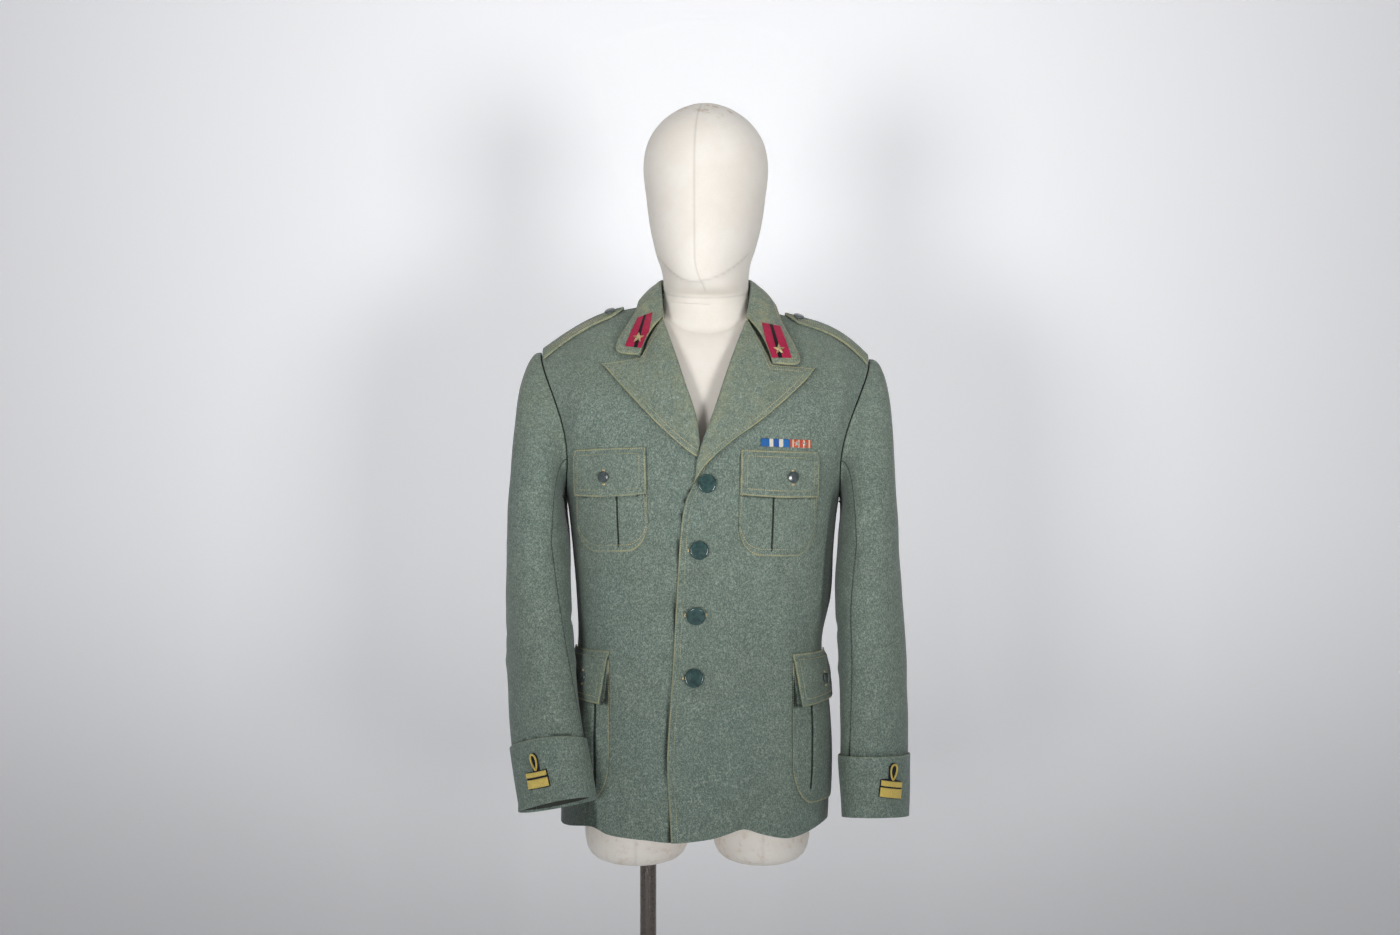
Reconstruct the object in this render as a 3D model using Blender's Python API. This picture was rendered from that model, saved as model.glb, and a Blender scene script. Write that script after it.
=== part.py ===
"""An officer's wool jacket buttoned on a covered dress form that stands on a steel pole and a round base.
Metres, +Z up. The origin is the centre of the base's underside and the jacket's front faces -Y.
Left and right are the wearer's: left is +X."""

import math
from bisect import bisect_right
from collections import namedtuple

import bmesh
import bpy
from mathutils import Vector

# Cloth and the clear air between pieces
CLOTH = 0.0022          # wall of the wool melton
SEAM = 0.0003           # between pieces sewn edge to edge
STANDOFF = 0.0008       # under a piece that lies on a panel
LEFT, RIGHT = 1, -1     # the wearer's sides, as signs of X
FRONT, BACK = -1, 1     # signs of Y

# Torso of the jacket, outer face
SQUARE = 2.4            # exponent of the rounded sections
ARMPIT_Z = 1.300
CHEST_Z = 1.385         # the armholes are deepest here
SHOULDER_RISE = 0.200   # levels above the chest run this far, to the shoulder seam
SEAM_LEVEL = CHEST_Z + SHOULDER_RISE
ARMHOLE_REACH = {FRONT: 0.070, BACK: 0.074}

Section = namedtuple("Section", "height half_width front back shift")
TORSO = (
    Section(0.856, 0.177, 0.131, 0.122, -0.016),
    Section(0.950, 0.178, 0.134, 0.123, -0.013),
    Section(1.040, 0.170, 0.132, 0.116, -0.010),
    Section(1.110, 0.164, 0.129, 0.107, -0.008),
    Section(1.170, 0.171, 0.130, 0.107, -0.003),
    Section(1.240, 0.176, 0.132, 0.112, -0.004),
    Section(1.300, 0.183, 0.132, 0.117, -0.004),
    Section(1.340, 0.193, 0.130, 0.119, -0.003),
    Section(1.385, 0.208, 0.126, 0.120, -0.001),
)

# Shoulders and neckline
NECK_SHARE = 0.33       # columns nearer the middle than this end on the neckline
NECK_X, NECK_Y, NECK_Z = 0.0655, 0.002, 1.560
NECK_DEPTH = {FRONT: 0.060, BACK: 0.064}
NECK_DROP = {FRONT: -0.034, BACK: 0.014}
CHEST_RISE = 0.38       # share of the climb from the chest that keeps the chest's slope
SEAM_FALL = Vector((0.004, 0.47, -0.14))   # how the surface leaves the shoulder seam
CALM_RISE, CALM_REACH = 0.06, 0.12         # folds fade out this near the shoulder and side seams
TIP = {LEFT: Vector((0.219, 0.004, 1.486)), RIGHT: Vector((-0.221, 0.004, 1.495))}
Pad = namedtuple("Pad", "rise skew")
PAD = {LEFT: Pad(0.0155, 1.7), RIGHT: Pad(0.0150, 1.0)}     # how the shoulder seams bow upwards

# Front edges and roll lines, seen from the front
Edge = namedtuple("Edge", "height over under")
FRONT_EDGES = (
    Edge(0.856, -0.0450, 0.0100),
    Edge(0.960, -0.0500, 0.0110),
    Edge(1.080, -0.0430, 0.0120),
    Edge(1.180, -0.0375, 0.0120),
    Edge(1.260, -0.0325, 0.0120),
    Edge(1.295, -0.0270, 0.0090),
    Edge(1.318, -0.0170, 0.0010),
    Edge(1.350, -0.0080, -0.0090),
    Edge(1.385, 0.0035, -0.0115),
    Edge(1.411, 0.0135, -0.0180),
    Edge(1.536, 0.0555, -0.0585),
    Edge(1.560, 0.0650, -0.0650),
)
SHOULDER_LOOK = 0.03    # upward share of the outward direction, which tells it on the shoulders
OVERLAP_LIFT = CLOTH + 0.0013      # the left front lies this far above the right one
OVERLAP_X, OVERLAP_FADE = 0.058, 0.035      # it lies down on the body by this x, over this width

# Hem, seen from the front
Hem = namedtuple("Hem", "x height")
HEM = (
    Hem(-0.190, 0.866),
    Hem(-0.150, 0.873),
    Hem(-0.128, 0.865),
    Hem(-0.080, 0.861),
    Hem(-0.045, 0.858),
    Hem(0.005, 0.863),
    Hem(0.046, 0.874),
    Hem(0.077, 0.866),
    Hem(0.112, 0.860),
    Hem(0.160, 0.872),
)
BACK_HEM_Z = 0.864
VENT_TOP_Z = 0.965      # the side vents run from here to the hem
VENT_GAP = 0.0045       # how far their two edges stand apart at the hem
VENT_REACH = 0.75       # the panels open from this place across

# Largest folds: a ridge (or trough, when negative) along a line, seen from the front or the back
Fold = namedtuple("Fold", "x0 z0 x1 z1 width height")
FRONT_FOLDS = (
    Fold(-0.150, 1.500, -0.176, 1.390, 0.013, 0.0050),
    Fold(0.180, 1.470, 0.172, 1.400, 0.012, 0.0045),
    Fold(0.046, 0.866, 0.088, 0.925, 0.013, -0.0065),
    Fold(-0.095, 0.862, -0.070, 0.930, 0.022, 0.0035),
    Fold(0.110, 0.862, 0.100, 0.930, 0.024, 0.0045),
    Fold(0.120, 1.190, 0.060, 1.135, 0.018, -0.0030),
    Fold(-0.135, 1.215, -0.080, 1.150, 0.018, -0.0030),
)
BACK_FOLDS = (
    Fold(-0.150, 1.490, -0.160, 1.370, 0.014, 0.0050),
    Fold(0.150, 1.485, 0.162, 1.370, 0.014, 0.0050),
    Fold(-0.120, 1.180, -0.040, 1.110, 0.020, -0.0045),
    Fold(0.125, 1.190, 0.050, 1.115, 0.020, -0.0045),
    Fold(-0.080, 0.864, -0.055, 0.960, 0.026, 0.0050),
    Fold(0.070, 0.864, 0.060, 0.975, 0.028, 0.0045),
)

# Sleeves: horizontal rings below the armpit. The depth is along the ring's long axis, which leans
# by turn (degrees) towards the body at its front end.
Ring = namedtuple("Ring", "height x y half_width half_depth turn")
SLEEVE = {
    RIGHT: (
        Ring(1.240, -0.2235, -0.030, 0.0420, 0.078, 0),
        Ring(1.160, -0.2220, -0.042, 0.0435, 0.077, 8),
        Ring(1.080, -0.2175, -0.066, 0.0410, 0.073, 20),
        Ring(1.010, -0.2095, -0.093, 0.0370, 0.0645, 35),
        Ring(0.955, -0.2000, -0.113, 0.0350, 0.0565, 50),
        Ring(0.906, -0.1900, -0.125, 0.0330, 0.0535, 60),
    ),
    LEFT: (
        Ring(1.240, 0.2165, -0.030, 0.0400, 0.078, 0),
        Ring(1.160, 0.2165, -0.036, 0.0450, 0.076, 4),
        Ring(1.080, 0.2215, -0.043, 0.0450, 0.072, 8),
        Ring(1.010, 0.2225, -0.050, 0.0440, 0.068, 12),
        Ring(0.950, 0.2225, -0.055, 0.0430, 0.062, 16),
        Ring(0.880, 0.2237, -0.060, 0.0390, 0.060, 20),
    ),
}
RING_SQUARE = 2.2
SLEEVE_STEPS = 18       # points round a sleeve
SEAM_STEP = 6           # the sleeve's two seams, in steps forward and back of its outer line
HEAD_ROWS = (0.0, 0.09, 0.22, 0.38, 0.56, 0.76)
HEAD_OUT, HEAD_LIFT, HEAD_FALL, HEAD_TUCK = 0.024, 0.008, 0.150, 0.008
SLEEVE_ROWS = (1.240, 1.180, 1.120, 1.060, 1.000)
CUFF_TOP = {RIGHT: 0.976, LEFT: 0.962}
CUFF_TILT = {RIGHT: 0.42, LEFT: 0.14}      # rise of the cuff's lower edge towards the front
CUFF_HEIGHT = {RIGHT: 0.077, LEFT: 0.082}
CUFF_EVEN = {RIGHT: 0.0, LEFT: 0.4}         # how far the cuff's top edge is levelled at its named height

# Collar: a row for each station from the middle of the back (0) to the front end (1)
Station = namedtuple("Station", "q fold_x fold_y fold_z edge_x edge_y edge_z")
COLLAR = {
    LEFT: (
        Station(0.00, 0.000, 0.0690, 1.604, 0.000, 0.0890, 1.556),
        Station(0.20, 0.030, 0.0620, 1.602, 0.038, 0.0800, 1.556),
        Station(0.38, 0.053, 0.0410, 1.598, 0.072, 0.0540, 1.560),
        Station(0.52, 0.0625, 0.0120, 1.593, 0.091, 0.0180, 1.561),
        Station(0.66, 0.0630, -0.0130, 1.583, 0.095, -0.0180, 1.556),
        Station(0.80, 0.0605, -0.0340, 1.566, 0.102, -0.0490, 1.531),
        Station(0.92, 0.0575, -0.0500, 1.549, 0.123, -0.0840, 1.478),
        Station(1.00, 0.0550, -0.0620, 1.5385, 0.087, -0.0965, 1.4755),
    ),
    RIGHT: (
        Station(0.00, 0.000, 0.0690, 1.604, 0.000, 0.0890, 1.556),
        Station(0.20, -0.030, 0.0620, 1.602, -0.038, 0.0800, 1.556),
        Station(0.38, -0.053, 0.0410, 1.598, -0.070, 0.0540, 1.562),
        Station(0.52, -0.0625, 0.0120, 1.593, -0.087, 0.0180, 1.566),
        Station(0.66, -0.0630, -0.0130, 1.583, -0.091, -0.0160, 1.563),
        Station(0.80, -0.0615, -0.0340, 1.568, -0.096, -0.0430, 1.545),
        Station(0.92, -0.0595, -0.0500, 1.550, -0.119, -0.0740, 1.495),
        Station(1.00, -0.0575, -0.0620, 1.5395, -0.087, -0.0905, 1.4865),
    ),
}
COLLAR_STEPS = 12       # columns on each side of the middle of the back
FOLD_ROUND = 0.0042     # radius of the collar's fold, outer face
FALL_BULGE = 0.07       # how far the collar's fall swells, as a share of its depth
FALL_SHARES = (0.16, 0.42, 0.70, 1.0)
STAND_DROP = 0.030      # height of the collar stand at the back
STAND_END = 0.006       # and at its front ends

# Lapels: the roll line and outer edge, bottom to top, seen from the front
LapelRow = namedtuple("LapelRow", "roll_x roll_z edge_x edge_z")
LAPEL = {
    LEFT: (
        LapelRow(-0.0155, 1.3230, -0.0180, 1.3165),
        LapelRow(-0.0085, 1.3480, 0.0010, 1.3440),
        LapelRow(0.0010, 1.3790, 0.0340, 1.3740),
        LapelRow(0.0160, 1.4190, 0.0790, 1.4070),
        LapelRow(0.0350, 1.4770, 0.1230, 1.4460),
        LapelRow(0.0540, 1.5300, 0.1420, 1.4680),
    ),
    RIGHT: (
        LapelRow(-0.0090, 1.3560, -0.0125, 1.3535),
        LapelRow(-0.0115, 1.3760, -0.0300, 1.3660),
        LapelRow(-0.0170, 1.4080, -0.0600, 1.3930),
        LapelRow(-0.0300, 1.4470, -0.0880, 1.4220),
        LapelRow(-0.0440, 1.4900, -0.1130, 1.4490),
        LapelRow(-0.0580, 1.5330, -0.1355, 1.4740),
    ),
}
NOTCH = {LEFT: (0.0850, 1.4715), RIGHT: (-0.0850, 1.4815)}
NOTCH_SHARE = 0.45      # where the notch stands along the lapel's top edge
ROLL_LIFT = 0.0035      # how far the lapel stands off at its roll

# Pockets, seen from the front: centre, size, lean (radians) and the place of the button
Pocket = namedtuple("Pocket", "x top width height lean flap_height button_x button_z pleat")
BREAST = {
    LEFT: Pocket(0.0945, 1.3615, 0.100, 0.136, -0.03, 0.058, 0.1090, 1.3275, -0.14),
    RIGHT: Pocket(-0.1240, 1.3650, 0.093, 0.134, 0.03, 0.060, -0.1290, 1.3280, 0.17),
}
HIP_TOP = {LEFT: 1.098, RIGHT: 1.102}
HIP_FRONT_X = {LEFT: 0.1110, RIGHT: -0.1250}
HIP_WIDTH = {LEFT: 0.126, RIGHT: 0.112}
HIP_HEIGHT = 0.196
HIP_FLAP_HEIGHT = 0.062
HIP_BELLY = 0.0035      # how far a hip pocket fills out
HIP_STANDOFF = 0.0011
HIP_BUTTON = {LEFT: 0.45, RIGHT: 0.34}     # where the button stands across its flap
HIP_BUTTON_DOWN = 0.036
HIP_PLEAT = {LEFT: -0.51, RIGHT: -0.64}     # where its pleat stands, from -1 at the front edge to 1
BREAST_CORNER, HIP_CORNER = 0.040, 0.055    # how far the lower corners are rounded up
CORNER_FROM, LIFT_FROM = 0.42, 0.1          # where rounding and a flap's lifted corner start across
POCKET_TUCK = 0.012     # the pocket's mouth lies this far under its flap's top
PLEAT_DEPTH, PLEAT_HALF = 0.0013, 0.03      # the half width is a share of the pocket's
FLAP_SEWN, FLAP_CLIMB, HIP_FLAP_CLIMB = 0.003, 0.007, 0.030     # how a flap rises over its pocket
FLAP_BOW, HIP_FLAP_SAG = 0.003, 0.006
FLAP_LIFT = 0.0050      # how far a hip flap's front corner stands out

# Buttons
FRONT_BUTTON = 0.0245
SMALL_BUTTON = 0.0150
BUTTON_PLACES = ((0.0010, 1.3190), (-0.0090, 1.2340), (-0.0130, 1.1510), (-0.0155, 1.0700))
BUTTON_STEPS = 14

# Shoulder straps
STRAP_START = {LEFT: 0.505, RIGHT: 0.520}
STRAP_END = 0.985
STRAP_HALF = {"neck": 0.0200, "sleeve": 0.0265}
STRAP_CLOTH = 0.0030
STRAP_LIFT = STANDOFF + 0.0006      # a strap's underside above the shoulder
STRAP_BUTTON_IN, STRAP_BUTTON_FORE = 0.075, 0.009

# Trims
PATCH_THICK = 0.0010
STAR_RADIUS, STAR_THICK = 0.0082, 0.0016
STAR_WAIST = 0.42       # a star's inner corners, as a share of its radius
RIBBON_Z, RIBBON_HALF = 1.3715, 0.0052
RIBBON_SPAN = {"blue": (0.0700, 0.1075), "orange": (0.1078, 0.1350)}
RIBBON_THICK = 0.0018
BAR_HALF, FELT_RIM, LOOP_CLEAR = 0.0170, 0.0010, 0.0012

# Dress form and stand
NECK_CUT_Z, NECK_CUT_TILT = 1.566, 0.22
NECK_WIDTH, NECK_FRONT_Y, NECK_BACK_Y = 0.0572, -0.053, 0.057
Head = namedtuple("Head", "height half_width front back tilt")
HEAD = (
    Head(1.581, 0.0572, 0.060, 0.058, 0.24),
    Head(1.596, 0.0576, 0.082, 0.060, 0.26),
    Head(1.612, 0.0600, 0.093, 0.066, 0.24),
    Head(1.632, 0.0665, 0.097, 0.077, 0.16),
    Head(1.665, 0.0745, 0.099, 0.092, 0.06),
    Head(1.705, 0.0800, 0.100, 0.101, 0.00),
    Head(1.745, 0.0838, 0.099, 0.104, 0.00),
    Head(1.778, 0.0775, 0.091, 0.098, 0.00),
    Head(1.803, 0.0610, 0.073, 0.081, 0.00),
    Head(1.820, 0.0385, 0.047, 0.053, 0.00),
    Head(1.829, 0.0170, 0.021, 0.024, 0.00),
)
HEAD_TURN = math.radians(-9)
HEAD_STEPS = 28
Thigh = namedtuple("Thigh", "x half_width half_depth")
THIGHS = {RIGHT: Thigh(-0.0925, 0.0705, 0.086), LEFT: Thigh(0.0745, 0.0655, 0.084)}
THIGH_BOTTOM_Z, THIGH_TOP_Z = 0.809, 0.935
POLE_X, POLE_Y, POLE_RADIUS = -0.078, 0.000, 0.0110
POLE_TOP_Z, SOCKET_CLEAR = 0.850, 0.0004
BASE_RADIUS, BASE_THICK = 0.190, 0.008
BOSS_RADIUS, BOSS_HEIGHT = 0.024, 0.026


def clear_scene():
    for item in list(bpy.data.objects):
        bpy.data.objects.remove(item, do_unlink=True)


def along(table, key, column):
    """Reads a column of a table at a key, on a smooth curve through its rows."""
    keys = [row[0] for row in table]
    if key <= keys[0]:
        return getattr(table[0], column)
    if key >= keys[-1]:
        return getattr(table[-1], column)
    i = bisect_right(keys, key) - 1
    values = [getattr(row, column) for row in table]

    def slope(k):
        low, high = max(k - 1, 0), min(k + 1, len(table) - 1)
        return (values[high] - values[low]) / (keys[high] - keys[low])

    span = keys[i + 1] - keys[i]
    f = (key - keys[i]) / span
    start, end = values[i], values[i + 1]
    rise_in, rise_out = slope(i) * span, slope(i + 1) * span
    bend_in = (f - 2 * f * f + f ** 3) * rise_in
    bend_out = (f ** 3 - f * f) * rise_out
    return start + (end - start) * (3 * f * f - 2 * f ** 3) + bend_in + bend_out


def ease(f):
    """A smooth step from 0 to 1."""
    f = min(max(f, 0.0), 1.0)
    return f * f * (3 - 2 * f)


def bezier(a, b, c, d, f):
    g = 1 - f
    return a * g ** 3 + b * 3 * g * g * f + c * 3 * g * f * f + d * f ** 3


def side_of(value):
    return LEFT if value >= 0 else RIGHT


# The torso's surface. A point has a place across (-1 to 1 between the side lines), a level (its height
# below the chest, and above it the way to the shoulder seam) and a facing (front or back).


def armhole_reach(z, facing):
    """How far the armhole's edge stands from the side line at a height up to the chest."""
    rise = min(max((z - ARMPIT_Z) / (CHEST_Z - ARMPIT_Z), 0.0), 1.0)
    return ARMHOLE_REACH[facing] * math.sqrt(1 - (1 - rise) ** 2)


def section_size(z, facing):
    """Half width, depth and turn to the outer edge of the section at a height."""
    depth = along(TORSO, z, "front" if facing == FRONT else "back")
    turn = math.acos((armhole_reach(z, facing) / depth) ** (SQUARE / 2))
    return along(TORSO, z, "half_width"), depth, turn


def section_point(across, z, facing):
    full, depth, turn = section_size(z, facing)
    angle = abs(across) * turn
    x = full * math.sin(angle) ** (2 / SQUARE)
    y = depth * max(math.cos(angle), 0.0) ** (2 / SQUARE)
    return Vector((along(TORSO, z, "shift") + math.copysign(x, across), facing * y, z))


def across_at(x, z, facing):
    """The place across of an x on a section up to the chest."""
    full, _, turn = section_size(z, facing)
    out = x - along(TORSO, z, "shift")
    share = min(abs(out) / full, 1.0)
    return math.copysign(math.asin(share ** (SQUARE / 2)) / turn, out)


def top_point(across, facing):
    """The end of a column: on the shoulder seam, or on the neckline near the middle."""
    side = side_of(across)
    reach = abs(across)
    if reach >= NECK_SHARE:
        share = (reach - NECK_SHARE) / (1 - NECK_SHARE)
        seam = Vector((side * NECK_X, NECK_Y, NECK_Z)).lerp(TIP[side], share)
        seam.z += PAD[side].rise * math.sin(math.pi * share ** PAD[side].skew)
        return seam
    angle = reach / NECK_SHARE * math.pi / 2
    y = NECK_Y + facing * NECK_DEPTH[facing] * math.cos(angle)
    z = NECK_Z + NECK_DROP[facing] * math.cos(angle) ** 2
    return Vector((side * NECK_X * math.sin(angle), y, z))


def body_point(across, level, facing):
    if level <= CHEST_Z:
        return section_point(across, level, facing)
    step = 0.004
    start = section_point(across, CHEST_Z, facing)
    slope = (start - section_point(across, CHEST_Z - step, facing)) / step
    end = top_point(across, facing)
    climb = end.z - start.z
    rise = start + slope * climb * CHEST_RISE
    out = side_of(across) * SEAM_FALL.x * ease(abs(across))
    pull = Vector((out, SEAM_FALL.y * (start.y - end.y), SEAM_FALL.z * climb))
    return bezier(start, rise, end + pull, end, (level - CHEST_Z) / SHOULDER_RISE)


def fold_height(folds, x, z):
    """How far the folds move a point outwards."""
    total = 0.0
    for fold in folds:
        run_x, run_z = fold.x1 - fold.x0, fold.z1 - fold.z0
        length = math.hypot(run_x, run_z)
        f = ((x - fold.x0) * run_x + (z - fold.z0) * run_z) / length ** 2
        off = abs((x - fold.x0) * run_z - (z - fold.z0) * run_x) / length
        ends = ease((f + 0.35) / 0.5) * ease((1.35 - f) / 0.5)
        total += fold.height * math.exp(-((off / fold.width) ** 2)) * ends
    return total


def jacket_point(across, level, facing):
    """The jacket's outer face, folds and vents included."""
    point = body_point(across, level, facing)
    calm = ease((SEAM_LEVEL - level) / CALM_RISE) * ease((1 - abs(across)) / CALM_REACH)
    folds = FRONT_FOLDS if facing == FRONT else BACK_FOLDS
    point.y += facing * calm * fold_height(folds, point.x, point.z)
    open_share = ease((VENT_TOP_Z - point.z) / (VENT_TOP_Z - BACK_HEM_Z))
    edge_share = ease((abs(across) - VENT_REACH) / (1 - VENT_REACH))
    spread = VENT_GAP * open_share * edge_share
    point.x += side_of(across) * spread * (0.5 if facing == FRONT else -0.5)
    point.y += facing * spread * 0.5
    return point


def outward(surface, a, b):
    """The unit normal of a surface of two parameters, turned away from the body's axis."""
    step = 0.002
    along_a = surface(a + step, b) - surface(a - step, b)
    along_b = surface(a, b + step) - surface(a, b - step)
    normal = along_a.cross(along_b).normalized()
    point = surface(a, b)
    if normal.dot(Vector((point.x, point.y, SHOULDER_LOOK))) < 0:
        normal.negate()
    return normal


def seek(surface, x, z, a, b, a_most, b_most):
    """The two parameters at which a surface passes through an x and a z, by Newton's steps from a and b."""
    step, longest = 0.0005, 0.15
    for _ in range(25):
        here = surface(a, b)
        by_a = (here - surface(a - step, b)) / step
        by_b = (here - surface(a, b - step)) / step
        miss_x, miss_z = x - here.x, z - here.z
        size = by_a.x * by_b.z - by_b.x * by_a.z
        move_a = (miss_x * by_b.z - by_b.x * miss_z) / size
        move_b = (by_a.x * miss_z - miss_x * by_a.z) / size
        a = min(a + min(max(move_a, -longest), longest), a_most)
        b = min(b + min(max(move_b, -longest), longest), b_most)
    return a, b


def front_surface(across, level):
    return jacket_point(across, level, FRONT)


def lap_lift(x):
    """How far the left front stands above the right one, which lies under it near the middle."""
    return OVERLAP_LIFT * ease((OVERLAP_X - x) / OVERLAP_FADE)


def on_front(side, x, z, lift):
    """A point above one of the fronts at an x and z, moved out by a lift, and the normal there."""
    if z <= CHEST_Z:
        across, level = across_at(x, z, FRONT), z
    else:
        across, level = seek(front_surface, x, z, across_at(x, CHEST_Z, FRONT), z, 1.0, SEAM_LEVEL)
    normal = outward(front_surface, across, level)
    if side == LEFT:
        lift += lap_lift(x)
    return front_surface(across, level) + normal * lift, normal


# Meshes


def finish(name, bm, material, smooth=True):
    bmesh.ops.recalc_face_normals(bm, faces=bm.faces)
    mesh = bpy.data.meshes.new(name)
    bm.to_mesh(mesh)
    bm.free()
    item = bpy.data.objects.new(name, mesh)
    bpy.context.scene.collection.objects.link(item)
    mesh.materials.append(material)
    if smooth:
        mesh.shade_smooth()
        mesh.set_sharp_from_angle(angle=math.radians(40))
    return item


def grid_normals(rows, wrap, like=None):
    """A unit normal for each point of a grid, on the side of the like vectors or away from the body's axis."""
    normals = []
    for i, row in enumerate(rows):
        line = []
        for j in range(len(row)):
            before = rows[max(i - 1, 0)][j]
            after = rows[min(i + 1, len(rows) - 1)][j]
            if wrap:
                left, right = row[j - 1], row[(j + 1) % len(row)]
            else:
                left, right = row[max(j - 1, 0)], row[min(j + 1, len(row) - 1)]
            normal = (right - left).cross(after - before).normalized()
            guide = like[i][j] if like else Vector((row[j].x, row[j].y, SHOULDER_LOOK))
            if normal.dot(guide) < 0:
                normal.negate()
            line.append(normal)
        normals.append(line)
    return normals


def wall(name, outer, inner, material, wrap=False):
    """A closed wall between two grids of points with the same rows and columns."""
    bm = bmesh.new()
    faces = [[[bm.verts.new(p) for p in row] for row in grid] for grid in (outer, inner)]
    rows, columns = len(outer), len(outer[0])
    last = columns if wrap else columns - 1
    for grid in faces:
        for i in range(rows - 1):
            for j in range(last):
                k = (j + 1) % columns
                bm.faces.new((grid[i][j], grid[i][k], grid[i + 1][k], grid[i + 1][j]))
    top, under = faces
    for i in (0, rows - 1):
        for j in range(last):
            k = (j + 1) % columns
            bm.faces.new((top[i][j], top[i][k], under[i][k], under[i][j]))
    if not wrap:
        for j in (0, columns - 1):
            for i in range(rows - 1):
                bm.faces.new((top[i][j], top[i + 1][j], under[i + 1][j], under[i][j]))
    return finish(name, bm, material)


def level_seams(normals, columns, seam_columns):
    """Turns the normals along side seams, and along the shoulder seam's columns, into the seam's own plane,
    so that the two pieces that meet there stay apart through their thickness."""
    for i, row in enumerate(normals):
        at_seam = seam_columns if i == len(normals) - 1 else columns
        for j in at_seam:
            row[j].y = 0.0
            row[j].normalize()


def cloth_wall(name, outer, material, wrap=False, thick=CLOTH, like=None, columns=(), seam_columns=()):
    """A wall of cloth inside a grid of outer points."""
    normals = grid_normals(outer, wrap, like)
    level_seams(normals, columns, seam_columns)
    inner = [
        [p - n * thick for p, n in zip(row, line)] for row, line in zip(outer, normals)
    ]
    return wall(name, outer, inner, material, wrap)


def laid(name, spots, material, thick=CLOTH):
    """A wall of cloth on spots, each a point of its underside and the normal there."""
    inner = [[point for point, _ in row] for row in spots]
    outer = [[point + normal * thick for point, normal in row] for row in spots]
    return wall(name, outer, inner, material)


def drawn_in(grid, gap, first=False, last=False):
    """A grid whose first or last column is moved towards its neighbour, for a seam's gap."""
    moved = []
    for row in grid:
        line = list(row)
        if first:
            line[0] = line[0] + (line[1] - line[0]).normalized() * gap
        if last:
            line[-1] = line[-1] + (line[-2] - line[-1]).normalized() * gap
        moved.append(line)
    return moved


def lowered(grid, gap):
    """A grid whose last row is moved towards the row before it, for a seam's gap."""
    end = [p + (q - p).normalized() * gap for p, q in zip(grid[-1], grid[-2])]
    return grid[:-1] + [end]


def material(name, colour, roughness, metallic=0.0):
    item = bpy.data.materials.new(name)
    item.use_nodes = True
    shader = item.node_tree.nodes["Principled BSDF"]
    shader.inputs["Base Color"].default_value = (*colour, 1)
    shader.inputs["Roughness"].default_value = roughness
    shader.inputs["Metallic"].default_value = metallic
    return item


# Panels

LOW_LEVELS = (0.905, 0.950, 1.000, 1.050, 1.100, 1.150, 1.200, 1.250, 1.300)
ARMHOLE_TURNS = (32, 54, 72, 90)      # degrees up the armhole's lower quarter
HIGH_SHARES = (0.14, 0.30, 0.46, 0.62, 0.77, 0.90, 1.0)
PANEL_COLUMNS = 10


def levels():
    """Levels of a panel's rows, from just above the hem to the shoulder seam."""
    rise = CHEST_Z - ARMPIT_Z
    quarter = [CHEST_Z - rise * math.cos(math.radians(turn)) for turn in ARMHOLE_TURNS]
    high = [CHEST_Z + SHOULDER_RISE * share for share in HIGH_SHARES]
    return list(LOW_LEVELS) + quarter + high


def inner_across(side, level):
    """The place across of a front's free edge or roll line at a level."""
    column = "over" if side == LEFT else "under"
    if level <= CHEST_Z:
        return across_at(along(FRONT_EDGES, level, column), level, FRONT)
    if level >= SEAM_LEVEL:
        return side * NECK_SHARE
    low, high = -0.2 * side, 0.6 * side
    for _ in range(30):
        middle = (low + high) / 2
        point = body_point(middle, level, FRONT)
        past = side * (point.x - along(FRONT_EDGES, point.z, column)) > 0
        low, high = (low, middle) if past else (middle, high)
    return (low + high) / 2


def hem_height(x):
    return along(HEM, x, "height")


def front_panel(side, wool):
    column = "over" if side == LEFT else "under"
    rows = []
    start = across_at(along(FRONT_EDGES, FRONT_EDGES[0].height, column), FRONT_EDGES[0].height, FRONT)
    spread = [j / PANEL_COLUMNS for j in range(PANEL_COLUMNS + 1)]
    hem = []
    for f in spread:
        across = start + (side - start) * f
        level = hem_height(section_point(across, BACK_HEM_Z, FRONT).x)
        hem.append(jacket_point(across, level, FRONT))
    rows.append(hem)
    for level in levels():
        inner = inner_across(side, level)
        rows.append([jacket_point(inner + (side - inner) * f, level, FRONT) for f in spread])
    if side == LEFT:
        normals = grid_normals(rows, False)
        rows = [
            [p + n * lap_lift(p.x) for p, n in zip(row, line)] for row, line in zip(rows, normals)
        ]
    rows = lowered(drawn_in(rows, SEAM / 2, last=True), SEAM / 2)
    name = "front_left" if side == LEFT else "front_right"
    cloth_wall(name, rows, wool, columns=(PANEL_COLUMNS,), seam_columns=range(PANEL_COLUMNS + 1))


def back_panel(wool):
    columns = 2 * PANEL_COLUMNS
    spread = [-1 + 2 * j / columns for j in range(columns + 1)]
    neck = [-NECK_SHARE, NECK_SHARE]
    spread = sorted(spread + neck)
    rows = [[jacket_point(across, BACK_HEM_Z, BACK) for across in spread]]
    for level in levels():
        rows.append([jacket_point(across, level, BACK) for across in spread])
    rows = lowered(drawn_in(rows, SEAM / 2, first=True, last=True), SEAM / 2)
    ends = (0, len(spread) - 1)
    shoulders = [j for j, across in enumerate(spread) if abs(across) >= NECK_SHARE]
    cloth_wall("back", rows, wool, columns=ends, seam_columns=shoulders)


# Sleeves


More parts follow.
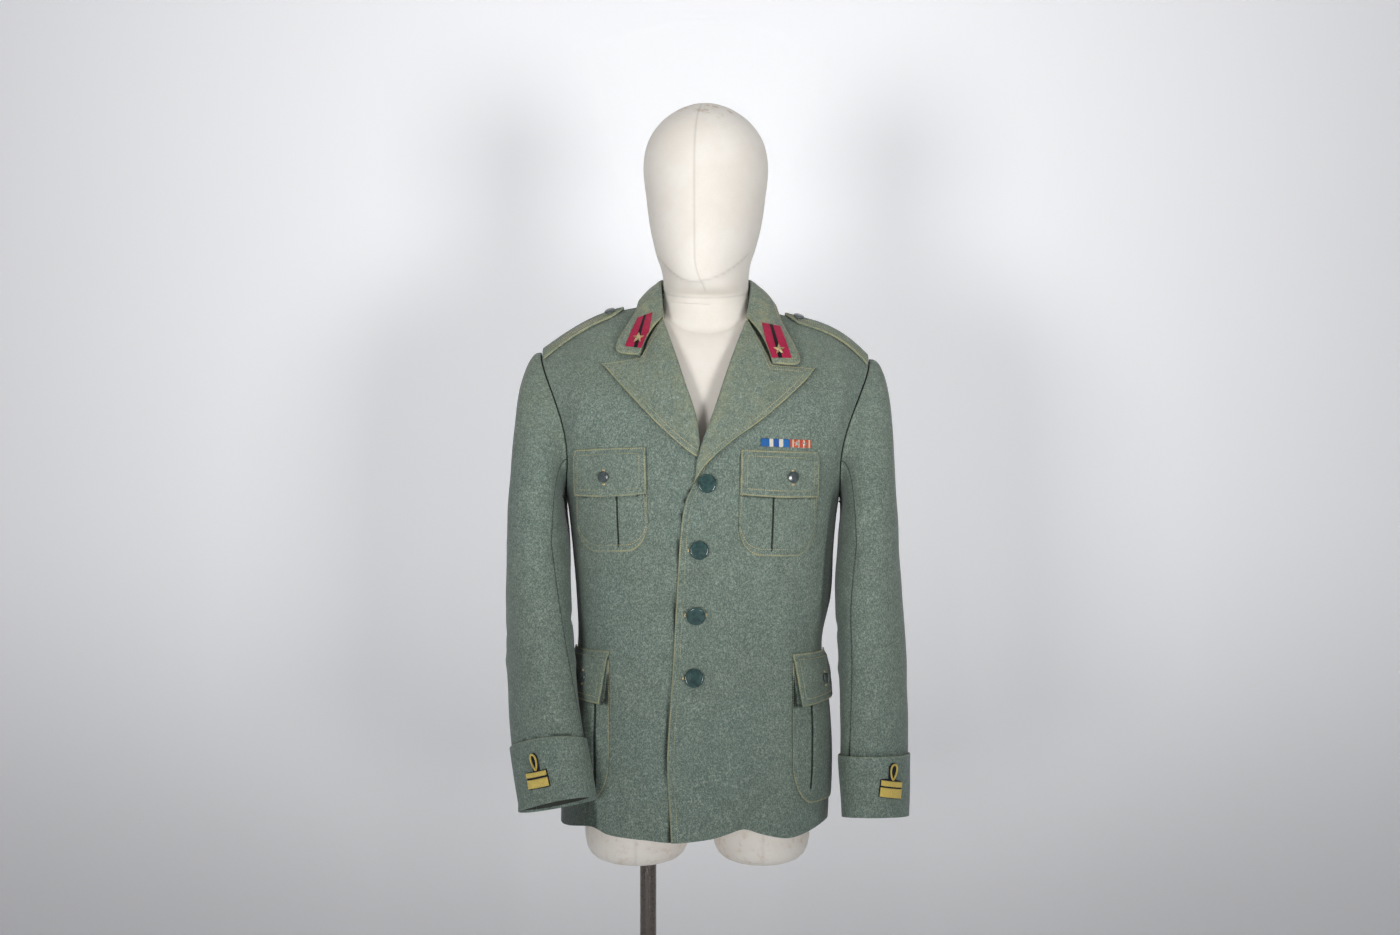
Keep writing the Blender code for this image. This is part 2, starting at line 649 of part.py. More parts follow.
def armhole_loop(side):
    """The armhole's edge from the shoulder tip forward, down, and up the back, in equal steps."""
    high = [level for level in levels() if level > ARMPIT_Z]
    front = [jacket_point(side, level, FRONT) for level in reversed(high)]
    back = [jacket_point(side, level, BACK) for level in high]
    line = front + [jacket_point(side, ARMPIT_Z, FRONT)] + back
    lengths = [0.0]
    for p, q in zip(line, line[1:]):
        lengths.append(lengths[-1] + (q - p).length)
    loop = []
    for k in range(SLEEVE_STEPS):
        want = lengths[-1] * k / SLEEVE_STEPS
        i = min(bisect_right(lengths, want) - 1, len(line) - 2)
        f = (want - lengths[i]) / (lengths[i + 1] - lengths[i])
        loop.append(line[i].lerp(line[i + 1], f))
    return loop


def ring_point(side, k, z, grow=0.0):
    """A point of the sleeve's outer face below the armpit; k counts steps from its outer line forward."""
    table = SLEEVE[side]
    rows = sorted(table, key=lambda ring: ring.height)
    wide = along(rows, z, "half_width") + grow
    deep = along(rows, z, "half_depth") + grow
    turn = math.radians(along(rows, z, "turn"))
    angle = 2 * math.pi * k / SLEEVE_STEPS
    power = 2 / RING_SQUARE
    out = math.copysign(abs(math.cos(angle)) ** power, math.cos(angle)) * wide
    fore = math.copysign(abs(math.sin(angle)) ** power, math.sin(angle)) * deep
    x = out * math.cos(turn) - fore * math.sin(turn)
    y = -out * math.sin(turn) - fore * math.cos(turn)
    return Vector((along(rows, z, "x") + side * x, along(rows, z, "y") + y, z))


def head_row(side, share):
    """A row of the sleeve's head, a share of the way from the armhole to the first ring."""
    row = []
    loop = armhole_loop(side)
    for k in range(SLEEVE_STEPS):
        start = loop[k] + Vector((side * 2 * SEAM, 0, 0))
        end = ring_point(side, k, SLEEVE_ROWS[0])
        up = (1 + math.cos(2 * math.pi * k / SLEEVE_STEPS)) / 2
        leave = Vector((side * (0.008 + HEAD_OUT * up), 0, HEAD_LIFT * up - 0.006 * (1 - up)))
        reach = Vector((-side * HEAD_TUCK * up, 0, 0.030 + (HEAD_FALL - 0.030) * up))
        row.append(bezier(start, start + leave, end + reach, end, share))
    return row


def cuff_edge(side, point):
    """Height of the sleeve's lower edge at a point round it."""
    ring = SLEEVE[side][-1]
    return ring.height - CUFF_TILT[side] * (point.y - ring.y)


def cuff_rows(side, grow, shares):
    """Rows of a tube over the sleeve's end; share 0 is the cuff's top edge, 1 its lower edge."""
    rows = []
    for share in shares:
        row = []
        for k in range(SLEEVE_STEPS):
            bottom = cuff_edge(side, ring_point(side, k, SLEEVE[side][-1].height))
            top = bottom + CUFF_HEIGHT[side]
            top += CUFF_EVEN[side] * (CUFF_TOP[side] - top)
            z = top + (bottom - top) * share
            point = ring_point(side, k, max(z, SLEEVE[side][-1].height), grow)
            row.append(Vector((point.x, point.y, z)))
        rows.append(row)
    return rows


def sleeve_rows(side):
    rows = [head_row(side, share) for share in HEAD_ROWS]
    for z in SLEEVE_ROWS:
        rows.append([ring_point(side, k, z) for k in range(SLEEVE_STEPS)])
    return rows + cuff_rows(side, 0.0, (0.0, 0.5, 0.97))


def sleeve(side, wool):
    """The two pieces of a sleeve, each its own wall from the same rows."""
    word = "left" if side == LEFT else "right"
    rows = sleeve_rows(side)
    normals = grid_normals(rows, True, [[p - sum(row, Vector()) / len(row) for p in row] for row in rows])
    inner = [[p - n * CLOTH for p, n in zip(row, line)] for row, line in zip(rows, normals)]
    spans = {
        "top": range(-SEAM_STEP, SEAM_STEP + 1),
        "under": range(SEAM_STEP, SLEEVE_STEPS - SEAM_STEP + 1),
    }
    for part, span in spans.items():
        grids = [
            drawn_in([[row[k % SLEEVE_STEPS] for k in span] for row in grid], SEAM / 2, True, True)
            for grid in (rows, inner)
        ]
        wall(f"sleeve_{part}_{word}", *grids, wool)


def cuff(side, wool):
    word = "left" if side == LEFT else "right"
    lift = STANDOFF + CLOTH
    outer = cuff_rows(side, lift, (0.0, 0.5, 1.0))
    guide = [[p - sum(row, Vector()) / len(row) for p in row] for row in outer]
    cloth_wall(f"cuff_{word}", outer, wool, wrap=True, like=guide)


def build_jacket_shell(wool):
    front_panel(LEFT, wool)
    front_panel(RIGHT, wool)
    back_panel(wool)
    for side in (LEFT, RIGHT):
        sleeve(side, wool)
        cuff(side, wool)


# Collar and lapels


def collar_place(side, q, f):
    """A point of the collar's fall: q runs from the middle of the back to the front end, f from fold to edge."""
    table = COLLAR[side]
    fold = Vector((along(table, q, "fold_x"), along(table, q, "fold_y"), along(table, q, "fold_z")))
    edge = Vector((along(table, q, "edge_x"), along(table, q, "edge_y"), along(table, q, "edge_z")))
    bulge = (edge - fold).length * FALL_BULGE * math.sin(math.pi * f)
    away = Vector((fold.x + edge.x, fold.y + edge.y, 0)).normalized()
    away.z = 0.6
    return fold.lerp(edge, f) + away * bulge


def collar_column(side, q):
    """A section of the collar: up the stand's inner face, over the fold and down the fall."""
    fold = collar_place(side, q, 0.0)
    fall = [collar_place(side, q, f) for f in FALL_SHARES]
    away = (fall[-1] - fold)
    away.z = 0
    away.normalize()
    stand = STAND_DROP + (STAND_END - STAND_DROP) * ease((q - 0.35) / 0.65)
    lean = away * 0.001
    foot = fold - away * FOLD_ROUND - Vector((0, 0, stand)) + lean
    chest = fold - away * FOLD_ROUND - Vector((0, 0, stand * 0.5)) + lean
    brow = fold - away * FOLD_ROUND * 0.75 - Vector((0, 0, FOLD_ROUND * 0.45))
    return [foot, chest, brow, fold] + fall


def collar(wool):
    columns = [collar_column(RIGHT, k / COLLAR_STEPS) for k in range(COLLAR_STEPS, 0, -1)]
    columns += [collar_column(LEFT, k / COLLAR_STEPS) for k in range(COLLAR_STEPS + 1)]
    core = []
    for column in columns:
        core.append([column[1].lerp(column[5], 0.5)] * len(column))
    guide = [[p - c for p, c in zip(line, heart)] for line, heart in zip(columns, core)]
    cloth_wall("collar", columns, wool, like=guide)


def lapel_place(side, r, f):
    """An x and z of the lapel: r runs up the roll line, f from the roll to the outer edge."""
    rows = LAPEL[side]
    spot = r * (len(rows) - 1)
    table = tuple(Indexed(i, *row) for i, row in enumerate(rows))
    roll = Vector((along(table, spot, "roll_x"), along(table, spot, "roll_z")))
    edge = Vector((along(table, spot, "edge_x"), along(table, spot, "edge_z")))
    place = roll.lerp(edge, f)
    top_roll = Vector((rows[-1].roll_x, rows[-1].roll_z))
    peak = Vector((rows[-1].edge_x, rows[-1].edge_z))
    notch = Vector(NOTCH[side])
    if f < NOTCH_SHARE:
        target = top_roll.lerp(notch, f / NOTCH_SHARE)
    else:
        target = notch.lerp(peak, (f - NOTCH_SHARE) / (1 - NOTCH_SHARE))
    return place + (target - top_roll.lerp(peak, f)) * r ** 5


Indexed = namedtuple("Indexed", "index roll_x roll_z edge_x edge_z")
LAPEL_ROWS, LAPEL_COLUMNS = 11, (0.0, 0.15, 0.45, 0.72, 1.0)


def lapel(side, wool):
    spots = []
    for i in range(LAPEL_ROWS):
        r = i / (LAPEL_ROWS - 1)
        row = []
        for f in LAPEL_COLUMNS:
            x, z = lapel_place(side, r, f)
            lift = STANDOFF + ROLL_LIFT * (1 - f) ** 2 * ease(r / 0.3)
            row.append(on_front(side, x, z, lift))
        spots.append(row)
    laid("lapel_left" if side == LEFT else "lapel_right", spots, wool)


# Pockets


def pocket_bottom(across, height, corner):
    """How far below its top a pocket's lower edge lies, for a place across from -1 to 1."""
    past = max((abs(across) - CORNER_FROM) / (1 - CORNER_FROM), 0.0)
    return height - corner * (1 - math.sqrt(max(1 - past ** 2, 0.0)))


COLUMNS = (-1.0, -0.8, -0.45, 0.0, 0.45, 0.8, 1.0)
PLEAT_COLUMNS, SLIT_COLUMNS = (-0.06, 0.06), (-0.06, -0.02, 0.02, 0.06)     # from the pleat
FLAP_DOWN = (0.0, 0.35, 0.68, 1.0)     # below the pocket's mouth
POCKET_DOWN = (0.34, 0.68, 0.88, 1.0)  # below the flap


def columns_at(pleat, close):
    """Places across a pocket or its flap, with close ones at the pleat in place of the nearest."""
    nearest = min(COLUMNS, key=lambda place: abs(place - pleat))
    return sorted([place for place in COLUMNS if place != nearest] + [pleat + step for step in close])


def pocket_down(row, flap_height, end):
    """The distance below the flap's top of a pocket's row, where the column ends at end."""
    if row < len(FLAP_DOWN):
        return POCKET_TUCK + (flap_height - POCKET_TUCK) * FLAP_DOWN[row]
    return flap_height + (end - flap_height) * POCKET_DOWN[row - len(FLAP_DOWN)]


POCKET_ROWS = len(FLAP_DOWN) + len(POCKET_DOWN)


def flap_rows(flap_height):
    """Distances below a flap's top, the lower ones shared with the pocket under it."""
    return [0.0, 0.005] + [POCKET_TUCK + (flap_height - POCKET_TUCK) * f for f in FLAP_DOWN]


def breast_pocket(side, wool):
    word = "left" if side == LEFT else "right"
    pocket = BREAST[side]
    half = pocket.width / 2

    def place(across, down):
        x = pocket.x + across * half + down * math.sin(pocket.lean)
        z = pocket.top - down + across * half * math.sin(pocket.lean)
        return x, z

    outer, inner = [], []
    for i in range(POCKET_ROWS):
        top_row, under_row = [], []
        for across in columns_at(pocket.pleat, SLIT_COLUMNS):
            end = pocket_bottom(across, pocket.height, BREAST_CORNER)
            down = pocket_down(i, pocket.flap_height, end)
            point, normal = on_front(side, *place(across, down), STANDOFF)
            dent = PLEAT_DEPTH if abs(across - pocket.pleat) < PLEAT_HALF else 0.0
            under_row.append(point)
            top_row.append(point + normal * (CLOTH - dent))
        outer.append(top_row)
        inner.append(under_row)
    wall(f"breast_pocket_{word}", outer, inner, wool)

    spots = []
    for down in flap_rows(pocket.flap_height):
        row = []
        for across in columns_at(pocket.pleat, PLEAT_COLUMNS):
            bow = FLAP_BOW * (1 - across ** 2) * max(down - POCKET_TUCK, 0) / pocket.flap_height
            climb = STANDOFF + (CLOTH + STANDOFF) * ease((down - FLAP_SEWN) / FLAP_CLIMB)
            row.append(on_front(side, *place(across, down + bow), climb))
        spots.append(row)
    laid(f"breast_flap_{word}", spots, wool)
    point, normal = on_front(side, pocket.button_x, pocket.button_z, 2 * (CLOTH + STANDOFF) + SEAM)
    button(f"breast_button_{word}", point, normal, SMALL_BUTTON)


ARC_STEPS = 60


def hip_arc(side, arc, z):
    """The place across that lies an arc's length round the front from the hip pocket's front edge."""
    start = across_at(HIP_FRONT_X[side], z, FRONT)
    last, walked = front_surface(start, z), 0.0
    for i in range(1, ARC_STEPS + 1):
        across = start + (side - start) * i / ARC_STEPS
        point = front_surface(across, z)
        step = (point - last).length
        if walked + step >= arc:
            return across - (side - start) / ARC_STEPS * (1 - (arc - walked) / step)
        last, walked = point, walked + step
    return side * 1.0


def on_hip(side, arc, z, lift):
    across = hip_arc(side, arc, z)
    normal = outward(front_surface, min(max(across, -0.985), 0.985), z)
    return front_surface(across, z) + normal * lift, normal


def hip_pocket(side, wool):
    word = "left" if side == LEFT else "right"
    width, top = HIP_WIDTH[side], HIP_TOP[side]
    outer, inner = [], []
    for i in range(POCKET_ROWS):
        top_row, under_row = [], []
        for across in columns_at(HIP_PLEAT[side], SLIT_COLUMNS):
            end = pocket_bottom(across, HIP_HEIGHT, HIP_CORNER)
            down = pocket_down(i, HIP_FLAP_HEIGHT, end)
            belly = HIP_BELLY * (1 - across ** 2) * math.sin(math.pi * (down - POCKET_TUCK) / (end - POCKET_TUCK))
            arc = width * (1 + across) / 2
            point, normal = on_hip(side, arc, top - down, HIP_STANDOFF + belly)
            dent = PLEAT_DEPTH if abs(across - HIP_PLEAT[side]) < PLEAT_HALF else 0.0
            under_row.append(point)
            top_row.append(point + normal * (CLOTH - dent))
        outer.append(top_row)
        inner.append(under_row)
    wall(f"hip_pocket_{word}", outer, inner, wool)

    spots = []
    for down in flap_rows(HIP_FLAP_HEIGHT):
        row = []
        for across in columns_at(HIP_PLEAT[side], PLEAT_COLUMNS):
            climb = HIP_STANDOFF + (CLOTH + STANDOFF) * ease((down - FLAP_SEWN) / FLAP_CLIMB)
            climb += HIP_BELLY * ease((down - FLAP_SEWN) / HIP_FLAP_CLIMB)
            corner = FLAP_LIFT * ease((-across - LIFT_FROM) / (1 - LIFT_FROM)) * (down / HIP_FLAP_HEIGHT) ** 2
            arc = width * (1 + across) / 2
            sag = HIP_FLAP_SAG * (1 - across) / 2 * down / HIP_FLAP_HEIGHT
            row.append(on_hip(side, arc, top - down - sag, climb + corner))
        spots.append(row)
    laid(f"hip_flap_{word}", spots, wool)
    rise = HIP_STANDOFF + STANDOFF + 2 * CLOTH + HIP_BELLY + SEAM
    point, normal = on_hip(side, width * HIP_BUTTON[side], top - HIP_BUTTON_DOWN, rise)
    button(f"hip_button_{word}", point, normal, SMALL_BUTTON)


# Buttons

Turned = namedtuple("Turned", "radius height")
BUTTON_PROFILE = (
    Turned(0.30, 0.00),
    Turned(0.30, 0.07),
    Turned(0.86, 0.10),
    Turned(1.00, 0.16),
    Turned(0.93, 0.24),
    Turned(0.62, 0.31),
)
BUTTON_CROWN = 0.34
BUTTON_MATERIAL = {}


def button(name, seat, normal, diameter, lean=Vector((0, 0, 0))):
    """A domed button on a short shank. Its profile is in shares of its radius and diameter."""
    axis = (normal + lean).normalized()
    side = axis.cross(Vector((0, 0, 1))).normalized()
    up = side.cross(axis)
    bm = bmesh.new()
    rings = []
    for turned in BUTTON_PROFILE:
        ring = []
        for k in range(BUTTON_STEPS):
            angle = 2 * math.pi * k / BUTTON_STEPS
            spoke = (side * math.cos(angle) + up * math.sin(angle)) * turned.radius * diameter / 2
            ring.append(bm.verts.new(seat + axis * turned.height * diameter + spoke))
        rings.append(ring)
    for low, high in zip(rings, rings[1:]):
        for k in range(BUTTON_STEPS):
            n = (k + 1) % BUTTON_STEPS
            bm.faces.new((low[k], low[n], high[n], high[k]))
    bm.faces.new(rings[0])
    crown = bm.verts.new(seat + axis * BUTTON_CROWN * diameter)
    for k in range(BUTTON_STEPS):
        bm.faces.new((rings[-1][k], rings[-1][(k + 1) % BUTTON_STEPS], crown))
    kind = "front" if diameter == FRONT_BUTTON else "small"
    return finish(name, bm, BUTTON_MATERIAL[kind])


def front_buttons():
    for i, (x, z) in enumerate(BUTTON_PLACES):
        seat, normal = on_front(LEFT, x, z, SEAM)
        lean = Vector((0, 0, -0.30 if i == 2 else 0.05))
        tipped = (normal + lean).normalized()
        seat += normal * FRONT_BUTTON * 0.15 * math.sqrt(max(1 - tipped.dot(normal) ** 2, 0.0))
        button(f"front_button_{i + 1}", seat, normal, FRONT_BUTTON, lean)


# Shoulder straps


def over_shoulder(side, share, run):
    """A point of the shoulder at a share from neck to sleeve, a run of arc from the seam (front is negative)."""
    facing = FRONT if run < 0 else BACK
    across = side * share
    last, walked = top_point(across, facing), 0.0
    goal = abs(run)
    if goal == 0:
        return last
    for i in range(1, ARC_STEPS + 1):
        level = SEAM_LEVEL - SHOULDER_RISE * i / ARC_STEPS
        point = jacket_point(across, level, facing)
        step = (point - last).length
        if walked + step >= goal:
            return last.lerp(point, (goal - walked) / step)
        last, walked = point, walked + step
    return last


def shoulder_spot(side, share, run, lift):
    step_share, step_run = 0.01, 0.004
    along_share = over_shoulder(side, share + step_share, run) - over_shoulder(side, share - step_share, run)
    along_run = over_shoulder(side, share, run + step_run) - over_shoulder(side, share, run - step_run)
    normal = along_share.cross(along_run).normalized()
    if normal.z < 0:
        normal.negate()
    return over_shoulder(side, share, run) + normal * lift, normal


STRAP_ROWS = 7
STRAP_ACROSS = (-1.0, -0.6, 0.0, 0.6, 1.0)


def shoulder_strap(side, wool):
    word = "left" if side == LEFT else "right"
    start = STRAP_START[side]
    spots = []
    for i in range(STRAP_ROWS):
        f = i / (STRAP_ROWS - 1)
        half = STRAP_HALF["neck"] + (STRAP_HALF["sleeve"] - STRAP_HALF["neck"]) * f
        row = []
        for place in STRAP_ACROSS:
            inset = 0.10 * max(abs(place) - 0.3, 0.0) * (1 - f) ** 3
            share = start + inset + (STRAP_END - start - inset) * f
            row.append(shoulder_spot(side, share, place * half, STRAP_LIFT))
        spots.append(row)
    laid(f"shoulder_strap_{word}", spots, wool, STRAP_CLOTH)
    lift = STRAP_LIFT + STRAP_CLOTH + 2 * SEAM
    seat, normal = shoulder_spot(side, start + STRAP_BUTTON_IN, -STRAP_BUTTON_FORE, lift)
    button(f"strap_button_{word}", seat, normal, SMALL_BUTTON)


# Patches, ribbons and cuff marks

Corner = namedtuple("Corner", "x z")
PATCH_CORNERS = {
    RIGHT: (
        Corner(-0.0902, 1.5370),
        Corner(-0.0706, 1.5445),
        Corner(-0.0777, 1.4945),
        Corner(-0.1062, 1.4985),
    ),
    LEFT: (
        Corner(0.0730, 1.5300),
        Corner(0.0975, 1.5255),
        Corner(0.1115, 1.4825),
        Corner(0.0816, 1.4825),
    ),
}
STAR_PLACE = {RIGHT: Corner(-0.0885, 1.5090), LEFT: Corner(0.0948, 1.4935)}


def on_collar(side, x, z, lift):
    def fall(q, f):
        return collar_place(side, q, f)

    q, f = seek(fall, x, z, 0.86, 0.5, 1.0, 1.0)
    normal = outward(fall, q, f)
    return fall(q, f) + normal * lift, normal


def collar_patch(side, felt, metal):
    word = "left" if side == LEFT else "right"
    corners = [Vector((c.x, c.z)) for c in PATCH_CORNERS[side]]
    spots = []
    for i in range(6):
        start = corners[0].lerp(corners[3], i / 5)
        end = corners[1].lerp(corners[2], i / 5)
        spots.append([on_collar(side, *start.lerp(end, j / 3), STANDOFF) for j in range(4)])
    laid(f"collar_patch_{word}", spots, felt, PATCH_THICK)
    place = STAR_PLACE[side]
    seat, normal = on_collar(side, place.x, place.z, 2 * STANDOFF + PATCH_THICK)
    star(f"collar_star_{word}", seat, normal, metal)


def star(name, seat, normal, metal):
    """A five-pointed star with a ridge along each arm."""
    up = (Vector((0, 0, 1)) - normal * normal.z).normalized()
    side = up.cross(normal)
    bm = bmesh.new()
    rim = []
    for k in range(10):
        radius = STAR_RADIUS if k % 2 == 0 else STAR_RADIUS * STAR_WAIST
        angle = math.pi * k / 5
        spoke = (up * math.cos(angle) + side * math.sin(angle)) * radius
        rim.append((bm.verts.new(seat + spoke), bm.verts.new(seat + spoke + normal * STAR_THICK * 0.35)))
    top = bm.verts.new(seat + normal * STAR_THICK)
    bm.faces.new([pair[0] for pair in rim])
    for k in range(10):
        low, high = rim[k]
        next_low, next_high = rim[(k + 1) % 10]
        bm.faces.new((low, next_low, next_high, high))
        bm.faces.new((high, next_high, top))
    finish(name, bm, metal, smooth=False)


def ribbon(name, span, silk):
    spots = []
    for dz in (-RIBBON_HALF, RIBBON_HALF):
        row = []
        for i in range(4):
            x = span[0] + (span[1] - span[0]) * i / 3
            row.append(on_front(LEFT, x, RIBBON_Z + dz, STANDOFF))
        spots.append(row)
    laid(name, spots, silk, RIBBON_THICK)


# Cuff marks: centre steps round the cuff and heights, for each side
Mark = namedtuple("Mark", "step loop_top loop_foot thin_top thin_foot thick_top thick_foot lean slant")
CUFF_MARK = {
    RIGHT: Mark(0.45, 0.9745, 0.9475, 0.9525, 0.9465, 0.9440, 0.9333, 0.235, 0.14),
    LEFT: Mark(2.35, 0.9570, 0.9315, 0.9345, 0.9275, 0.9255, 0.9135, -0.05, 0.0),
}
LOOP_HALF_WIDTH, LOOP_CORD = 0.0062, 0.0011
LOOP_STEPS, LOOP_SIDES = 18, 6
FELT_THICK = 0.0008


def on_cuff(side, run, z, lift):
    """A point above the cuff at a run of arc from its mark's centre, outwards positive."""
    mark = CUFF_MARK[side]
    base = mark.step
    run = run + mark.slant * (mark.thin_top - z)
    grow = STANDOFF + CLOTH

    def at(step, height):
        low = SLEEVE[side][-1].height
        place = ring_point(side, step, max(height, low), grow)
        return Vector((place.x, place.y, height))

    per_step = (at(base - 0.5, z) - at(base + 0.5, z)).length
    step = base - run / per_step
    by_step = at(step + 0.05, z) - at(step - 0.05, z)
    by_height = at(step, z + 0.002) - at(step, z - 0.002)
    normal = by_step.cross(by_height).normalized()
    ring = SLEEVE[side][-1]
    if normal.dot(Vector((at(step, z).x - ring.x, at(step, z).y - ring.y, 0))) < 0:
        normal.negate()
    return at(step, z) + normal * lift, normal


def cuff_marks(side, felt, gold):
    word = "left" if side == LEFT else "right"
    mark = CUFF_MARK[side]

    def leaning(run, z):
        return z - run * mark.lean

    felt_rows = (
        (mark.loop_top + FELT_RIM, 0.003),
        (mark.loop_top - 0.004, 0.0070),
        (mark.loop_foot + 0.006, 0.0062),
        (mark.thin_top + FELT_RIM, BAR_HALF + FELT_RIM),
        (mark.thick_foot - FELT_RIM, BAR_HALF + FELT_RIM),
    )
    spots = []
    for z, half in felt_rows:
        runs = [half * place for place in (-1.0, -0.5, 0.0, 0.5, 1.0)]
        spots.append([on_cuff(side, run, leaning(run, z), STANDOFF) for run in runs])
    laid(f"cuff_felt_{word}", spots, felt, FELT_THICK)

    above = 2 * STANDOFF + FELT_THICK
    bars = {"thin": (mark.thin_top, mark.thin_foot), "thick": (mark.thick_top, mark.thick_foot)}
    for kind, (top, foot) in bars.items():
        spots = []
        for z in (top, foot):
            runs = [BAR_HALF * place for place in (-1.0, -0.5, 0.0, 0.5, 1.0)]
            spots.append([on_cuff(side, run, leaning(run, z), above) for run in runs])
        laid(f"cuff_bar_{kind}_{word}", spots, gold, 0.0016)
    cuff_loop(f"cuff_loop_{word}", side, mark, above + LOOP_CORD, gold)


def cuff_loop(name, side, mark, lift, gold):
    """The embroidered loop: a closed oval of round cord, narrow at its foot."""
    middle = (mark.loop_top + mark.thin_top + LOOP_CLEAR) / 2
    half = (mark.loop_top - mark.thin_top - LOOP_CLEAR) / 2 - LOOP_CORD
    bm = bmesh.new()
    rings = []
    for k in range(LOOP_STEPS):
        angle = 2 * math.pi * k / LOOP_STEPS
        taper = 0.72 + 0.28 * math.cos(angle)
        run, z = LOOP_HALF_WIDTH * taper * math.sin(angle), middle + half * math.cos(angle)
        ahead = angle + 0.05
        taper_ahead = 0.72 + 0.28 * math.cos(ahead)
        run_ahead = LOOP_HALF_WIDTH * taper_ahead * math.sin(ahead)
        point, normal = on_cuff(side, run, z, lift)
        further, _ = on_cuff(side, run_ahead, middle + half * math.cos(ahead), lift)
        course = (further - point).normalized()
        flank = course.cross(normal).normalized()
        ring = []
        for s in range(LOOP_SIDES):
            turn = 2 * math.pi * s / LOOP_SIDES
            ring.append(bm.verts.new(point + (flank * math.cos(turn) + normal * math.sin(turn)) * LOOP_CORD))
        rings.append(ring)
    for k in range(LOOP_STEPS):
        here, there = rings[k], rings[(k + 1) % LOOP_STEPS]
        for s in range(LOOP_SIDES):
            n = (s + 1) % LOOP_SIDES
            bm.faces.new((here[s], here[n], there[n], there[s]))
    finish(name, bm, gold)


# Dress form


class Skin:
    """A mesh built face by face, in which points at the same place are one."""

    def __init__(self):
        self.bm = bmesh.new()
        self.known = {}

    def vert(self, point):
        key = tuple(round(c, 6) for c in point)
        if key not in self.known:
            self.known[key] = self.bm.verts.new(point)
        return self.known[key]

    def face(self, points):
        verts = []
        for point in points:
            vert = self.vert(point)
            if vert not in verts:
                verts.append(vert)
        if len(verts) > 2:
            self.bm.faces.new(verts)

    def grid(self, rows, wrap=False):
        last = len(rows[0]) if wrap else len(rows[0]) - 1
        for low, high in zip(rows, rows[1:]):
            for j in range(last):
                k = (j + 1) % len(low)
                self.face((low[j], low[k], high[k], high[j]))


FORM_SPREAD = (-1.0, -0.82, -0.64, -0.48, -0.33, -0.16, 0.0, 0.16, 0.33, 0.48, 0.64, 0.82, 1.0)
SHOULDER_CLEAR = 0.0004
Clear = namedtuple("Clear", "level gap")
FORM_CLEAR = (
    Clear(0.900, 0.010),
    Clear(1.000, 0.010),
    Clear(1.110, 0.016),
    Clear(1.200, 0.014),
    Clear(1.300, 0.012),
    Clear(1.385, 0.012),
    Clear(1.480, 0.006),
    Clear(1.540, 0.0015),
    Clear(1.585, SHOULDER_CLEAR),
)
NECK_ROOM = 0.0065
NECK_ROOM_REACH, NECK_ROOM_FADE, NECK_ROOM_RISE = 0.66, 0.22, 0.12      # places across and a height
CHEST_HOLLOW = 0.014    # extra room behind the closed front
HOLLOW_REACH, HOLLOW_FADE, HOLLOW_START, HOLLOW_RISE = 0.5, 0.16, 1.15, 0.15
FORM_SHOULDER = 0.95    # the form's shoulders reach this share of the jacket's
RIDGE_DROP = 1.45       # the ridge under a shoulder seam lies this many walls below it
CAP_BULGE = 0.010       # rounding of the form's shoulder ends
CAP_STEPS = 4
FORM_LEVELS = (0.900, 0.950, 1.010, 1.070, 1.130, 1.190, 1.250, 1.300)


def form_gap(across, level, facing):
    """How far the form's skin lies inside the jacket's outer face."""
    gap = CLOTH + along(FORM_CLEAR, level, "gap")
    if facing == FRONT:
        middle = ease(1 - abs(across) / HOLLOW_REACH) * ease((SEAM_LEVEL - level) / HOLLOW_FADE)
        gap += CHEST_HOLLOW * middle * ease((level - HOLLOW_START) / HOLLOW_RISE)
    return gap + neck_room(across, level)


def neck_room(across, level):
    """Extra room round the foot of the neck, where the jacket flares."""
    aside = ease((NECK_ROOM_REACH - abs(across)) / NECK_ROOM_FADE)
    return NECK_ROOM * aside * ease((level - CHEST_Z) / NECK_ROOM_RISE)


def form_row(level, facing):
    """A row of the form's skin. Above the armpit it stops short of the armholes."""

    def surface(a, b):
        return body_point(a, b, facing)

    row = []
    for across in FORM_SPREAD:
        reach = across * (FORM_SHOULDER if level > ARMPIT_Z else 1.0)
        level_in = min(level, SEAM_LEVEL - 0.002)
        normal = outward(surface, min(max(reach, -0.995), 0.995), level_in)
        row.append(surface(reach, level) - normal * form_gap(across, level, facing))
    return row


def form_ridge():
    """The form's skin under the shoulder seams, where its front and back meet."""
    ridge = []
    for across in FORM_SPREAD:
        reach = across * FORM_SHOULDER
        seam = TIP[side_of(across)] - Vector((side_of(across) * NECK_X, NECK_Y, NECK_Z))
        up = Vector((-seam.z, 0, seam.x))
        if up.z < 0:
            up.negate()
        drop = (CLOTH + SHOULDER_CLEAR) * RIDGE_DROP + neck_room(across, SEAM_LEVEL)
        ridge.append(top_point(reach, FRONT) - up.normalized() * drop if across else None)
    return ridge


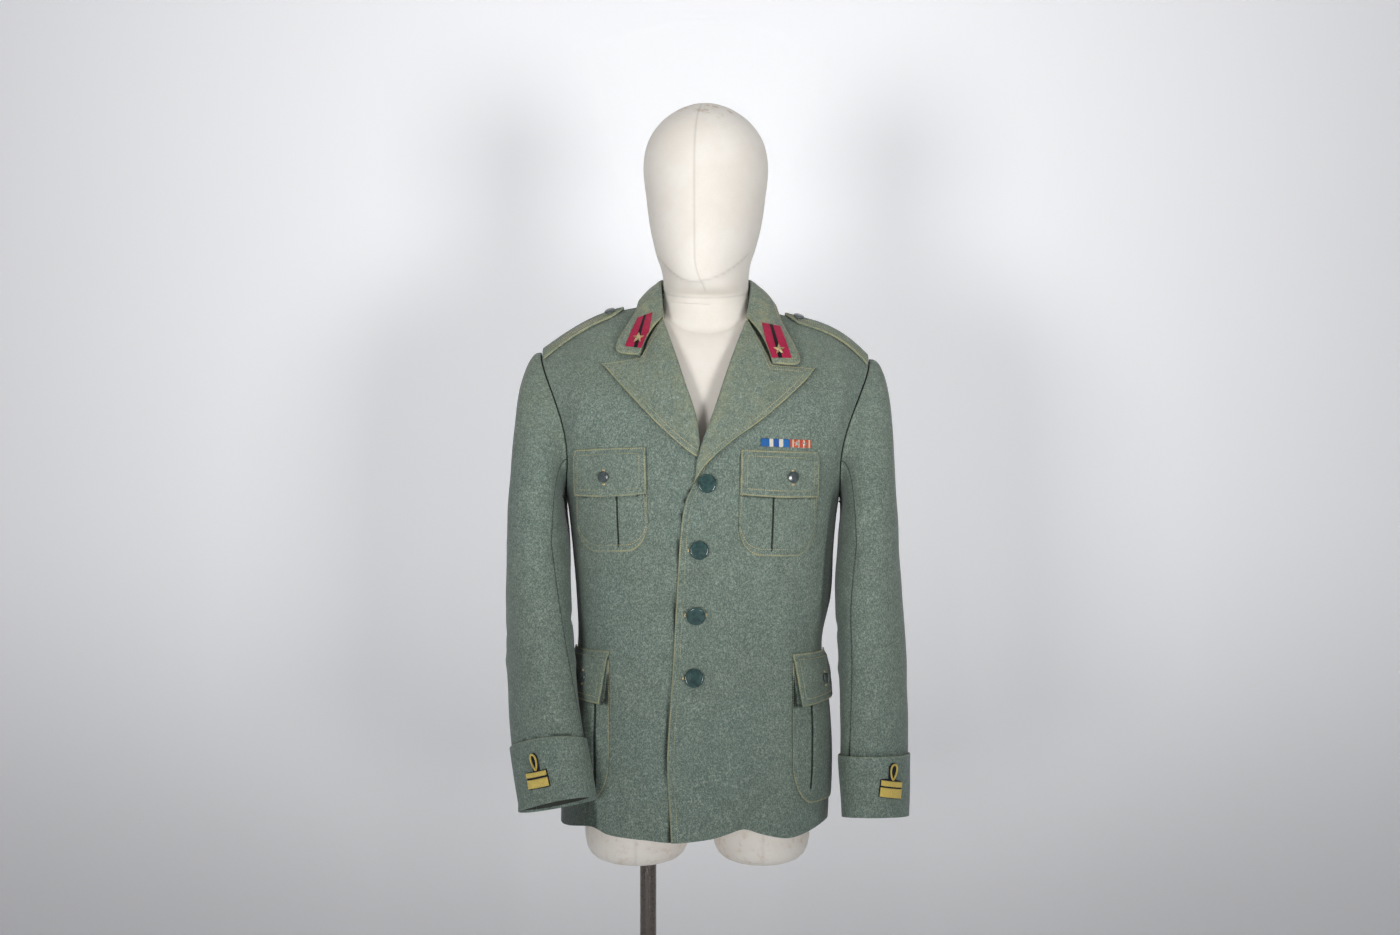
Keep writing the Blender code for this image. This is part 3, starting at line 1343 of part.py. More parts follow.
def form_body(cover):
    skin = Skin()
    quarter = [level for level in levels() if level > ARMPIT_Z]
    order = list(FORM_LEVELS) + quarter
    rows = {facing: {level: form_row(level, facing) for level in order} for facing in (FRONT, BACK)}
    for level in FORM_LEVELS:
        for end in (0, -1):
            middle = (rows[FRONT][level][end] + rows[BACK][level][end]) / 2
            rows[FRONT][level][end] = rows[BACK][level][end] = middle
    for j, ridge in enumerate(form_ridge()):
        if abs(FORM_SPREAD[j] * FORM_SHOULDER) >= NECK_SHARE * FORM_SHOULDER:
            rows[FRONT][SEAM_LEVEL][j] = rows[BACK][SEAM_LEVEL][j] = ridge
    for facing in (FRONT, BACK):
        skin.grid([rows[facing][level] for level in order])
    for end, side in ((0, RIGHT), (-1, LEFT)):
        cap = []
        for level in [ARMPIT_Z] + quarter:
            fore, aft = rows[FRONT][level][end], rows[BACK][level][end]
            bulge_most = min(CAP_BULGE, 0.12 * (aft - fore).length)
            line = []
            for k in range(CAP_STEPS + 1):
                f = k / CAP_STEPS
                bulge = bulge_most * math.sin(math.pi * f)
                line.append(fore.lerp(aft, f) + Vector((side * bulge, 0, 0)))
            cap.append(line)
        skin.grid(cap)
    close_form(skin, rows)
    return finish("form_body", skin.bm, cover)


def neck_rim():
    """The flat cut through the neck, a ring with a point for each neck column."""
    inner = [a for a in FORM_SPREAD if abs(a) <= NECK_SHARE]
    ring = []
    for facing, order in ((FRONT, inner), (BACK, inner[::-1])):
        deep = NECK_FRONT_Y if facing == FRONT else NECK_BACK_Y
        for across in order[:-1]:
            angle = across / NECK_SHARE * math.pi / 2
            x, y = NECK_WIDTH * math.sin(angle), deep * math.cos(angle)
            ring.append(Vector((x, y, NECK_CUT_Z + NECK_CUT_TILT * y)))
    return ring


def close_form(skin, rows):
    """Runs the neck up to its cut and rounds the hips under to a closed bottom."""
    inner = [j for j, a in enumerate(FORM_SPREAD) if abs(a) <= NECK_SHARE]
    base = [rows[FRONT][SEAM_LEVEL][j] for j in inner[:-1]]
    base += [rows[BACK][SEAM_LEVEL][j] for j in inner[:0:-1]]
    rim = neck_rim()
    throat = [p.lerp(q, 0.55) for p, q in zip(base, rim)]
    throat = [Vector((q.x * 0.4 + t.x * 0.6, q.y * 0.4 + t.y * 0.6, t.z)) for t, q in zip(throat, rim)]
    skin.grid([base, throat, rim], wrap=True)
    skin.face(rim)
    ring = rows[FRONT][FORM_LEVELS[0]][:-1] + rows[BACK][FORM_LEVELS[0]][:0:-1]
    centre = sum(ring, Vector()) / len(ring)
    hips = [ring]
    for share, drop in ((0.90, 0.012), (0.62, 0.020)):
        hips.append([centre + (p - centre) * share - Vector((0, 0, drop)) for p in ring])
    skin.grid(hips, wrap=True)
    skin.face(hips[-1])


def rounded_stub(name, thigh):
    """A thigh stub with a rounded lower end, closed at both ends."""
    skin = Skin()
    steps = 24
    rows = []
    profile = (
        (0.000, 0.30), (0.003, 0.58), (0.010, 0.80), (0.022, 0.94), (0.038, 1.0),
        (THIGH_TOP_Z - THIGH_BOTTOM_Z, 0.96),
    )
    for rise, share in profile:
        row = []
        for k in range(steps):
            angle = 2 * math.pi * k / steps
            x = thigh.x + thigh.half_width * share * math.cos(angle)
            y = thigh.half_depth * share * math.sin(angle)
            row.append(Vector((x, y, THIGH_BOTTOM_Z + rise)))
        rows.append(row)
    skin.grid(rows, wrap=True)
    skin.face(rows[0])
    skin.face(rows[-1])
    return finish(name, skin.bm, None)


def hidden_tool(item):
    item.hide_render = True
    item.display_type = "WIRE"


def join_or_cut(item, tool, operation):
    step = item.modifiers.new(operation.lower(), "BOOLEAN")
    step.operation = operation
    step.solver = "EXACT"
    step.object = tool
    hidden_tool(tool)


def turned(name, centre, profile, steps, material_used):
    """A solid turned about a vertical line, from radii and heights, closed at both ends."""
    bm = bmesh.new()
    rings = []
    for radius, height in profile:
        ring = []
        for k in range(steps):
            angle = 2 * math.pi * k / steps
            spoke = Vector((radius * math.cos(angle), radius * math.sin(angle), height))
            ring.append(bm.verts.new(centre + spoke))
        rings.append(ring)
    for low, high in zip(rings, rings[1:]):
        for k in range(steps):
            n = (k + 1) % steps
            bm.faces.new((low[k], low[n], high[n], high[k]))
    bm.faces.new(rings[0])
    bm.faces.new(rings[-1])
    return finish(name, bm, material_used)


def form_head(cover):
    """A plain egg-shaped head on a neck, turned a little to the wearer's right."""
    skin = Skin()
    neck_lift = 2 * SEAM
    foot = []
    for k in range(HEAD_STEPS):
        angle = 2 * math.pi * k / HEAD_STEPS
        y = math.cos(angle) * (-NECK_FRONT_Y if math.cos(angle) < 0 else NECK_BACK_Y)
        x = math.sin(angle) * NECK_WIDTH
        foot.append(Vector((x, y, NECK_CUT_Z + NECK_CUT_TILT * y + neck_lift)))
    rows = [foot]
    for head in HEAD:
        row = []
        share = ease((head.height - HEAD[0].height) / 0.05)
        turn = HEAD_TURN * share
        for k in range(HEAD_STEPS):
            angle = 2 * math.pi * k / HEAD_STEPS
            depth = head.front if math.cos(angle) < 0 else head.back
            y = depth * math.cos(angle)
            x = head.half_width * math.sin(angle)
            spot = Vector((x * math.cos(turn) - y * math.sin(turn), x * math.sin(turn) + y * math.cos(turn)))
            row.append(Vector((spot.x, spot.y, head.height + head.tilt * y)))
        rows.append(row)
    skin.grid(rows, wrap=True)
    skin.face(rows[0])
    crown = Vector((0, 0, HEAD[-1].height + 0.0022))
    for k in range(HEAD_STEPS):
        skin.face((rows[-1][k], rows[-1][(k + 1) % HEAD_STEPS], crown))
    finish("form_head", skin.bm, cover)


def build_form(cover, steel, base_paint):
    body = form_body(cover)
    for side, thigh in THIGHS.items():
        stub = rounded_stub("thigh_guide_left" if side == LEFT else "thigh_guide_right", thigh)
        join_or_cut(body, stub, "UNION")
    centre = Vector((POLE_X, POLE_Y, 0))
    socket_radius = POLE_RADIUS + SOCKET_CLEAR
    socket = turned(
        "socket_guide",
        centre,
        ((socket_radius, THIGH_BOTTOM_Z - 0.02), (socket_radius, POLE_TOP_Z + SOCKET_CLEAR)),
        24,
        None,
    )
    join_or_cut(body, socket, "DIFFERENCE")
    form_head(cover)
    foot = BASE_THICK - 0.004
    turned("stand_pole", centre, ((POLE_RADIUS, foot + SEAM), (POLE_RADIUS, POLE_TOP_Z)), 20, steel)
    stand_base(base_paint, foot)


def stand_base(paint, foot):
    """A round plate with a boss, and a blind hole in them for the pole."""
    plate = turned(
        "stand_base",
        Vector((0, 0, 0)),
        (
            (BASE_RADIUS, 0.0),
            (BASE_RADIUS, BASE_THICK - 0.002),
            (BASE_RADIUS - 0.002, BASE_THICK),
        ),
        64,
        paint,
    )
    centre = Vector((POLE_X, POLE_Y, 0))
    boss = turned(
        "boss_guide",
        centre,
        (
            (BOSS_RADIUS, BASE_THICK - 0.003),
            (BOSS_RADIUS, BASE_THICK + BOSS_HEIGHT - 0.003),
            (BOSS_RADIUS - 0.003, BASE_THICK + BOSS_HEIGHT),
        ),
        24,
        None,
    )
    radius = POLE_RADIUS + SOCKET_CLEAR
    hole = turned("hole_guide", centre, ((radius, foot), (radius, BASE_THICK + BOSS_HEIGHT + 0.01)), 20, None)
    join_or_cut(plate, boss, "UNION")
    join_or_cut(plate, hole, "DIFFERENCE")


def build():
    clear_scene()
    wool = material("grey_green_wool", (0.115, 0.165, 0.135), 0.95)
    crimson = material("crimson_felt", (0.42, 0.02, 0.07), 0.9)
    navy = material("navy_felt", (0.02, 0.025, 0.04), 0.95)
    gold = material("gold_thread", (0.72, 0.55, 0.14), 0.5, 0.2)
    star_metal = material("star_metal", (0.62, 0.55, 0.40), 0.35, 1.0)
    blue = material("blue_silk", (0.05, 0.16, 0.45), 0.6)
    orange = material("orange_silk", (0.65, 0.22, 0.10), 0.6)
    cover = material("ivory_cotton", (0.82, 0.76, 0.66), 0.9)
    steel = material("dark_steel", (0.30, 0.28, 0.27), 0.25, 1.0)
    paint = material("brushed_steel", (0.35, 0.35, 0.35), 0.4, 1.0)
    BUTTON_MATERIAL["front"] = material("green_button", (0.015, 0.05, 0.045), 0.2)
    BUTTON_MATERIAL["small"] = material("dark_button", (0.03, 0.04, 0.04), 0.25)
    build_jacket_shell(wool)
    collar(wool)
    for side in (LEFT, RIGHT):
        lapel(side, wool)
        breast_pocket(side, wool)
        hip_pocket(side, wool)
        shoulder_strap(side, wool)
        collar_patch(side, crimson, star_metal)
        cuff_marks(side, navy, gold)
    front_buttons()
    ribbon("ribbon_blue", RIBBON_SPAN["blue"], blue)
    ribbon("ribbon_orange", RIBBON_SPAN["orange"], orange)
    build_form(cover, steel, paint)


build()
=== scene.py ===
"""An officer's wool jacket buttoned on a covered dress form: the visible model over the part's solids.
Metres, +Z up. The jacket's front faces -Y. Left and right are the wearer's: left is +X."""

import math
from collections import namedtuple

import bpy
import numpy as np
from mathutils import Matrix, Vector


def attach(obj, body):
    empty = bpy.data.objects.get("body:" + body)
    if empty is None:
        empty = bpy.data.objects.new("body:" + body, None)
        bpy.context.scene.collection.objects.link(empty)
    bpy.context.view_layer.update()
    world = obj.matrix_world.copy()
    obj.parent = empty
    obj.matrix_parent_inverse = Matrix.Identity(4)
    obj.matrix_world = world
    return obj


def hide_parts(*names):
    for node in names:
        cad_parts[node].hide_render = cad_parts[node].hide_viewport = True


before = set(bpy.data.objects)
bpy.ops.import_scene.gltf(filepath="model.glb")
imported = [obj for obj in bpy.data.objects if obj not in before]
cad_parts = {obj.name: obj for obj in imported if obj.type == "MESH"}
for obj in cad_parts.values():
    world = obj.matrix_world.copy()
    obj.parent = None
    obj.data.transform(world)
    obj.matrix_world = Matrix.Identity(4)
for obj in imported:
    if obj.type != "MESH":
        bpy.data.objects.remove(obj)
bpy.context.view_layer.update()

LEFT, RIGHT = 1, -1     # the wearer's sides, as signs of X
FRONT, BACK = -1, 1     # signs of Y
WORD = {LEFT: "left", RIGHT: "right"}

# Cloth
CLOTH = 0.0022
SEAM = 0.0003
STANDOFF = 0.0008
OVERLAP_LIFT = CLOTH + 0.0013
OVERLAP_X, OVERLAP_FADE = 0.058, 0.035
EDGE_STITCH, INNER_STITCH = 0.0016, 0.0088      # the two rows of topstitching, from an edge
GROOVE, GROOVE_WIDE = 0.00032, 0.0007       # how deep and wide the stitching is sunk
RIM_WEAR, RIM_WIDE = 0.72, 0.0018       # pale wear along stitched edges
SEAM_SHADE, SEAM_WIDE = 0.6, 0.0016
# Dents in the cloth are painted darker as shade, fully dark at this depth
DARK_DIP = 0.0012       # a dent of this depth is fully dark
SIDES_AND_FOOT = ("first_column", "last_column", "last_row")
ALL_ROUND = (*SIDES_AND_FOOT, "first_row")

# Torso, as in the part's solids
SQUARE = 2.4
ARMPIT_Z, CHEST_Z, SHOULDER_RISE = 1.300, 1.385, 0.200
SEAM_LEVEL = CHEST_Z + SHOULDER_RISE
SHOULDER_LOOK = 0.03
ARMHOLE_REACH = {FRONT: 0.070, BACK: 0.074}
Section = namedtuple("Section", "height half_width front back shift")
TORSO = (
    Section(0.856, 0.177, 0.131, 0.122, -0.016),
    Section(0.950, 0.178, 0.134, 0.123, -0.013),
    Section(1.040, 0.170, 0.132, 0.116, -0.010),
    Section(1.110, 0.164, 0.129, 0.107, -0.008),
    Section(1.170, 0.171, 0.130, 0.107, -0.003),
    Section(1.240, 0.176, 0.132, 0.112, -0.004),
    Section(1.300, 0.183, 0.132, 0.117, -0.004),
    Section(1.340, 0.193, 0.130, 0.119, -0.003),
    Section(1.385, 0.208, 0.126, 0.120, -0.001),
)
NECK_SHARE = 0.33
NECK_X, NECK_Y, NECK_Z = 0.0655, 0.002, 1.560
NECK_DEPTH = {FRONT: 0.060, BACK: 0.064}
NECK_DROP = {FRONT: -0.034, BACK: 0.014}
CHEST_RISE = 0.38       # share of the climb from the chest that keeps the chest's slope
SEAM_FALL = (0.004, 0.47, -0.14)        # how the surface leaves the shoulder seam
CALM_RISE, CALM_REACH = 0.06, 0.12      # folds fade out this near the shoulder and side seams
TIP = {LEFT: np.array((0.219, 0.004, 1.486)), RIGHT: np.array((-0.221, 0.004, 1.495))}
Pad = namedtuple("Pad", "rise skew")
PAD = {LEFT: Pad(0.0155, 1.7), RIGHT: Pad(0.0150, 1.0)}     # how the shoulder seams bow upwards
Edge = namedtuple("Edge", "height over under")
FRONT_EDGES = (
    Edge(0.856, -0.0450, 0.0100),
    Edge(0.960, -0.0500, 0.0110),
    Edge(1.080, -0.0430, 0.0120),
    Edge(1.180, -0.0375, 0.0120),
    Edge(1.260, -0.0325, 0.0120),
    Edge(1.295, -0.0270, 0.0090),
    Edge(1.318, -0.0170, 0.0010),
    Edge(1.350, -0.0080, -0.0090),
    Edge(1.385, 0.0035, -0.0115),
    Edge(1.411, 0.0135, -0.0180),
    Edge(1.536, 0.0555, -0.0585),
    Edge(1.560, 0.0650, -0.0650),
)
Hem = namedtuple("Hem", "x height")
HEM = (
    Hem(-0.190, 0.866),
    Hem(-0.150, 0.873),
    Hem(-0.128, 0.865),
    Hem(-0.080, 0.861),
    Hem(-0.045, 0.858),
    Hem(0.005, 0.863),
    Hem(0.046, 0.874),
    Hem(0.077, 0.866),
    Hem(0.112, 0.860),
    Hem(0.160, 0.872),
)
BACK_HEM_Z = 0.864
VENT_TOP_Z, VENT_GAP, VENT_REACH = 0.965, 0.0045, 0.75
Fold = namedtuple("Fold", "x0 z0 x1 z1 width height")
FRONT_FOLDS = (
    Fold(-0.150, 1.500, -0.176, 1.390, 0.013, 0.0050),
    Fold(0.180, 1.470, 0.172, 1.400, 0.012, 0.0045),
    Fold(0.046, 0.866, 0.088, 0.925, 0.013, -0.0065),
    Fold(-0.095, 0.862, -0.070, 0.930, 0.022, 0.0035),
    Fold(0.110, 0.862, 0.100, 0.930, 0.024, 0.0045),
    Fold(0.120, 1.190, 0.060, 1.135, 0.018, -0.0030),
    Fold(-0.135, 1.215, -0.080, 1.150, 0.018, -0.0030),
)
BACK_FOLDS = (
    Fold(-0.150, 1.490, -0.160, 1.370, 0.014, 0.0050),
    Fold(0.150, 1.485, 0.162, 1.370, 0.014, 0.0050),
    Fold(-0.120, 1.180, -0.040, 1.110, 0.020, -0.0045),
    Fold(0.125, 1.190, 0.050, 1.115, 0.020, -0.0045),
    Fold(-0.080, 0.864, -0.055, 0.960, 0.026, 0.0050),
    Fold(0.070, 0.864, 0.060, 0.975, 0.028, 0.0045),
)
# Finer creases, from the photograph; those of the back are of the same kind
FRONT_CREASES = (
    Fold(-0.163, 1.455, -0.181, 1.385, 0.0050, -0.0022),
    Fold(-0.128, 1.515, -0.160, 1.455, 0.0070, -0.0016),
    Fold(-0.115, 1.500, -0.140, 1.455, 0.0080, 0.0012),
    Fold(0.1735, 1.452, 0.1735, 1.422, 0.0030, -0.0024),
    Fold(0.1920, 1.462, 0.1915, 1.448, 0.0028, -0.0018),
    Fold(0.160, 1.330, 0.170, 1.300, 0.0050, -0.0022),
    Fold(0.150, 1.300, 0.166, 1.260, 0.0090, 0.0014),
    Fold(0.016, 1.300, 0.060, 1.285, 0.0090, -0.0012),
    Fold(0.010, 1.215, 0.075, 1.240, 0.0100, -0.0012),
    Fold(0.004, 1.150, 0.070, 1.170, 0.0100, -0.0010),
    Fold(-0.050, 1.230, -0.105, 1.250, 0.0110, -0.0012),
    Fold(-0.050, 1.150, -0.100, 1.165, 0.0110, -0.0010),
    Fold(0.030, 1.000, 0.045, 0.900, 0.0160, 0.0014),
    Fold(0.020, 0.862, 0.034, 0.905, 0.0100, 0.0022),
    Fold(0.072, 0.864, 0.100, 0.895, 0.0070, -0.0020),
    Fold(-0.130, 0.872, -0.100, 0.905, 0.0090, -0.0020),
    Fold(-0.060, 0.862, -0.052, 0.960, 0.0130, 0.0012),
    Fold(-0.110, 1.080, -0.080, 0.960, 0.0160, 0.0014),
    Fold(0.085, 1.080, 0.070, 0.960, 0.0180, -0.0014),
)
BACK_CREASES = (
    Fold(-0.175, 1.330, -0.120, 1.290, 0.0080, -0.0024),
    Fold(-0.170, 1.300, -0.110, 1.255, 0.0080, 0.0018),
    Fold(0.176, 1.325, 0.125, 1.280, 0.0080, -0.0024),
    Fold(0.168, 1.290, 0.115, 1.250, 0.0080, 0.0018),
    Fold(-0.060, 1.150, 0.020, 1.140, 0.0100, -0.0020),
    Fold(-0.020, 1.120, 0.070, 1.128, 0.0110, -0.0018),
    Fold(-0.110, 1.090, -0.030, 1.075, 0.0120, 0.0014),
    Fold(0.040, 1.540, 0.110, 1.505, 0.0100, -0.0016),
    Fold(-0.040, 1.542, -0.110, 1.508, 0.0100, -0.0014),
    Fold(0.000, 0.870, 0.006, 1.000, 0.0200, -0.0022),
    Fold(-0.130, 0.870, -0.120, 0.960, 0.0120, 0.0020),
    Fold(0.125, 0.870, 0.120, 0.950, 0.0120, 0.0016),
)

# Sleeves, as in the part's solids. The right cuff's tilt and lean follow the photograph more closely.
Ring = namedtuple("Ring", "height x y half_width half_depth turn")
SLEEVE = {
    RIGHT: (
        Ring(0.906, -0.1900, -0.125, 0.0330, 0.0535, 60),
        Ring(0.955, -0.2000, -0.113, 0.0350, 0.0565, 50),
        Ring(1.010, -0.2095, -0.093, 0.0370, 0.0645, 35),
        Ring(1.080, -0.2175, -0.066, 0.0410, 0.073, 20),
        Ring(1.160, -0.2220, -0.042, 0.0435, 0.077, 8),
        Ring(1.240, -0.2235, -0.030, 0.0420, 0.078, 0),
    ),
    LEFT: (
        Ring(0.880, 0.2237, -0.060, 0.0390, 0.060, 20),
        Ring(0.950, 0.2225, -0.055, 0.0430, 0.062, 16),
        Ring(1.010, 0.2225, -0.050, 0.0440, 0.068, 12),
        Ring(1.080, 0.2215, -0.043, 0.0450, 0.072, 8),
        Ring(1.160, 0.2165, -0.036, 0.0450, 0.076, 4),
        Ring(1.240, 0.2165, -0.030, 0.0400, 0.078, 0),
    ),
}
RING_SQUARE = 2.2
SLEEVE_STEPS, SEAM_STEP = 18, 6
STEP_RUN = 0.0215       # about the way round a sleeve from step to step
HEAD_OUT, HEAD_LIFT, HEAD_FALL, HEAD_TUCK = 0.024, 0.008, 0.150, 0.008
PIT_OUT, PIT_DIP, PIT_FALL = 0.008, 0.006, 0.030        # the same bends at the armpit
SLEEVE_TOP_Z = 1.240
CUFF_TOP = {RIGHT: 0.976, LEFT: 0.962}
CUFF_TILT = {RIGHT: 0.28, LEFT: 0.14}
CUFF_LEAN = {RIGHT: 0.16, LEFT: 0.0}        # the cuff's line climbs towards the body
CUFF_HEIGHT = {RIGHT: 0.077, LEFT: 0.082}
CUFF_EVEN = {RIGHT: 0.0, LEFT: 0.4}
# Creases of the sleeves: steps round from the outer line forward, and heights
Crease = namedtuple("Crease", "k0 z0 k1 z1 width height")
SLEEVE_CREASES = {
    RIGHT: (
        Crease(1.10, 1.480, 1.55, 1.340, 0.0045, 0.0022),
        Crease(2.30, 1.440, 3.10, 1.330, 0.0080, -0.0014),
        Crease(1.55, 1.340, 1.70, 1.180, 0.0100, 0.0010),
        Crease(3.60, 1.300, 5.60, 1.270, 0.0070, -0.0024),
        Crease(3.90, 1.262, 5.80, 1.225, 0.0070, 0.0018),
        Crease(1.00, 1.160, 3.40, 1.185, 0.0075, -0.0015),
        Crease(2.40, 1.125, 5.20, 1.150, 0.0075, -0.0022),
        Crease(0.60, 1.105, 2.80, 1.090, 0.0080, 0.0012),
        Crease(3.00, 1.080, 5.60, 1.105, 0.0070, 0.0018),
        Crease(1.80, 1.045, 4.20, 1.065, 0.0080, -0.0016),
        Crease(0.80, 1.010, 3.00, 0.995, 0.0080, -0.0012),
        Crease(-3.0, 1.150, -0.6, 1.120, 0.0080, -0.0020),
        Crease(-4.0, 1.100, -1.0, 1.080, 0.0080, 0.0016),
        Crease(7.00, 1.150, 10.0, 1.130, 0.0080, -0.0020),
        Crease(7.00, 1.090, 11.0, 1.070, 0.0080, 0.0016),
    ),
    LEFT: (
        Crease(1.20, 1.460, 1.90, 1.330, 0.0060, 0.0014),
        Crease(2.60, 1.420, 3.40, 1.330, 0.0070, -0.0012),
        Crease(3.80, 1.290, 5.70, 1.255, 0.0070, -0.0024),
        Crease(3.60, 1.250, 5.70, 1.215, 0.0070, 0.0018),
        Crease(1.00, 1.205, 3.40, 1.180, 0.0085, -0.0014),
        Crease(2.20, 1.150, 5.00, 1.118, 0.0075, -0.0020),
        Crease(0.80, 1.115, 3.00, 1.128, 0.0080, 0.0010),
        Crease(2.80, 1.095, 5.60, 1.072, 0.0070, 0.0018),
        Crease(1.60, 1.050, 4.20, 1.035, 0.0080, -0.0014),
        Crease(0.90, 1.005, 2.60, 1.020, 0.0080, -0.0012),
        Crease(-3.2, 1.160, -0.8, 1.128, 0.0080, -0.0020),
        Crease(-4.2, 1.095, -1.2, 1.078, 0.0080, 0.0016),
        Crease(7.00, 1.140, 10.0, 1.120, 0.0080, -0.0020),
        Crease(7.20, 1.080, 10.8, 1.065, 0.0080, 0.0016),
    ),
}

# Each front lies in its sleeve's shade from these places outwards
Shade = namedtuple("Shade", "height x")
ARM_SHADE = {
    LEFT: (
        Shade(1.100, 0.165),
        Shade(1.115, 0.156),
        Shade(1.140, 0.1500),
        Shade(1.175, 0.1500),
        Shade(1.250, 0.1570),
        Shade(1.320, 0.1690),
        Shade(1.350, 0.1850),
    ),
    RIGHT: (
        Shade(0.880, -0.1400),
        Shade(0.910, -0.1420),
        Shade(0.980, -0.1550),
        Shade(1.050, -0.1590),
        Shade(1.110, -0.1615),
        Shade(1.170, -0.1640),
        Shade(1.250, -0.1700),
        Shade(1.320, -0.1800),
        Shade(1.350, -0.1950),
    ),
}

# Collar, as in the part's solids
Station = namedtuple("Station", "q fold_x fold_y fold_z edge_x edge_y edge_z")
COLLAR = {
    LEFT: (
        Station(0.00, 0.000, 0.0690, 1.604, 0.000, 0.0890, 1.556),
        Station(0.20, 0.030, 0.0620, 1.602, 0.038, 0.0800, 1.556),
        Station(0.38, 0.053, 0.0410, 1.598, 0.072, 0.0540, 1.560),
        Station(0.52, 0.0625, 0.0120, 1.593, 0.091, 0.0180, 1.561),
        Station(0.66, 0.0630, -0.0130, 1.583, 0.095, -0.0180, 1.556),
        Station(0.80, 0.0605, -0.0340, 1.566, 0.102, -0.0490, 1.531),
        Station(0.92, 0.0575, -0.0500, 1.549, 0.123, -0.0840, 1.478),
        Station(1.00, 0.0550, -0.0620, 1.5385, 0.087, -0.0965, 1.4755),
    ),
    RIGHT: (
        Station(0.00, 0.000, 0.0690, 1.604, 0.000, 0.0890, 1.556),
        Station(0.20, -0.030, 0.0620, 1.602, -0.038, 0.0800, 1.556),
        Station(0.38, -0.053, 0.0410, 1.598, -0.070, 0.0540, 1.562),
        Station(0.52, -0.0625, 0.0120, 1.593, -0.087, 0.0180, 1.566),
        Station(0.66, -0.0630, -0.0130, 1.583, -0.091, -0.0160, 1.563),
        Station(0.80, -0.0615, -0.0340, 1.568, -0.096, -0.0430, 1.545),
        Station(0.92, -0.0595, -0.0500, 1.550, -0.119, -0.0740, 1.495),
        Station(1.00, -0.0575, -0.0620, 1.5395, -0.087, -0.0905, 1.4865),
    ),
}
FOLD_ROUND, STAND_DROP, STAND_END = 0.0042, 0.030, 0.006
FALL_BULGE, BULGE_RISE = 0.07, 0.6      # how far the collar's fall swells, and how steeply upwards
FALL_FROM, FALL_NEXT = 0.16, 0.30       # the first two shares of the fall below the fold
LapelRow = namedtuple("LapelRow", "r roll_x roll_z edge_x edge_z")
LAPEL = {
    LEFT: (
        LapelRow(0, -0.0155, 1.3230, -0.0180, 1.3165),
        LapelRow(1, -0.0085, 1.3480, 0.0010, 1.3440),
        LapelRow(2, 0.0010, 1.3790, 0.0340, 1.3740),
        LapelRow(3, 0.0160, 1.4190, 0.0790, 1.4070),
        LapelRow(4, 0.0350, 1.4770, 0.1230, 1.4460),
        LapelRow(5, 0.0540, 1.5300, 0.1420, 1.4680),
    ),
    RIGHT: (
        LapelRow(0, -0.0090, 1.3560, -0.0125, 1.3535),
        LapelRow(1, -0.0115, 1.3760, -0.0300, 1.3660),
        LapelRow(2, -0.0170, 1.4080, -0.0600, 1.3930),
        LapelRow(3, -0.0300, 1.4470, -0.0880, 1.4220),
        LapelRow(4, -0.0440, 1.4900, -0.1130, 1.4490),
        LapelRow(5, -0.0580, 1.5330, -0.1355, 1.4740),
    ),
}
NOTCH = {LEFT: np.array((0.0850, 1.4715)), RIGHT: np.array((-0.0850, 1.4815))}
NOTCH_SHARE, ROLL_LIFT = 0.45, 0.0035

# Pockets, buttons and straps, as in the part's solids. The hip flaps' lift and lean follow the photograph.
Pocket = namedtuple("Pocket", "x top width height lean flap_height button_x button_z pleat")
BREAST = {
    LEFT: Pocket(0.0945, 1.3615, 0.100, 0.136, -0.03, 0.058, 0.1090, 1.3275, -0.14),
    RIGHT: Pocket(-0.1240, 1.3650, 0.093, 0.134, 0.03, 0.060, -0.1290, 1.3280, 0.17),
}
HIP_TOP = {LEFT: 1.098, RIGHT: 1.102}
HIP_FRONT_X = {LEFT: 0.1110, RIGHT: -0.1250}
HIP_WIDTH = {LEFT: 0.126, RIGHT: 0.112}
HIP_HEIGHT, HIP_FLAP_HEIGHT, HIP_BELLY, HIP_STANDOFF = 0.196, 0.062, 0.0035, 0.0011
HIP_BUTTON = {LEFT: 0.45, RIGHT: 0.34}
HIP_BUTTON_DOWN = 0.036
HIP_FLAP_LEAN = 0.0055     # how far the flap's lower front corner is drawn back
HIP_PLEAT = {LEFT: -0.51, RIGHT: -0.64}     # from -1 at the pocket's front edge to 1
BREAST_CORNER, HIP_CORNER = 0.040, 0.055
CORNER_FROM, LIFT_FROM = 0.42, 0.1
POCKET_TUCK, FLAP_LIFT = 0.012, 0.0075
FLAP_SEWN, FLAP_CLIMB, HIP_FLAP_CLIMB = 0.003, 0.007, 0.030
FLAP_BOW, HIP_FLAP_SAG = 0.003, 0.006
FRONT_BUTTON, SMALL_BUTTON = 0.0245, 0.0150
BUTTON_PLACES = ((0.0010, 1.3190), (-0.0090, 1.2340), (-0.0130, 1.1510), (-0.0155, 1.0700))
STRAP_START = {LEFT: 0.505, RIGHT: 0.520}
STRAP_END, STRAP_NECK_HALF, STRAP_SLEEVE_HALF, STRAP_CLOTH = 0.985, 0.0200, 0.0265, 0.0030
STRAP_LIFT = STANDOFF + 0.0006
STRAP_BUTTON_IN, STRAP_BUTTON_FORE, STRAP_CROWN = 0.075, 0.009, 0.0008
STRAP_STITCHES = (EDGE_STITCH, 0.0055, 0.0095, 0.0135)

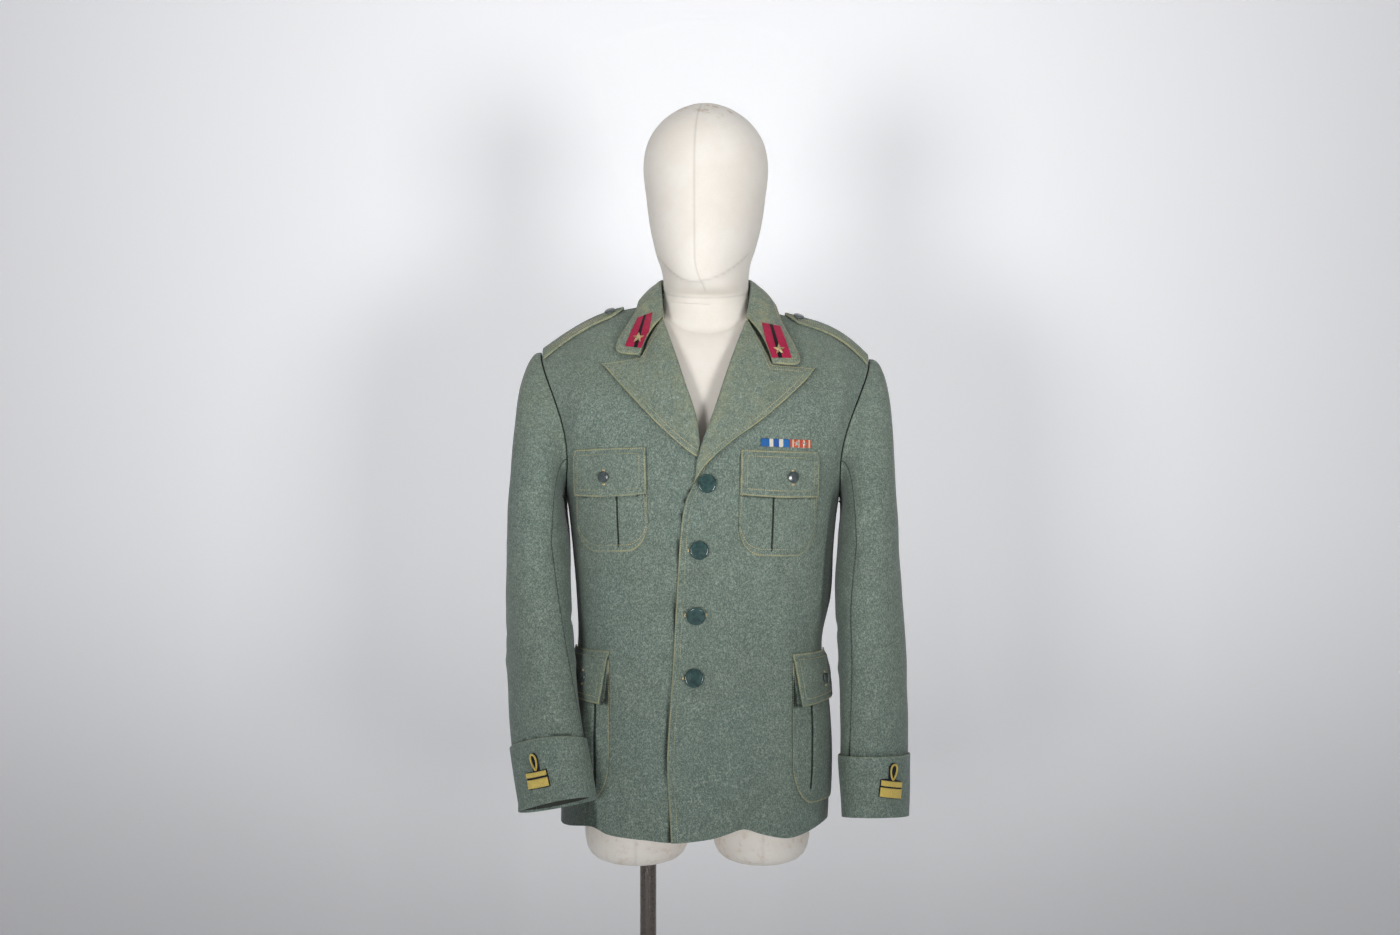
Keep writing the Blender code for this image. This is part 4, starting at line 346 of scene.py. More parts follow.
# Trims, as in the part's solids. The left cuff's mark follows the photograph more closely.
PATCH_CORNERS = {
    RIGHT: ((-0.0902, 1.5370), (-0.0706, 1.5445), (-0.0777, 1.4945), (-0.1062, 1.4985)),
    LEFT: ((0.0730, 1.5300), (0.0975, 1.5255), (0.1115, 1.4825), (0.0816, 1.4825)),
}
STAR_PLACE = {RIGHT: (-0.0885, 1.5090), LEFT: (0.0948, 1.4935)}
PATCH_THICK, STAR_RADIUS, STAR_THICK = 0.0010, 0.0082, 0.0016
STAR_WAIST, STAR_EDGE = 0.42, 0.35      # a star's inner corners and its rim, as shares
RIBBON_STAR_X, RIBBON_STAR_RADIUS, RIBBON_SLOPE = (0.1163, 0.1262), 0.0042, 0.03
RIBBON_Z, RIBBON_HALF, RIBBON_THICK = 1.3715, 0.0052, 0.0018
RIBBON_SPAN = {"blue": (0.0700, 0.1075), "orange": (0.1078, 0.1350)}
Mark = namedtuple("Mark", "step loop_top loop_foot thin_top thin_foot thick_top thick_foot lean slant")
CUFF_MARK = {
    RIGHT: Mark(0.45, 0.9745, 0.9475, 0.9525, 0.9465, 0.9440, 0.9333, 0.235, 0.14),
    LEFT: Mark(2.35, 0.9570, 0.9315, 0.9345, 0.9275, 0.9255, 0.9135, 0.17, -0.05),
}
BAR_HALF, LOOP_HALF_WIDTH, LOOP_CORD, FELT_THICK = 0.0170, 0.0062, 0.0011, 0.0008
FELT_RIM, LOOP_CLEAR, BAR_THICK = 0.0010, 0.0012, 0.0016
BAR_RIDGE, BAR_RIDGE_PITCH = 0.00010, 0.0011

# Dress form, as in the part's solids
NECK_CUT_Z, NECK_CUT_TILT = 1.566, 0.22
NECK_WIDTH, NECK_FRONT_Y, NECK_BACK_Y = 0.0572, -0.053, 0.057
Head = namedtuple("Head", "height half_width front back tilt")
HEAD = (
    Head(1.581, 0.0572, 0.060, 0.058, 0.24),
    Head(1.596, 0.0576, 0.082, 0.060, 0.26),
    Head(1.612, 0.0600, 0.093, 0.066, 0.24),
    Head(1.632, 0.0665, 0.097, 0.077, 0.16),
    Head(1.665, 0.0745, 0.099, 0.092, 0.06),
    Head(1.705, 0.0800, 0.100, 0.101, 0.00),
    Head(1.745, 0.0838, 0.099, 0.104, 0.00),
    Head(1.778, 0.0775, 0.091, 0.098, 0.00),
    Head(1.803, 0.0610, 0.073, 0.081, 0.00),
    Head(1.820, 0.0385, 0.047, 0.053, 0.00),
    Head(1.829, 0.0170, 0.021, 0.024, 0.00),
)
HEAD_TURN, CROWN_FROM_Z = math.radians(-9), 1.80
CROWN_RISE = HEAD[-1].height + 0.0015 - CROWN_FROM_Z
# Painted shade lies along and below the chin's lower line
CHIN_X, CHIN_Z, CHIN_BEND = -0.0148, 1.5827, (15.6, 8.0)       # the chin's lower line, seen from the front
Thigh = namedtuple("Thigh", "x half_width half_depth")
THIGHS = {RIGHT: Thigh(-0.0925, 0.0705, 0.086), LEFT: Thigh(0.0745, 0.0655, 0.084)}
THIGH_BOTTOM_Z = 0.809
Clear = namedtuple("Clear", "level gap")
FORM_CLEAR = (
    Clear(0.900, 0.010),
    Clear(1.000, 0.010),
    Clear(1.110, 0.016),
    Clear(1.200, 0.014),
    Clear(1.300, 0.012),
    Clear(1.385, 0.012),
    Clear(1.480, 0.006),
    Clear(1.540, 0.0015),
    Clear(1.585, 0.0004),
)
NECK_ROOM, CHEST_HOLLOW, FORM_SHOULDER = 0.0065, 0.014, 0.95
NECK_ROOM_REACH, NECK_ROOM_FADE, NECK_ROOM_RISE = 0.66, 0.22, 0.12      # places across and a height
HOLLOW_REACH, HOLLOW_FADE, HOLLOW_START, HOLLOW_RISE = 0.5, 0.16, 1.15, 0.15
FORM_INSET = 0.0005     # how far the cover lies inside the solid

# Wear and painted shade: each has its strength, then where it lies and how it fades
SUN_WEAR, SUN_FROM_Z, SUN_RISE = 0.10, 1.40, 0.12
SIDE_SHADE, SIDE_FROM, SIDE_FADE, SIDE_TOP_Z, SIDE_RISE = 0.55, 0.84, 0.15, 1.36, 0.06
ARM_DARK, ARM_TOP_Z, ARM_RISE, ARM_EDGE, ARM_FADE = 0.62, ARMPIT_Z + 0.045, 0.05, 0.001, 0.004
LAPEL_FOOT_Z = 1.318
LAP_SHADE, LAP_OUT, LAP_WIDE, LAP_TOP_Z, LAP_RISE = 0.85, 0.0012, 0.0026, 1.330, 0.02
LAPEL_SHADE, LAPEL_SHADE_WIDE = 0.42, 0.008
FLAP_SHADE, FLAP_SHADE_WIDE, HIP_FLAP_SHADE_WIDE = 0.8, 0.0024, 0.0028
GAP_SHADE, GAP_EDGE, GAP_FADE, GAP_FROM, GAP_RISE = 0.9, 0.0008, 0.0012, 0.022, 0.012


# Arrays of points


def unit(v):
    return v / np.maximum(np.linalg.norm(v, axis=-1, keepdims=True), 1e-12)


def points(x, y, z):
    return np.stack(np.broadcast_arrays(x, y, z), -1).astype(float)


def ease(f):
    f = np.clip(f, 0.0, 1.0)
    return f * f * (3 - 2 * f)


def bell(distance, width):
    return np.exp(-((distance / width) ** 2))


def bezier(a, b, c, d, f):
    f = np.asarray(f)[..., None]
    g = 1 - f
    return a * g ** 3 + b * 3 * g * g * f + c * 3 * g * f * f + d * f ** 3


def along(table, key, column):
    """Reads a column of a table at keys, on a smooth curve through its rows."""
    keys = np.array([row[0] for row in table], float)
    values = np.array([getattr(row, column) for row in table], float)
    slopes = np.empty(len(keys))
    slopes[1:-1] = (values[2:] - values[:-2]) / (keys[2:] - keys[:-2])
    slopes[0] = (values[1] - values[0]) / (keys[1] - keys[0])
    slopes[-1] = (values[-1] - values[-2]) / (keys[-1] - keys[-2])
    key = np.clip(key, keys[0], keys[-1])
    i = np.clip(np.searchsorted(keys, key, side="right") - 1, 0, len(keys) - 2)
    span = keys[i + 1] - keys[i]
    f = (key - keys[i]) / span
    bend_in = (f - 2 * f * f + f ** 3) * slopes[i] * span
    bend_out = (f ** 3 - f * f) * slopes[i + 1] * span
    return values[i] + (values[i + 1] - values[i]) * (3 * f * f - 2 * f ** 3) + bend_in + bend_out


# The torso's surface: a place across (-1 to 1), a level (height, then the way to the shoulder seam), a facing


def armhole_reach(z, facing):
    rise = np.clip((z - ARMPIT_Z) / (CHEST_Z - ARMPIT_Z), 0.0, 1.0)
    return ARMHOLE_REACH[facing] * np.sqrt(1 - (1 - rise) ** 2)


def section_size(z, facing):
    depth = along(TORSO, z, "front" if facing == FRONT else "back")
    turn = np.arccos((armhole_reach(z, facing) / depth) ** (SQUARE / 2))
    return along(TORSO, z, "half_width"), depth, turn


def section_point(across, z, facing):
    full, depth, turn = section_size(z, facing)
    angle = np.abs(across) * turn
    x = full * np.maximum(np.sin(angle), 0) ** (2 / SQUARE)
    y = depth * np.maximum(np.cos(angle), 0) ** (2 / SQUARE)
    return points(along(TORSO, z, "shift") + np.where(across < 0, -x, x), facing * y, z)


def across_at(x, z, facing):
    full, _, turn = section_size(z, facing)
    out = x - along(TORSO, z, "shift")
    share = np.minimum(np.abs(out) / full, 1.0)
    return np.sign(out) * np.arcsin(share ** (SQUARE / 2)) / turn


def top_point(across, facing):
    """The end of a column: on the shoulder seam, or on the neckline near the middle."""
    across = np.asarray(across, float)
    side = np.where(across >= 0, 1.0, -1.0)
    reach = np.abs(across)
    tip = np.where((across >= 0)[..., None], TIP[LEFT], TIP[RIGHT])
    neck = points(side * NECK_X, NECK_Y, NECK_Z)
    share = np.clip((reach - NECK_SHARE) / (1 - NECK_SHARE), 0.0, 1.0)
    seam = neck + (tip - neck) * share[..., None]
    left = across >= 0
    rise = np.where(left, PAD[LEFT].rise, PAD[RIGHT].rise)
    skew = np.where(left, PAD[LEFT].skew, PAD[RIGHT].skew)
    seam[..., 2] += rise * np.sin(math.pi * share ** skew)
    angle = np.minimum(reach / NECK_SHARE, 1.0) * math.pi / 2
    y = NECK_Y + facing * NECK_DEPTH[facing] * np.cos(angle)
    z = NECK_Z + NECK_DROP[facing] * np.cos(angle) ** 2
    round_neck = points(side * NECK_X * np.sin(angle), y, z)
    return np.where((reach >= NECK_SHARE)[..., None], seam, round_neck)


def body_point(across, level, facing):
    across, level = np.broadcast_arrays(np.asarray(across, float), np.asarray(level, float))
    low = section_point(across, np.minimum(level, CHEST_Z), facing)
    step = 0.004
    start = section_point(across, np.full_like(level, CHEST_Z), facing)
    slope = (start - section_point(across, np.full_like(level, CHEST_Z - step), facing)) / step
    end = top_point(across, facing)
    climb = end[..., 2] - start[..., 2]
    rise = start + slope * (climb * CHEST_RISE)[..., None]
    pull = points(
        np.where(across >= 0, 1, -1) * SEAM_FALL[0] * ease(np.abs(across)),
        SEAM_FALL[1] * (start[..., 1] - end[..., 1]),
        SEAM_FALL[2] * climb,
    )
    high = bezier(start, rise, end + pull, end, (level - CHEST_Z) / SHOULDER_RISE)
    return np.where((level <= CHEST_Z)[..., None], low, high)


def ridge(x, z, x0, z0, x1, z1, width, past, fade):
    """A fold's share of its full height: 1 along its line, less beside it and past its ends."""
    run_x, run_z = x1 - x0, z1 - z0
    length = math.hypot(run_x, run_z)
    f = ((x - x0) * run_x + (z - z0) * run_z) / length ** 2
    off = np.abs((x - x0) * run_z - (z - z0) * run_x) / length
    return bell(off, width) * ease((f + past) / fade) * ease((1 + past - f) / fade)


def fold_height(folds, x, z):
    total = np.zeros(np.broadcast(x, z).shape)
    for *line, height in folds:
        total = total + height * ridge(x, z, *line, 0.35, 0.5)
    return total


def uneven(x, z, size, seed):
    """Slow, shallow unevenness of a hanging cloth."""
    total = 0
    for i, (a, b, wave) in enumerate(((1.0, 0.3, 61), (0.5, -0.9, 83), (-0.4, 1.0, 47), (0.9, 0.8, 117))):
        total = total + np.sin(wave * (a * x + b * z) + seed * (i + 1.7)) * 61 / wave
    return size * total / 3


def jacket_point(across, level, facing):
    """The jacket's outer face, folds, creases and vents included."""
    point = body_point(across, level, facing)
    x, z = point[..., 0].copy(), point[..., 2].copy()
    calm = ease((SEAM_LEVEL - level) / CALM_RISE) * ease((1 - np.abs(across)) / CALM_REACH)
    folds = FRONT_FOLDS if facing == FRONT else BACK_FOLDS
    creases = FRONT_CREASES if facing == FRONT else BACK_CREASES
    height = fold_height(folds, x, z) + fold_height(creases, x, z) + uneven(x, z, 0.0009, 1 + facing)
    point[..., 1] += facing * calm * height
    open_share = ease((VENT_TOP_Z - z) / (VENT_TOP_Z - BACK_HEM_Z))
    edge_share = ease((np.abs(across) - VENT_REACH) / (1 - VENT_REACH))
    spread = VENT_GAP * open_share * edge_share
    point[..., 0] += np.where(across >= 0, 1, -1) * spread * (0.5 if facing == FRONT else -0.5)
    point[..., 1] += facing * spread * 0.5
    return point


def outward(surface, a, b):
    """The unit normals of a surface of two parameters, turned away from the body's axis."""
    step = 0.002
    by_a = surface(a + step, b) - surface(a - step, b)
    by_b = surface(a, b + step) - surface(a, b - step)
    normal = unit(np.cross(by_a, by_b))
    here = surface(a, b)
    guide = points(here[..., 0], here[..., 1], SHOULDER_LOOK)
    turn = np.sum(normal * guide, -1) < 0
    normal[turn] *= -1
    return normal


def seek(surface, x, z, a, b, a_most, b_most):
    """The two parameters at which a surface passes through each x and z, by Newton's steps from a and b."""
    step, longest = 0.0005, 0.15
    for _ in range(14):
        here = surface(a, b)
        by_a = (here - surface(a - step, b)) / step
        by_b = (here - surface(a, b - step)) / step
        miss_x, miss_z = x - here[..., 0], z - here[..., 2]
        size = by_a[..., 0] * by_b[..., 2] - by_b[..., 0] * by_a[..., 2]
        move_a = (miss_x * by_b[..., 2] - by_b[..., 0] * miss_z) / size
        move_b = (by_a[..., 0] * miss_z - miss_x * by_a[..., 2]) / size
        a = np.minimum(a + np.clip(move_a, -longest, longest), a_most)
        b = np.minimum(b + np.clip(move_b, -longest, longest), b_most)
    return a, b


def front_surface(across, level):
    return jacket_point(across, level, FRONT)


def lap_lift(x):
    return OVERLAP_LIFT * ease((OVERLAP_X - x) / OVERLAP_FADE)


def on_front(side, x, z, lift):
    """Points above one of the fronts at x and z, moved out by a lift, and the normals there."""
    x, z, lift = np.broadcast_arrays(*(np.asarray(v, float) for v in (x, z, lift)))
    low = np.minimum(z, CHEST_Z)
    across, level = across_at(x, low, FRONT), z.copy()
    high = z > CHEST_Z
    if high.any():
        found = seek(front_surface, x[high], z[high], across[high], z[high], 1.0, SEAM_LEVEL)
        across = across.copy()
        across[high], level[high] = found
    normal = outward(front_surface, across, level)
    total = lift + (lap_lift(x) if side == LEFT else 0.0)
    return front_surface(across, level) + normal * total[..., None], normal


# Meshes


ROUND_ROWS = (0.0, 0.00025, 0.0006, 0.0011, 0.0020, 0.0035)       # lines near a rounded edge
FINE = (0.0, 0.0002, 0.0005, 0.0010, 0.0020)        # the same for the trims


def spaced(length, step, ends=(True, True), rows=ROUND_ROWS):
    """Shares of a length: a line every step, and fine ones near the ends for round edges and stitching."""
    near = list(rows)
    for row in (EDGE_STITCH, INNER_STITCH):
        near += [row + d for d in (-0.0010, -0.0005, 0.0, 0.0005, 0.0010)]
    spots = set(np.round(np.linspace(0, length, max(int(length / step), 2) + 1), 7))
    for d in near:
        if d < length * 0.45:
            if ends[0]:
                spots.add(round(d, 7))
            if ends[1]:
                spots.add(round(length - d, 7))
    line = sorted(spots)
    kept = [line[0]]
    for spot in line[1:]:
        if spot - kept[-1] > 0.00018:
            kept.append(spot)
    kept[-1] = line[-1]
    return np.array(kept) / length


def arcs(grid, axis):
    """The length from the first row (axis 0) or column (axis 1) to each point."""
    steps = np.linalg.norm(np.diff(grid, axis=axis), axis=-1)
    pad = [(0, 0), (0, 0)]
    pad[axis] = (1, 0)
    return np.cumsum(np.pad(steps, pad), axis=axis)


def edge_distances(grid):
    """Distances to the first row, last row, first column and last column."""
    down, across = arcs(grid, 0), arcs(grid, 1)
    return {
        "first_row": down,
        "last_row": down[-1:, :] - down,
        "first_column": across,
        "last_column": across[:, -1:] - across,
    }


def grid_normals(grid, wrap=False, guide=None):
    if wrap:
        by_column = np.roll(grid, -1, 1) - np.roll(grid, 1, 1)
    else:
        by_column = np.gradient(grid, axis=1)
    by_row = np.gradient(grid, axis=0)
    normal = unit(np.cross(by_column, by_row))
    if guide is None:
        guide = points(grid[..., 0], grid[..., 1], SHOULDER_LOOK)
    sign = np.sign(np.sum(normal * guide, -1, keepdims=True))
    return normal * np.where(sign == 0, 1, sign)


def make_mesh(name, verts, faces, materials, indices=None, smooth=True, values=None, sharp=60):
    mesh = bpy.data.meshes.new(name)
    mesh.from_pydata([tuple(v) for v in verts], [], faces)
    for item in materials:
        mesh.materials.append(item)
    if indices is not None:
        mesh.polygons.foreach_set("material_index", indices)
    for key, data in (values or {}).items():
        mesh.attributes.new(key, "FLOAT", "POINT").data.foreach_set("value", np.asarray(data, "f").ravel())
    mesh.update()
    if smooth:
        mesh.shade_smooth()
        mesh.set_sharp_from_angle(angle=math.radians(sharp))
    item = bpy.data.objects.new(name, mesh)
    bpy.context.scene.collection.objects.link(item)
    return item


def shell(name, outer, inner, materials, wrap=False, values=None):
    """A closed wall between two grids. The outer faces have the first material and the inner the last."""
    rows, columns = outer.shape[:2]
    verts = np.concatenate([outer.reshape(-1, 3), inner.reshape(-1, 3)])
    count = rows * columns
    index = np.arange(count).reshape(rows, columns)
    right = np.roll(index, -1, 1) if wrap else index[:, 1:]
    left = index if wrap else index[:, :-1]
    a, b, c, d = left[:-1], right[:-1], right[1:], left[1:]
    quads = np.stack([a, b, c, d], -1).reshape(-1, 4)
    first, second, _, fourth = quads[len(quads) // 2]
    face_normal = np.cross(verts[second] - verts[first], verts[fourth] - verts[first])
    flip = bool(np.dot(face_normal, verts[first] - verts[first + count]) < 0)
    if flip:
        quads = quads[:, ::-1]
    faces = [tuple(q) for q in quads] + [tuple(q[::-1] + count) for q in quads]
    material_index = [0] * len(quads) + [len(materials) - 1] * len(quads)
    rims = [(left[0], right[0], False), (left[-1], right[-1], True)]
    if not wrap:
        rims += [(index[:-1, 0], index[1:, 0], True), (index[:-1, -1], index[1:, -1], False)]
    for p, q, turn in rims:
        for s, t in zip(p, q):
            face = (s, s + count, t + count, t)
            faces.append(face[::-1] if turn != flip else face)
            material_index.append(0)
    item = make_mesh(name, verts, faces, materials, material_index, values=values)
    item.data.validate()
    return item


def cloth(name, node, outer, normals, looks, thick=CLOTH, wrap=False, stitched=(), worn=0.0, dips=0.0,
          rows_at=(EDGE_STITCH, INNER_STITCH), seams=(), shadows=0.0):
    """A wall of cloth on a grid of points, with round edges, sunk stitching, worn rims, dark seams, and shade
    painted into its dents and wherever shadows are given.
    """
    distances = edge_distances(outer)
    if wrap:
        near = np.minimum(distances["first_row"], distances["last_row"])
    else:
        near = np.minimum.reduce([distances[k] for k in distances])
    round_off = thick / 2
    share = np.clip(near / round_off, 0, 1)
    pull = round_off * 0.9 * (1 - np.sqrt(1 - (1 - share) ** 2))
    sunk = np.zeros_like(near)
    free = [distances[k] for k in stitched]
    rim = bell(np.minimum.reduce(free), RIM_WIDE) if free else np.zeros_like(near)
    shade = np.zeros_like(near)
    for edge in seams:
        shade = np.maximum(shade, bell(distances[edge], SEAM_WIDE))
    for edge in stitched:
        for row in rows_at:
            sunk = sunk + GROOVE * bell(distances[edge] - row, GROOVE_WIDE)
    sunk = np.minimum(sunk, GROOVE * 1.3) + dips
    top = outer - normals * (pull + sunk)[..., None]
    bottom = outer - normals * (thick - pull)[..., None]
    wear = np.clip(worn + RIM_WEAR * rim, 0, 1)
    # The deep value: dark seams, plus painted shade in dents and the painted shadows given in shadows
    dark = np.clip(SEAM_SHADE * shade + dips / DARK_DIP + shadows, 0, 1)
    values = {
        "worn": np.tile(wear.ravel(), 2),
        "deep": np.concatenate([dark.ravel(), np.zeros(dark.size)]),
    }
    item = shell(name, top, bottom, looks, wrap, values)
    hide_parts(node)
    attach(item, "root")
    for edge in stitched:
        others = [k for k in stitched if k != edge]
        for row in rows_at:
            stitch_row(top, normals, distances, edge, row, others)
    return item


STITCHES = {"verts": [], "faces": [], "tone": []}


def tube_faces(rings, steps, closed=False):
    """The quads between neighbouring rings of points, and from the last ring to the first if closed."""
    faces = []
    for i in range(rings if closed else rings - 1):
        for k in range(steps):
            m, n = (i + 1) % rings * steps, (k + 1) % steps
            faces.append((i * steps + k, i * steps + n, m + n, m + k))
    return faces


def stitch_row(top, normals, distances, edge, row, others):
    """Lays thread at a distance from an edge, between the rows of the neighbouring stitched edges."""
    reach = distances[edge]
    grids = [top, normals, reach[..., None]] + [distances[k][..., None] for k in others]
    if edge in ("first_row", "last_row"):
        grids = [np.swapaxes(g, 0, 1) for g in grids]
    if edge in ("last_row", "last_column"):
        grids = [g[:, ::-1] for g in grids]
    spots, ups = [], []
    for i in range(grids[0].shape[0]):
        d = grids[2][i, :, 0]
        if d[-1] < row:
            continue
        j = int(np.clip(np.searchsorted(d, row), 1, len(d) - 1))
        f = (row - d[j - 1]) / max(d[j] - d[j - 1], 1e-9)
        if all(g[i, j, 0] >= row * 0.98 for g in grids[3:]):
            spots.append(grids[0][i, j - 1] * (1 - f) + grids[0][i, j] * f)
            ups.append(grids[1][i, j])
    if len(spots) > 3:
        sew(np.array(spots), np.array(ups))


def sew(spots, ups, pitch=0.0029, share=0.78, radius=0.00038, tone=None):
    """Thread along a line: a small rounded stitch at each pitch."""
    lengths = np.concatenate([[0], np.cumsum(np.linalg.norm(np.diff(spots, axis=0), axis=1))])
    count = int(lengths[-1] / pitch)
    for n in range(count):
        ends = [n * pitch, (n + share) * pitch]
        p, q = (np.array([np.interp(s, lengths, spots[:, c]) for c in range(3)]) for s in ends)
        up = unit(np.array([np.interp(ends[0], lengths, ups[:, c]) for c in range(3)]))
        course = unit(q - p)
        flank = np.cross(course, up)
        base = len(STITCHES["verts"])
        STITCHES["verts"].append(p - up * radius * 0.5)
        for f in (0.22, 0.78):
            middle = p + (q - p) * f + up * radius * 0.35
            for a, b in ((1, 0), (0, 1), (-1, 0), (0, -1)):
                STITCHES["verts"].append(middle + (flank * a + up * b) * radius)
        STITCHES["verts"].append(q - up * radius * 0.5)
        for k in range(4):
            m = (k + 1) % 4
            STITCHES["faces"].append((base, base + 1 + m, base + 1 + k))
            STITCHES["faces"].append((base + 1 + k, base + 1 + m, base + 5 + m, base + 5 + k))
            STITCHES["faces"].append((base + 9, base + 5 + k, base + 5 + m))
        patchy = 0.5 + 0.5 * math.sin(31 * p[0] + 23 * p[2]) * math.sin(17 * p[0] - 29 * p[2] + 1.3)
        STITCHES["tone"] += [patchy if tone is None else tone] * 10


# Materials


def srgb(r, g, b):
    """A colour seen on a screen, 0 to 255, as linear light."""
    out = []
    for c in (r, g, b):
        c = c / 255
        out.append(c / 12.92 if c <= 0.04045 else ((c + 0.055) / 1.055) ** 2.4)
    return (*out, 1.0)


def toned(colour, share, more=0.0):
    """A colour made darker or lighter."""
    return tuple(min(c * share + more, 1.0) for c in colour[:3]) + (1.0,)


class Look:
    """A material's node tree with short ways to add nodes."""

    def __init__(self, name, roughness=0.9, sheen=0.0, metallic=0.0, coat=0.0, specular=0.3):
        self.material = bpy.data.materials.new(name)
        self.material.use_nodes = True
        self.tree = self.material.node_tree
        self.shader = self.tree.nodes["Principled BSDF"]
        self.shader.inputs["Roughness"].default_value = roughness
        self.shader.inputs["Metallic"].default_value = metallic
        self.shader.inputs["Sheen Weight"].default_value = sheen
        self.shader.inputs["Sheen Roughness"].default_value = 0.45
        self.shader.inputs["Coat Weight"].default_value = coat
        self.shader.inputs["Coat Roughness"].default_value = 0.08
        self.shader.inputs["Specular IOR Level"].default_value = specular
        self.place = self.tree.nodes.new("ShaderNodeTexCoord").outputs["Object"]

    def join(self, value, socket):
        if isinstance(value, bpy.types.NodeSocket):
            self.tree.links.new(value, socket)
        else:
            socket.default_value = value

    def noise(self, scale, detail=2.0, rough=0.5, stretch=None, twist=0.0):
        node = self.tree.nodes.new("ShaderNodeTexNoise")
        node.inputs["Scale"].default_value = scale
        node.inputs["Detail"].default_value = detail
        node.inputs["Roughness"].default_value = rough
        node.inputs["Distortion"].default_value = twist
        source = self.place
        if stretch:
            mapping = self.tree.nodes.new("ShaderNodeMapping")
            mapping.inputs["Scale"].default_value = stretch
            self.tree.links.new(self.place, mapping.inputs["Vector"])
            source = mapping.outputs["Vector"]
        self.tree.links.new(source, node.inputs["Vector"])
        return node.outputs["Fac"]

    def part(self, axis):
        node = self.tree.nodes.new("ShaderNodeSeparateXYZ")
        self.tree.links.new(self.place, node.inputs[0])
        return node.outputs[axis]

    def value(self, name):
        node = self.tree.nodes.new("ShaderNodeAttribute")
        node.attribute_name = name
        return node.outputs["Fac"]

    def ramp(self, fac, stops, steps=False):
        node = self.tree.nodes.new("ShaderNodeValToRGB")
        ramp = node.color_ramp
        ramp.interpolation = "CONSTANT" if steps else "EASE"
        while len(ramp.elements) < len(stops):
            ramp.elements.new(0.5)
        for element, (spot, colour) in zip(ramp.elements, stops):
            element.position = spot
            element.color = colour if isinstance(colour, tuple) else (colour, colour, colour, 1)
        self.join(fac, node.inputs["Fac"])
        return node.outputs["Color"]

    def mix(self, fac, a, b, blend="MIX"):
        node = self.tree.nodes.new("ShaderNodeMix")
        node.data_type = "RGBA"
        node.blend_type = blend
        self.join(fac, node.inputs[0])
        self.join(a, node.inputs[6])
        self.join(b, node.inputs[7])
        return node.outputs[2]

    def times(self, a, b):
        return self.mix(1.0, a, b, "MULTIPLY")

    def sum(self, a, b, operation="ADD"):
        node = self.tree.nodes.new("ShaderNodeMath")
        node.operation = operation
        self.join(a, node.inputs[0])
        self.join(b, node.inputs[1])
        return node.outputs[0]

    def twill(self, scale):
        node = self.tree.nodes.new("ShaderNodeTexWave")
        node.bands_direction = "DIAGONAL"
        node.inputs["Scale"].default_value = scale
        node.inputs["Distortion"].default_value = 1.2
        node.inputs["Detail"].default_value = 1.0
        self.tree.links.new(self.place, node.inputs["Vector"])
        return node.outputs["Fac"]

    def ribs(self, distortion=0.0):
        """Bands across the way that a piece's own value counts."""
        node = self.tree.nodes.new("ShaderNodeTexWave")
        node.inputs["Scale"].default_value = 1.0
        node.inputs["Distortion"].default_value = distortion
        combine = self.tree.nodes.new("ShaderNodeCombineXYZ")
        self.tree.links.new(self.value("along"), combine.inputs[0])
        self.tree.links.new(combine.outputs[0], node.inputs["Vector"])
        return node.outputs["Fac"]

    def bump(self, height, strength, distance):
        node = self.tree.nodes.new("ShaderNodeBump")
        node.inputs["Strength"].default_value = strength
        node.inputs["Distance"].default_value = distance
        self.join(height, node.inputs["Height"])
        self.tree.links.new(node.outputs["Normal"], self.shader.inputs["Normal"])

    def colour(self, value):
        self.join(value, self.shader.inputs["Base Color"])
        return self.material


def wool_look(name, olive=0.0):
    """Felted wool: dark and light fibres over a grey-green ground, paler and yellower where it is worn."""
    look = Look(name, roughness=0.95, sheen=0.22, specular=0.12)
    fibre = look.noise(1050, 3.0, 0.7)
    fleck = look.noise(640, 2.0, 0.6, stretch=(1.0, 1.0, 0.75))
    cloud = look.noise(38, 3.0, 0.6)
    broad = look.noise(7, 2.0, 0.5)
    dark, middle, light = srgb(84, 101, 93), srgb(117, 134, 125), srgb(160, 172, 160)
    ground = look.ramp(fibre, ((0.28, dark), (0.5, middle), (0.74, light)))
    dark, middle, light = srgb(62, 78, 71), srgb(113, 129, 119), srgb(184, 190, 174)
    flecks = look.ramp(fleck, ((0.36, dark), (0.5, middle), (0.66, light)))
    mixed = look.mix(0.55, ground, flecks)
    mottle = look.ramp(look.noise(210, 3.0, 0.7), ((0.36, 0.80), (0.66, 1.13)))
    mixed = look.times(mixed, mottle)
    clouds = look.ramp(cloud, ((0.3, 0.90), (0.7, 1.06)))
    mixed = look.times(mixed, clouds)
    drift = look.ramp(broad, ((0.35, srgb(122, 136, 124)), (0.65, srgb(114, 133, 128))))
    mixed = look.mix(0.25, mixed, drift)
    worn = look.sum(look.value("worn"), olive)
    patchy = look.ramp(look.noise(60, 3.0, 0.7), ((0.35, 0.25), (0.65, 1.0)))
    worn = look.sum(worn, patchy, "MULTIPLY")
    mixed = look.mix(worn, mixed, srgb(170, 168, 128))
    # The deep value darkens the wool: at seams, and as painted shade and painted shadows
    deep = look.ramp(look.value("deep"), ((0.15, 1.0), (0.9, 0.16)))
    mixed = look.times(mixed, deep)
    height = look.sum(look.sum(fibre, 0.8, "MULTIPLY"), fleck)
    look.bump(height, 0.55, 0.0005)
    return look.colour(mixed)


WOOL = wool_look("grey_green_wool")
WOOL_SUNNED = wool_look("grey_green_wool_sunned", 0.10)
WOOL_COLLAR = wool_look("grey_green_wool_collar", 0.24)


def lining_look(name, dark, light):
    look = Look(name, roughness=0.6, sheen=0.1)
    look.bump(look.twill(700), 0.2, 0.0003)
    return look.colour(look.mix(look.noise(60, 2.0), dark, light))


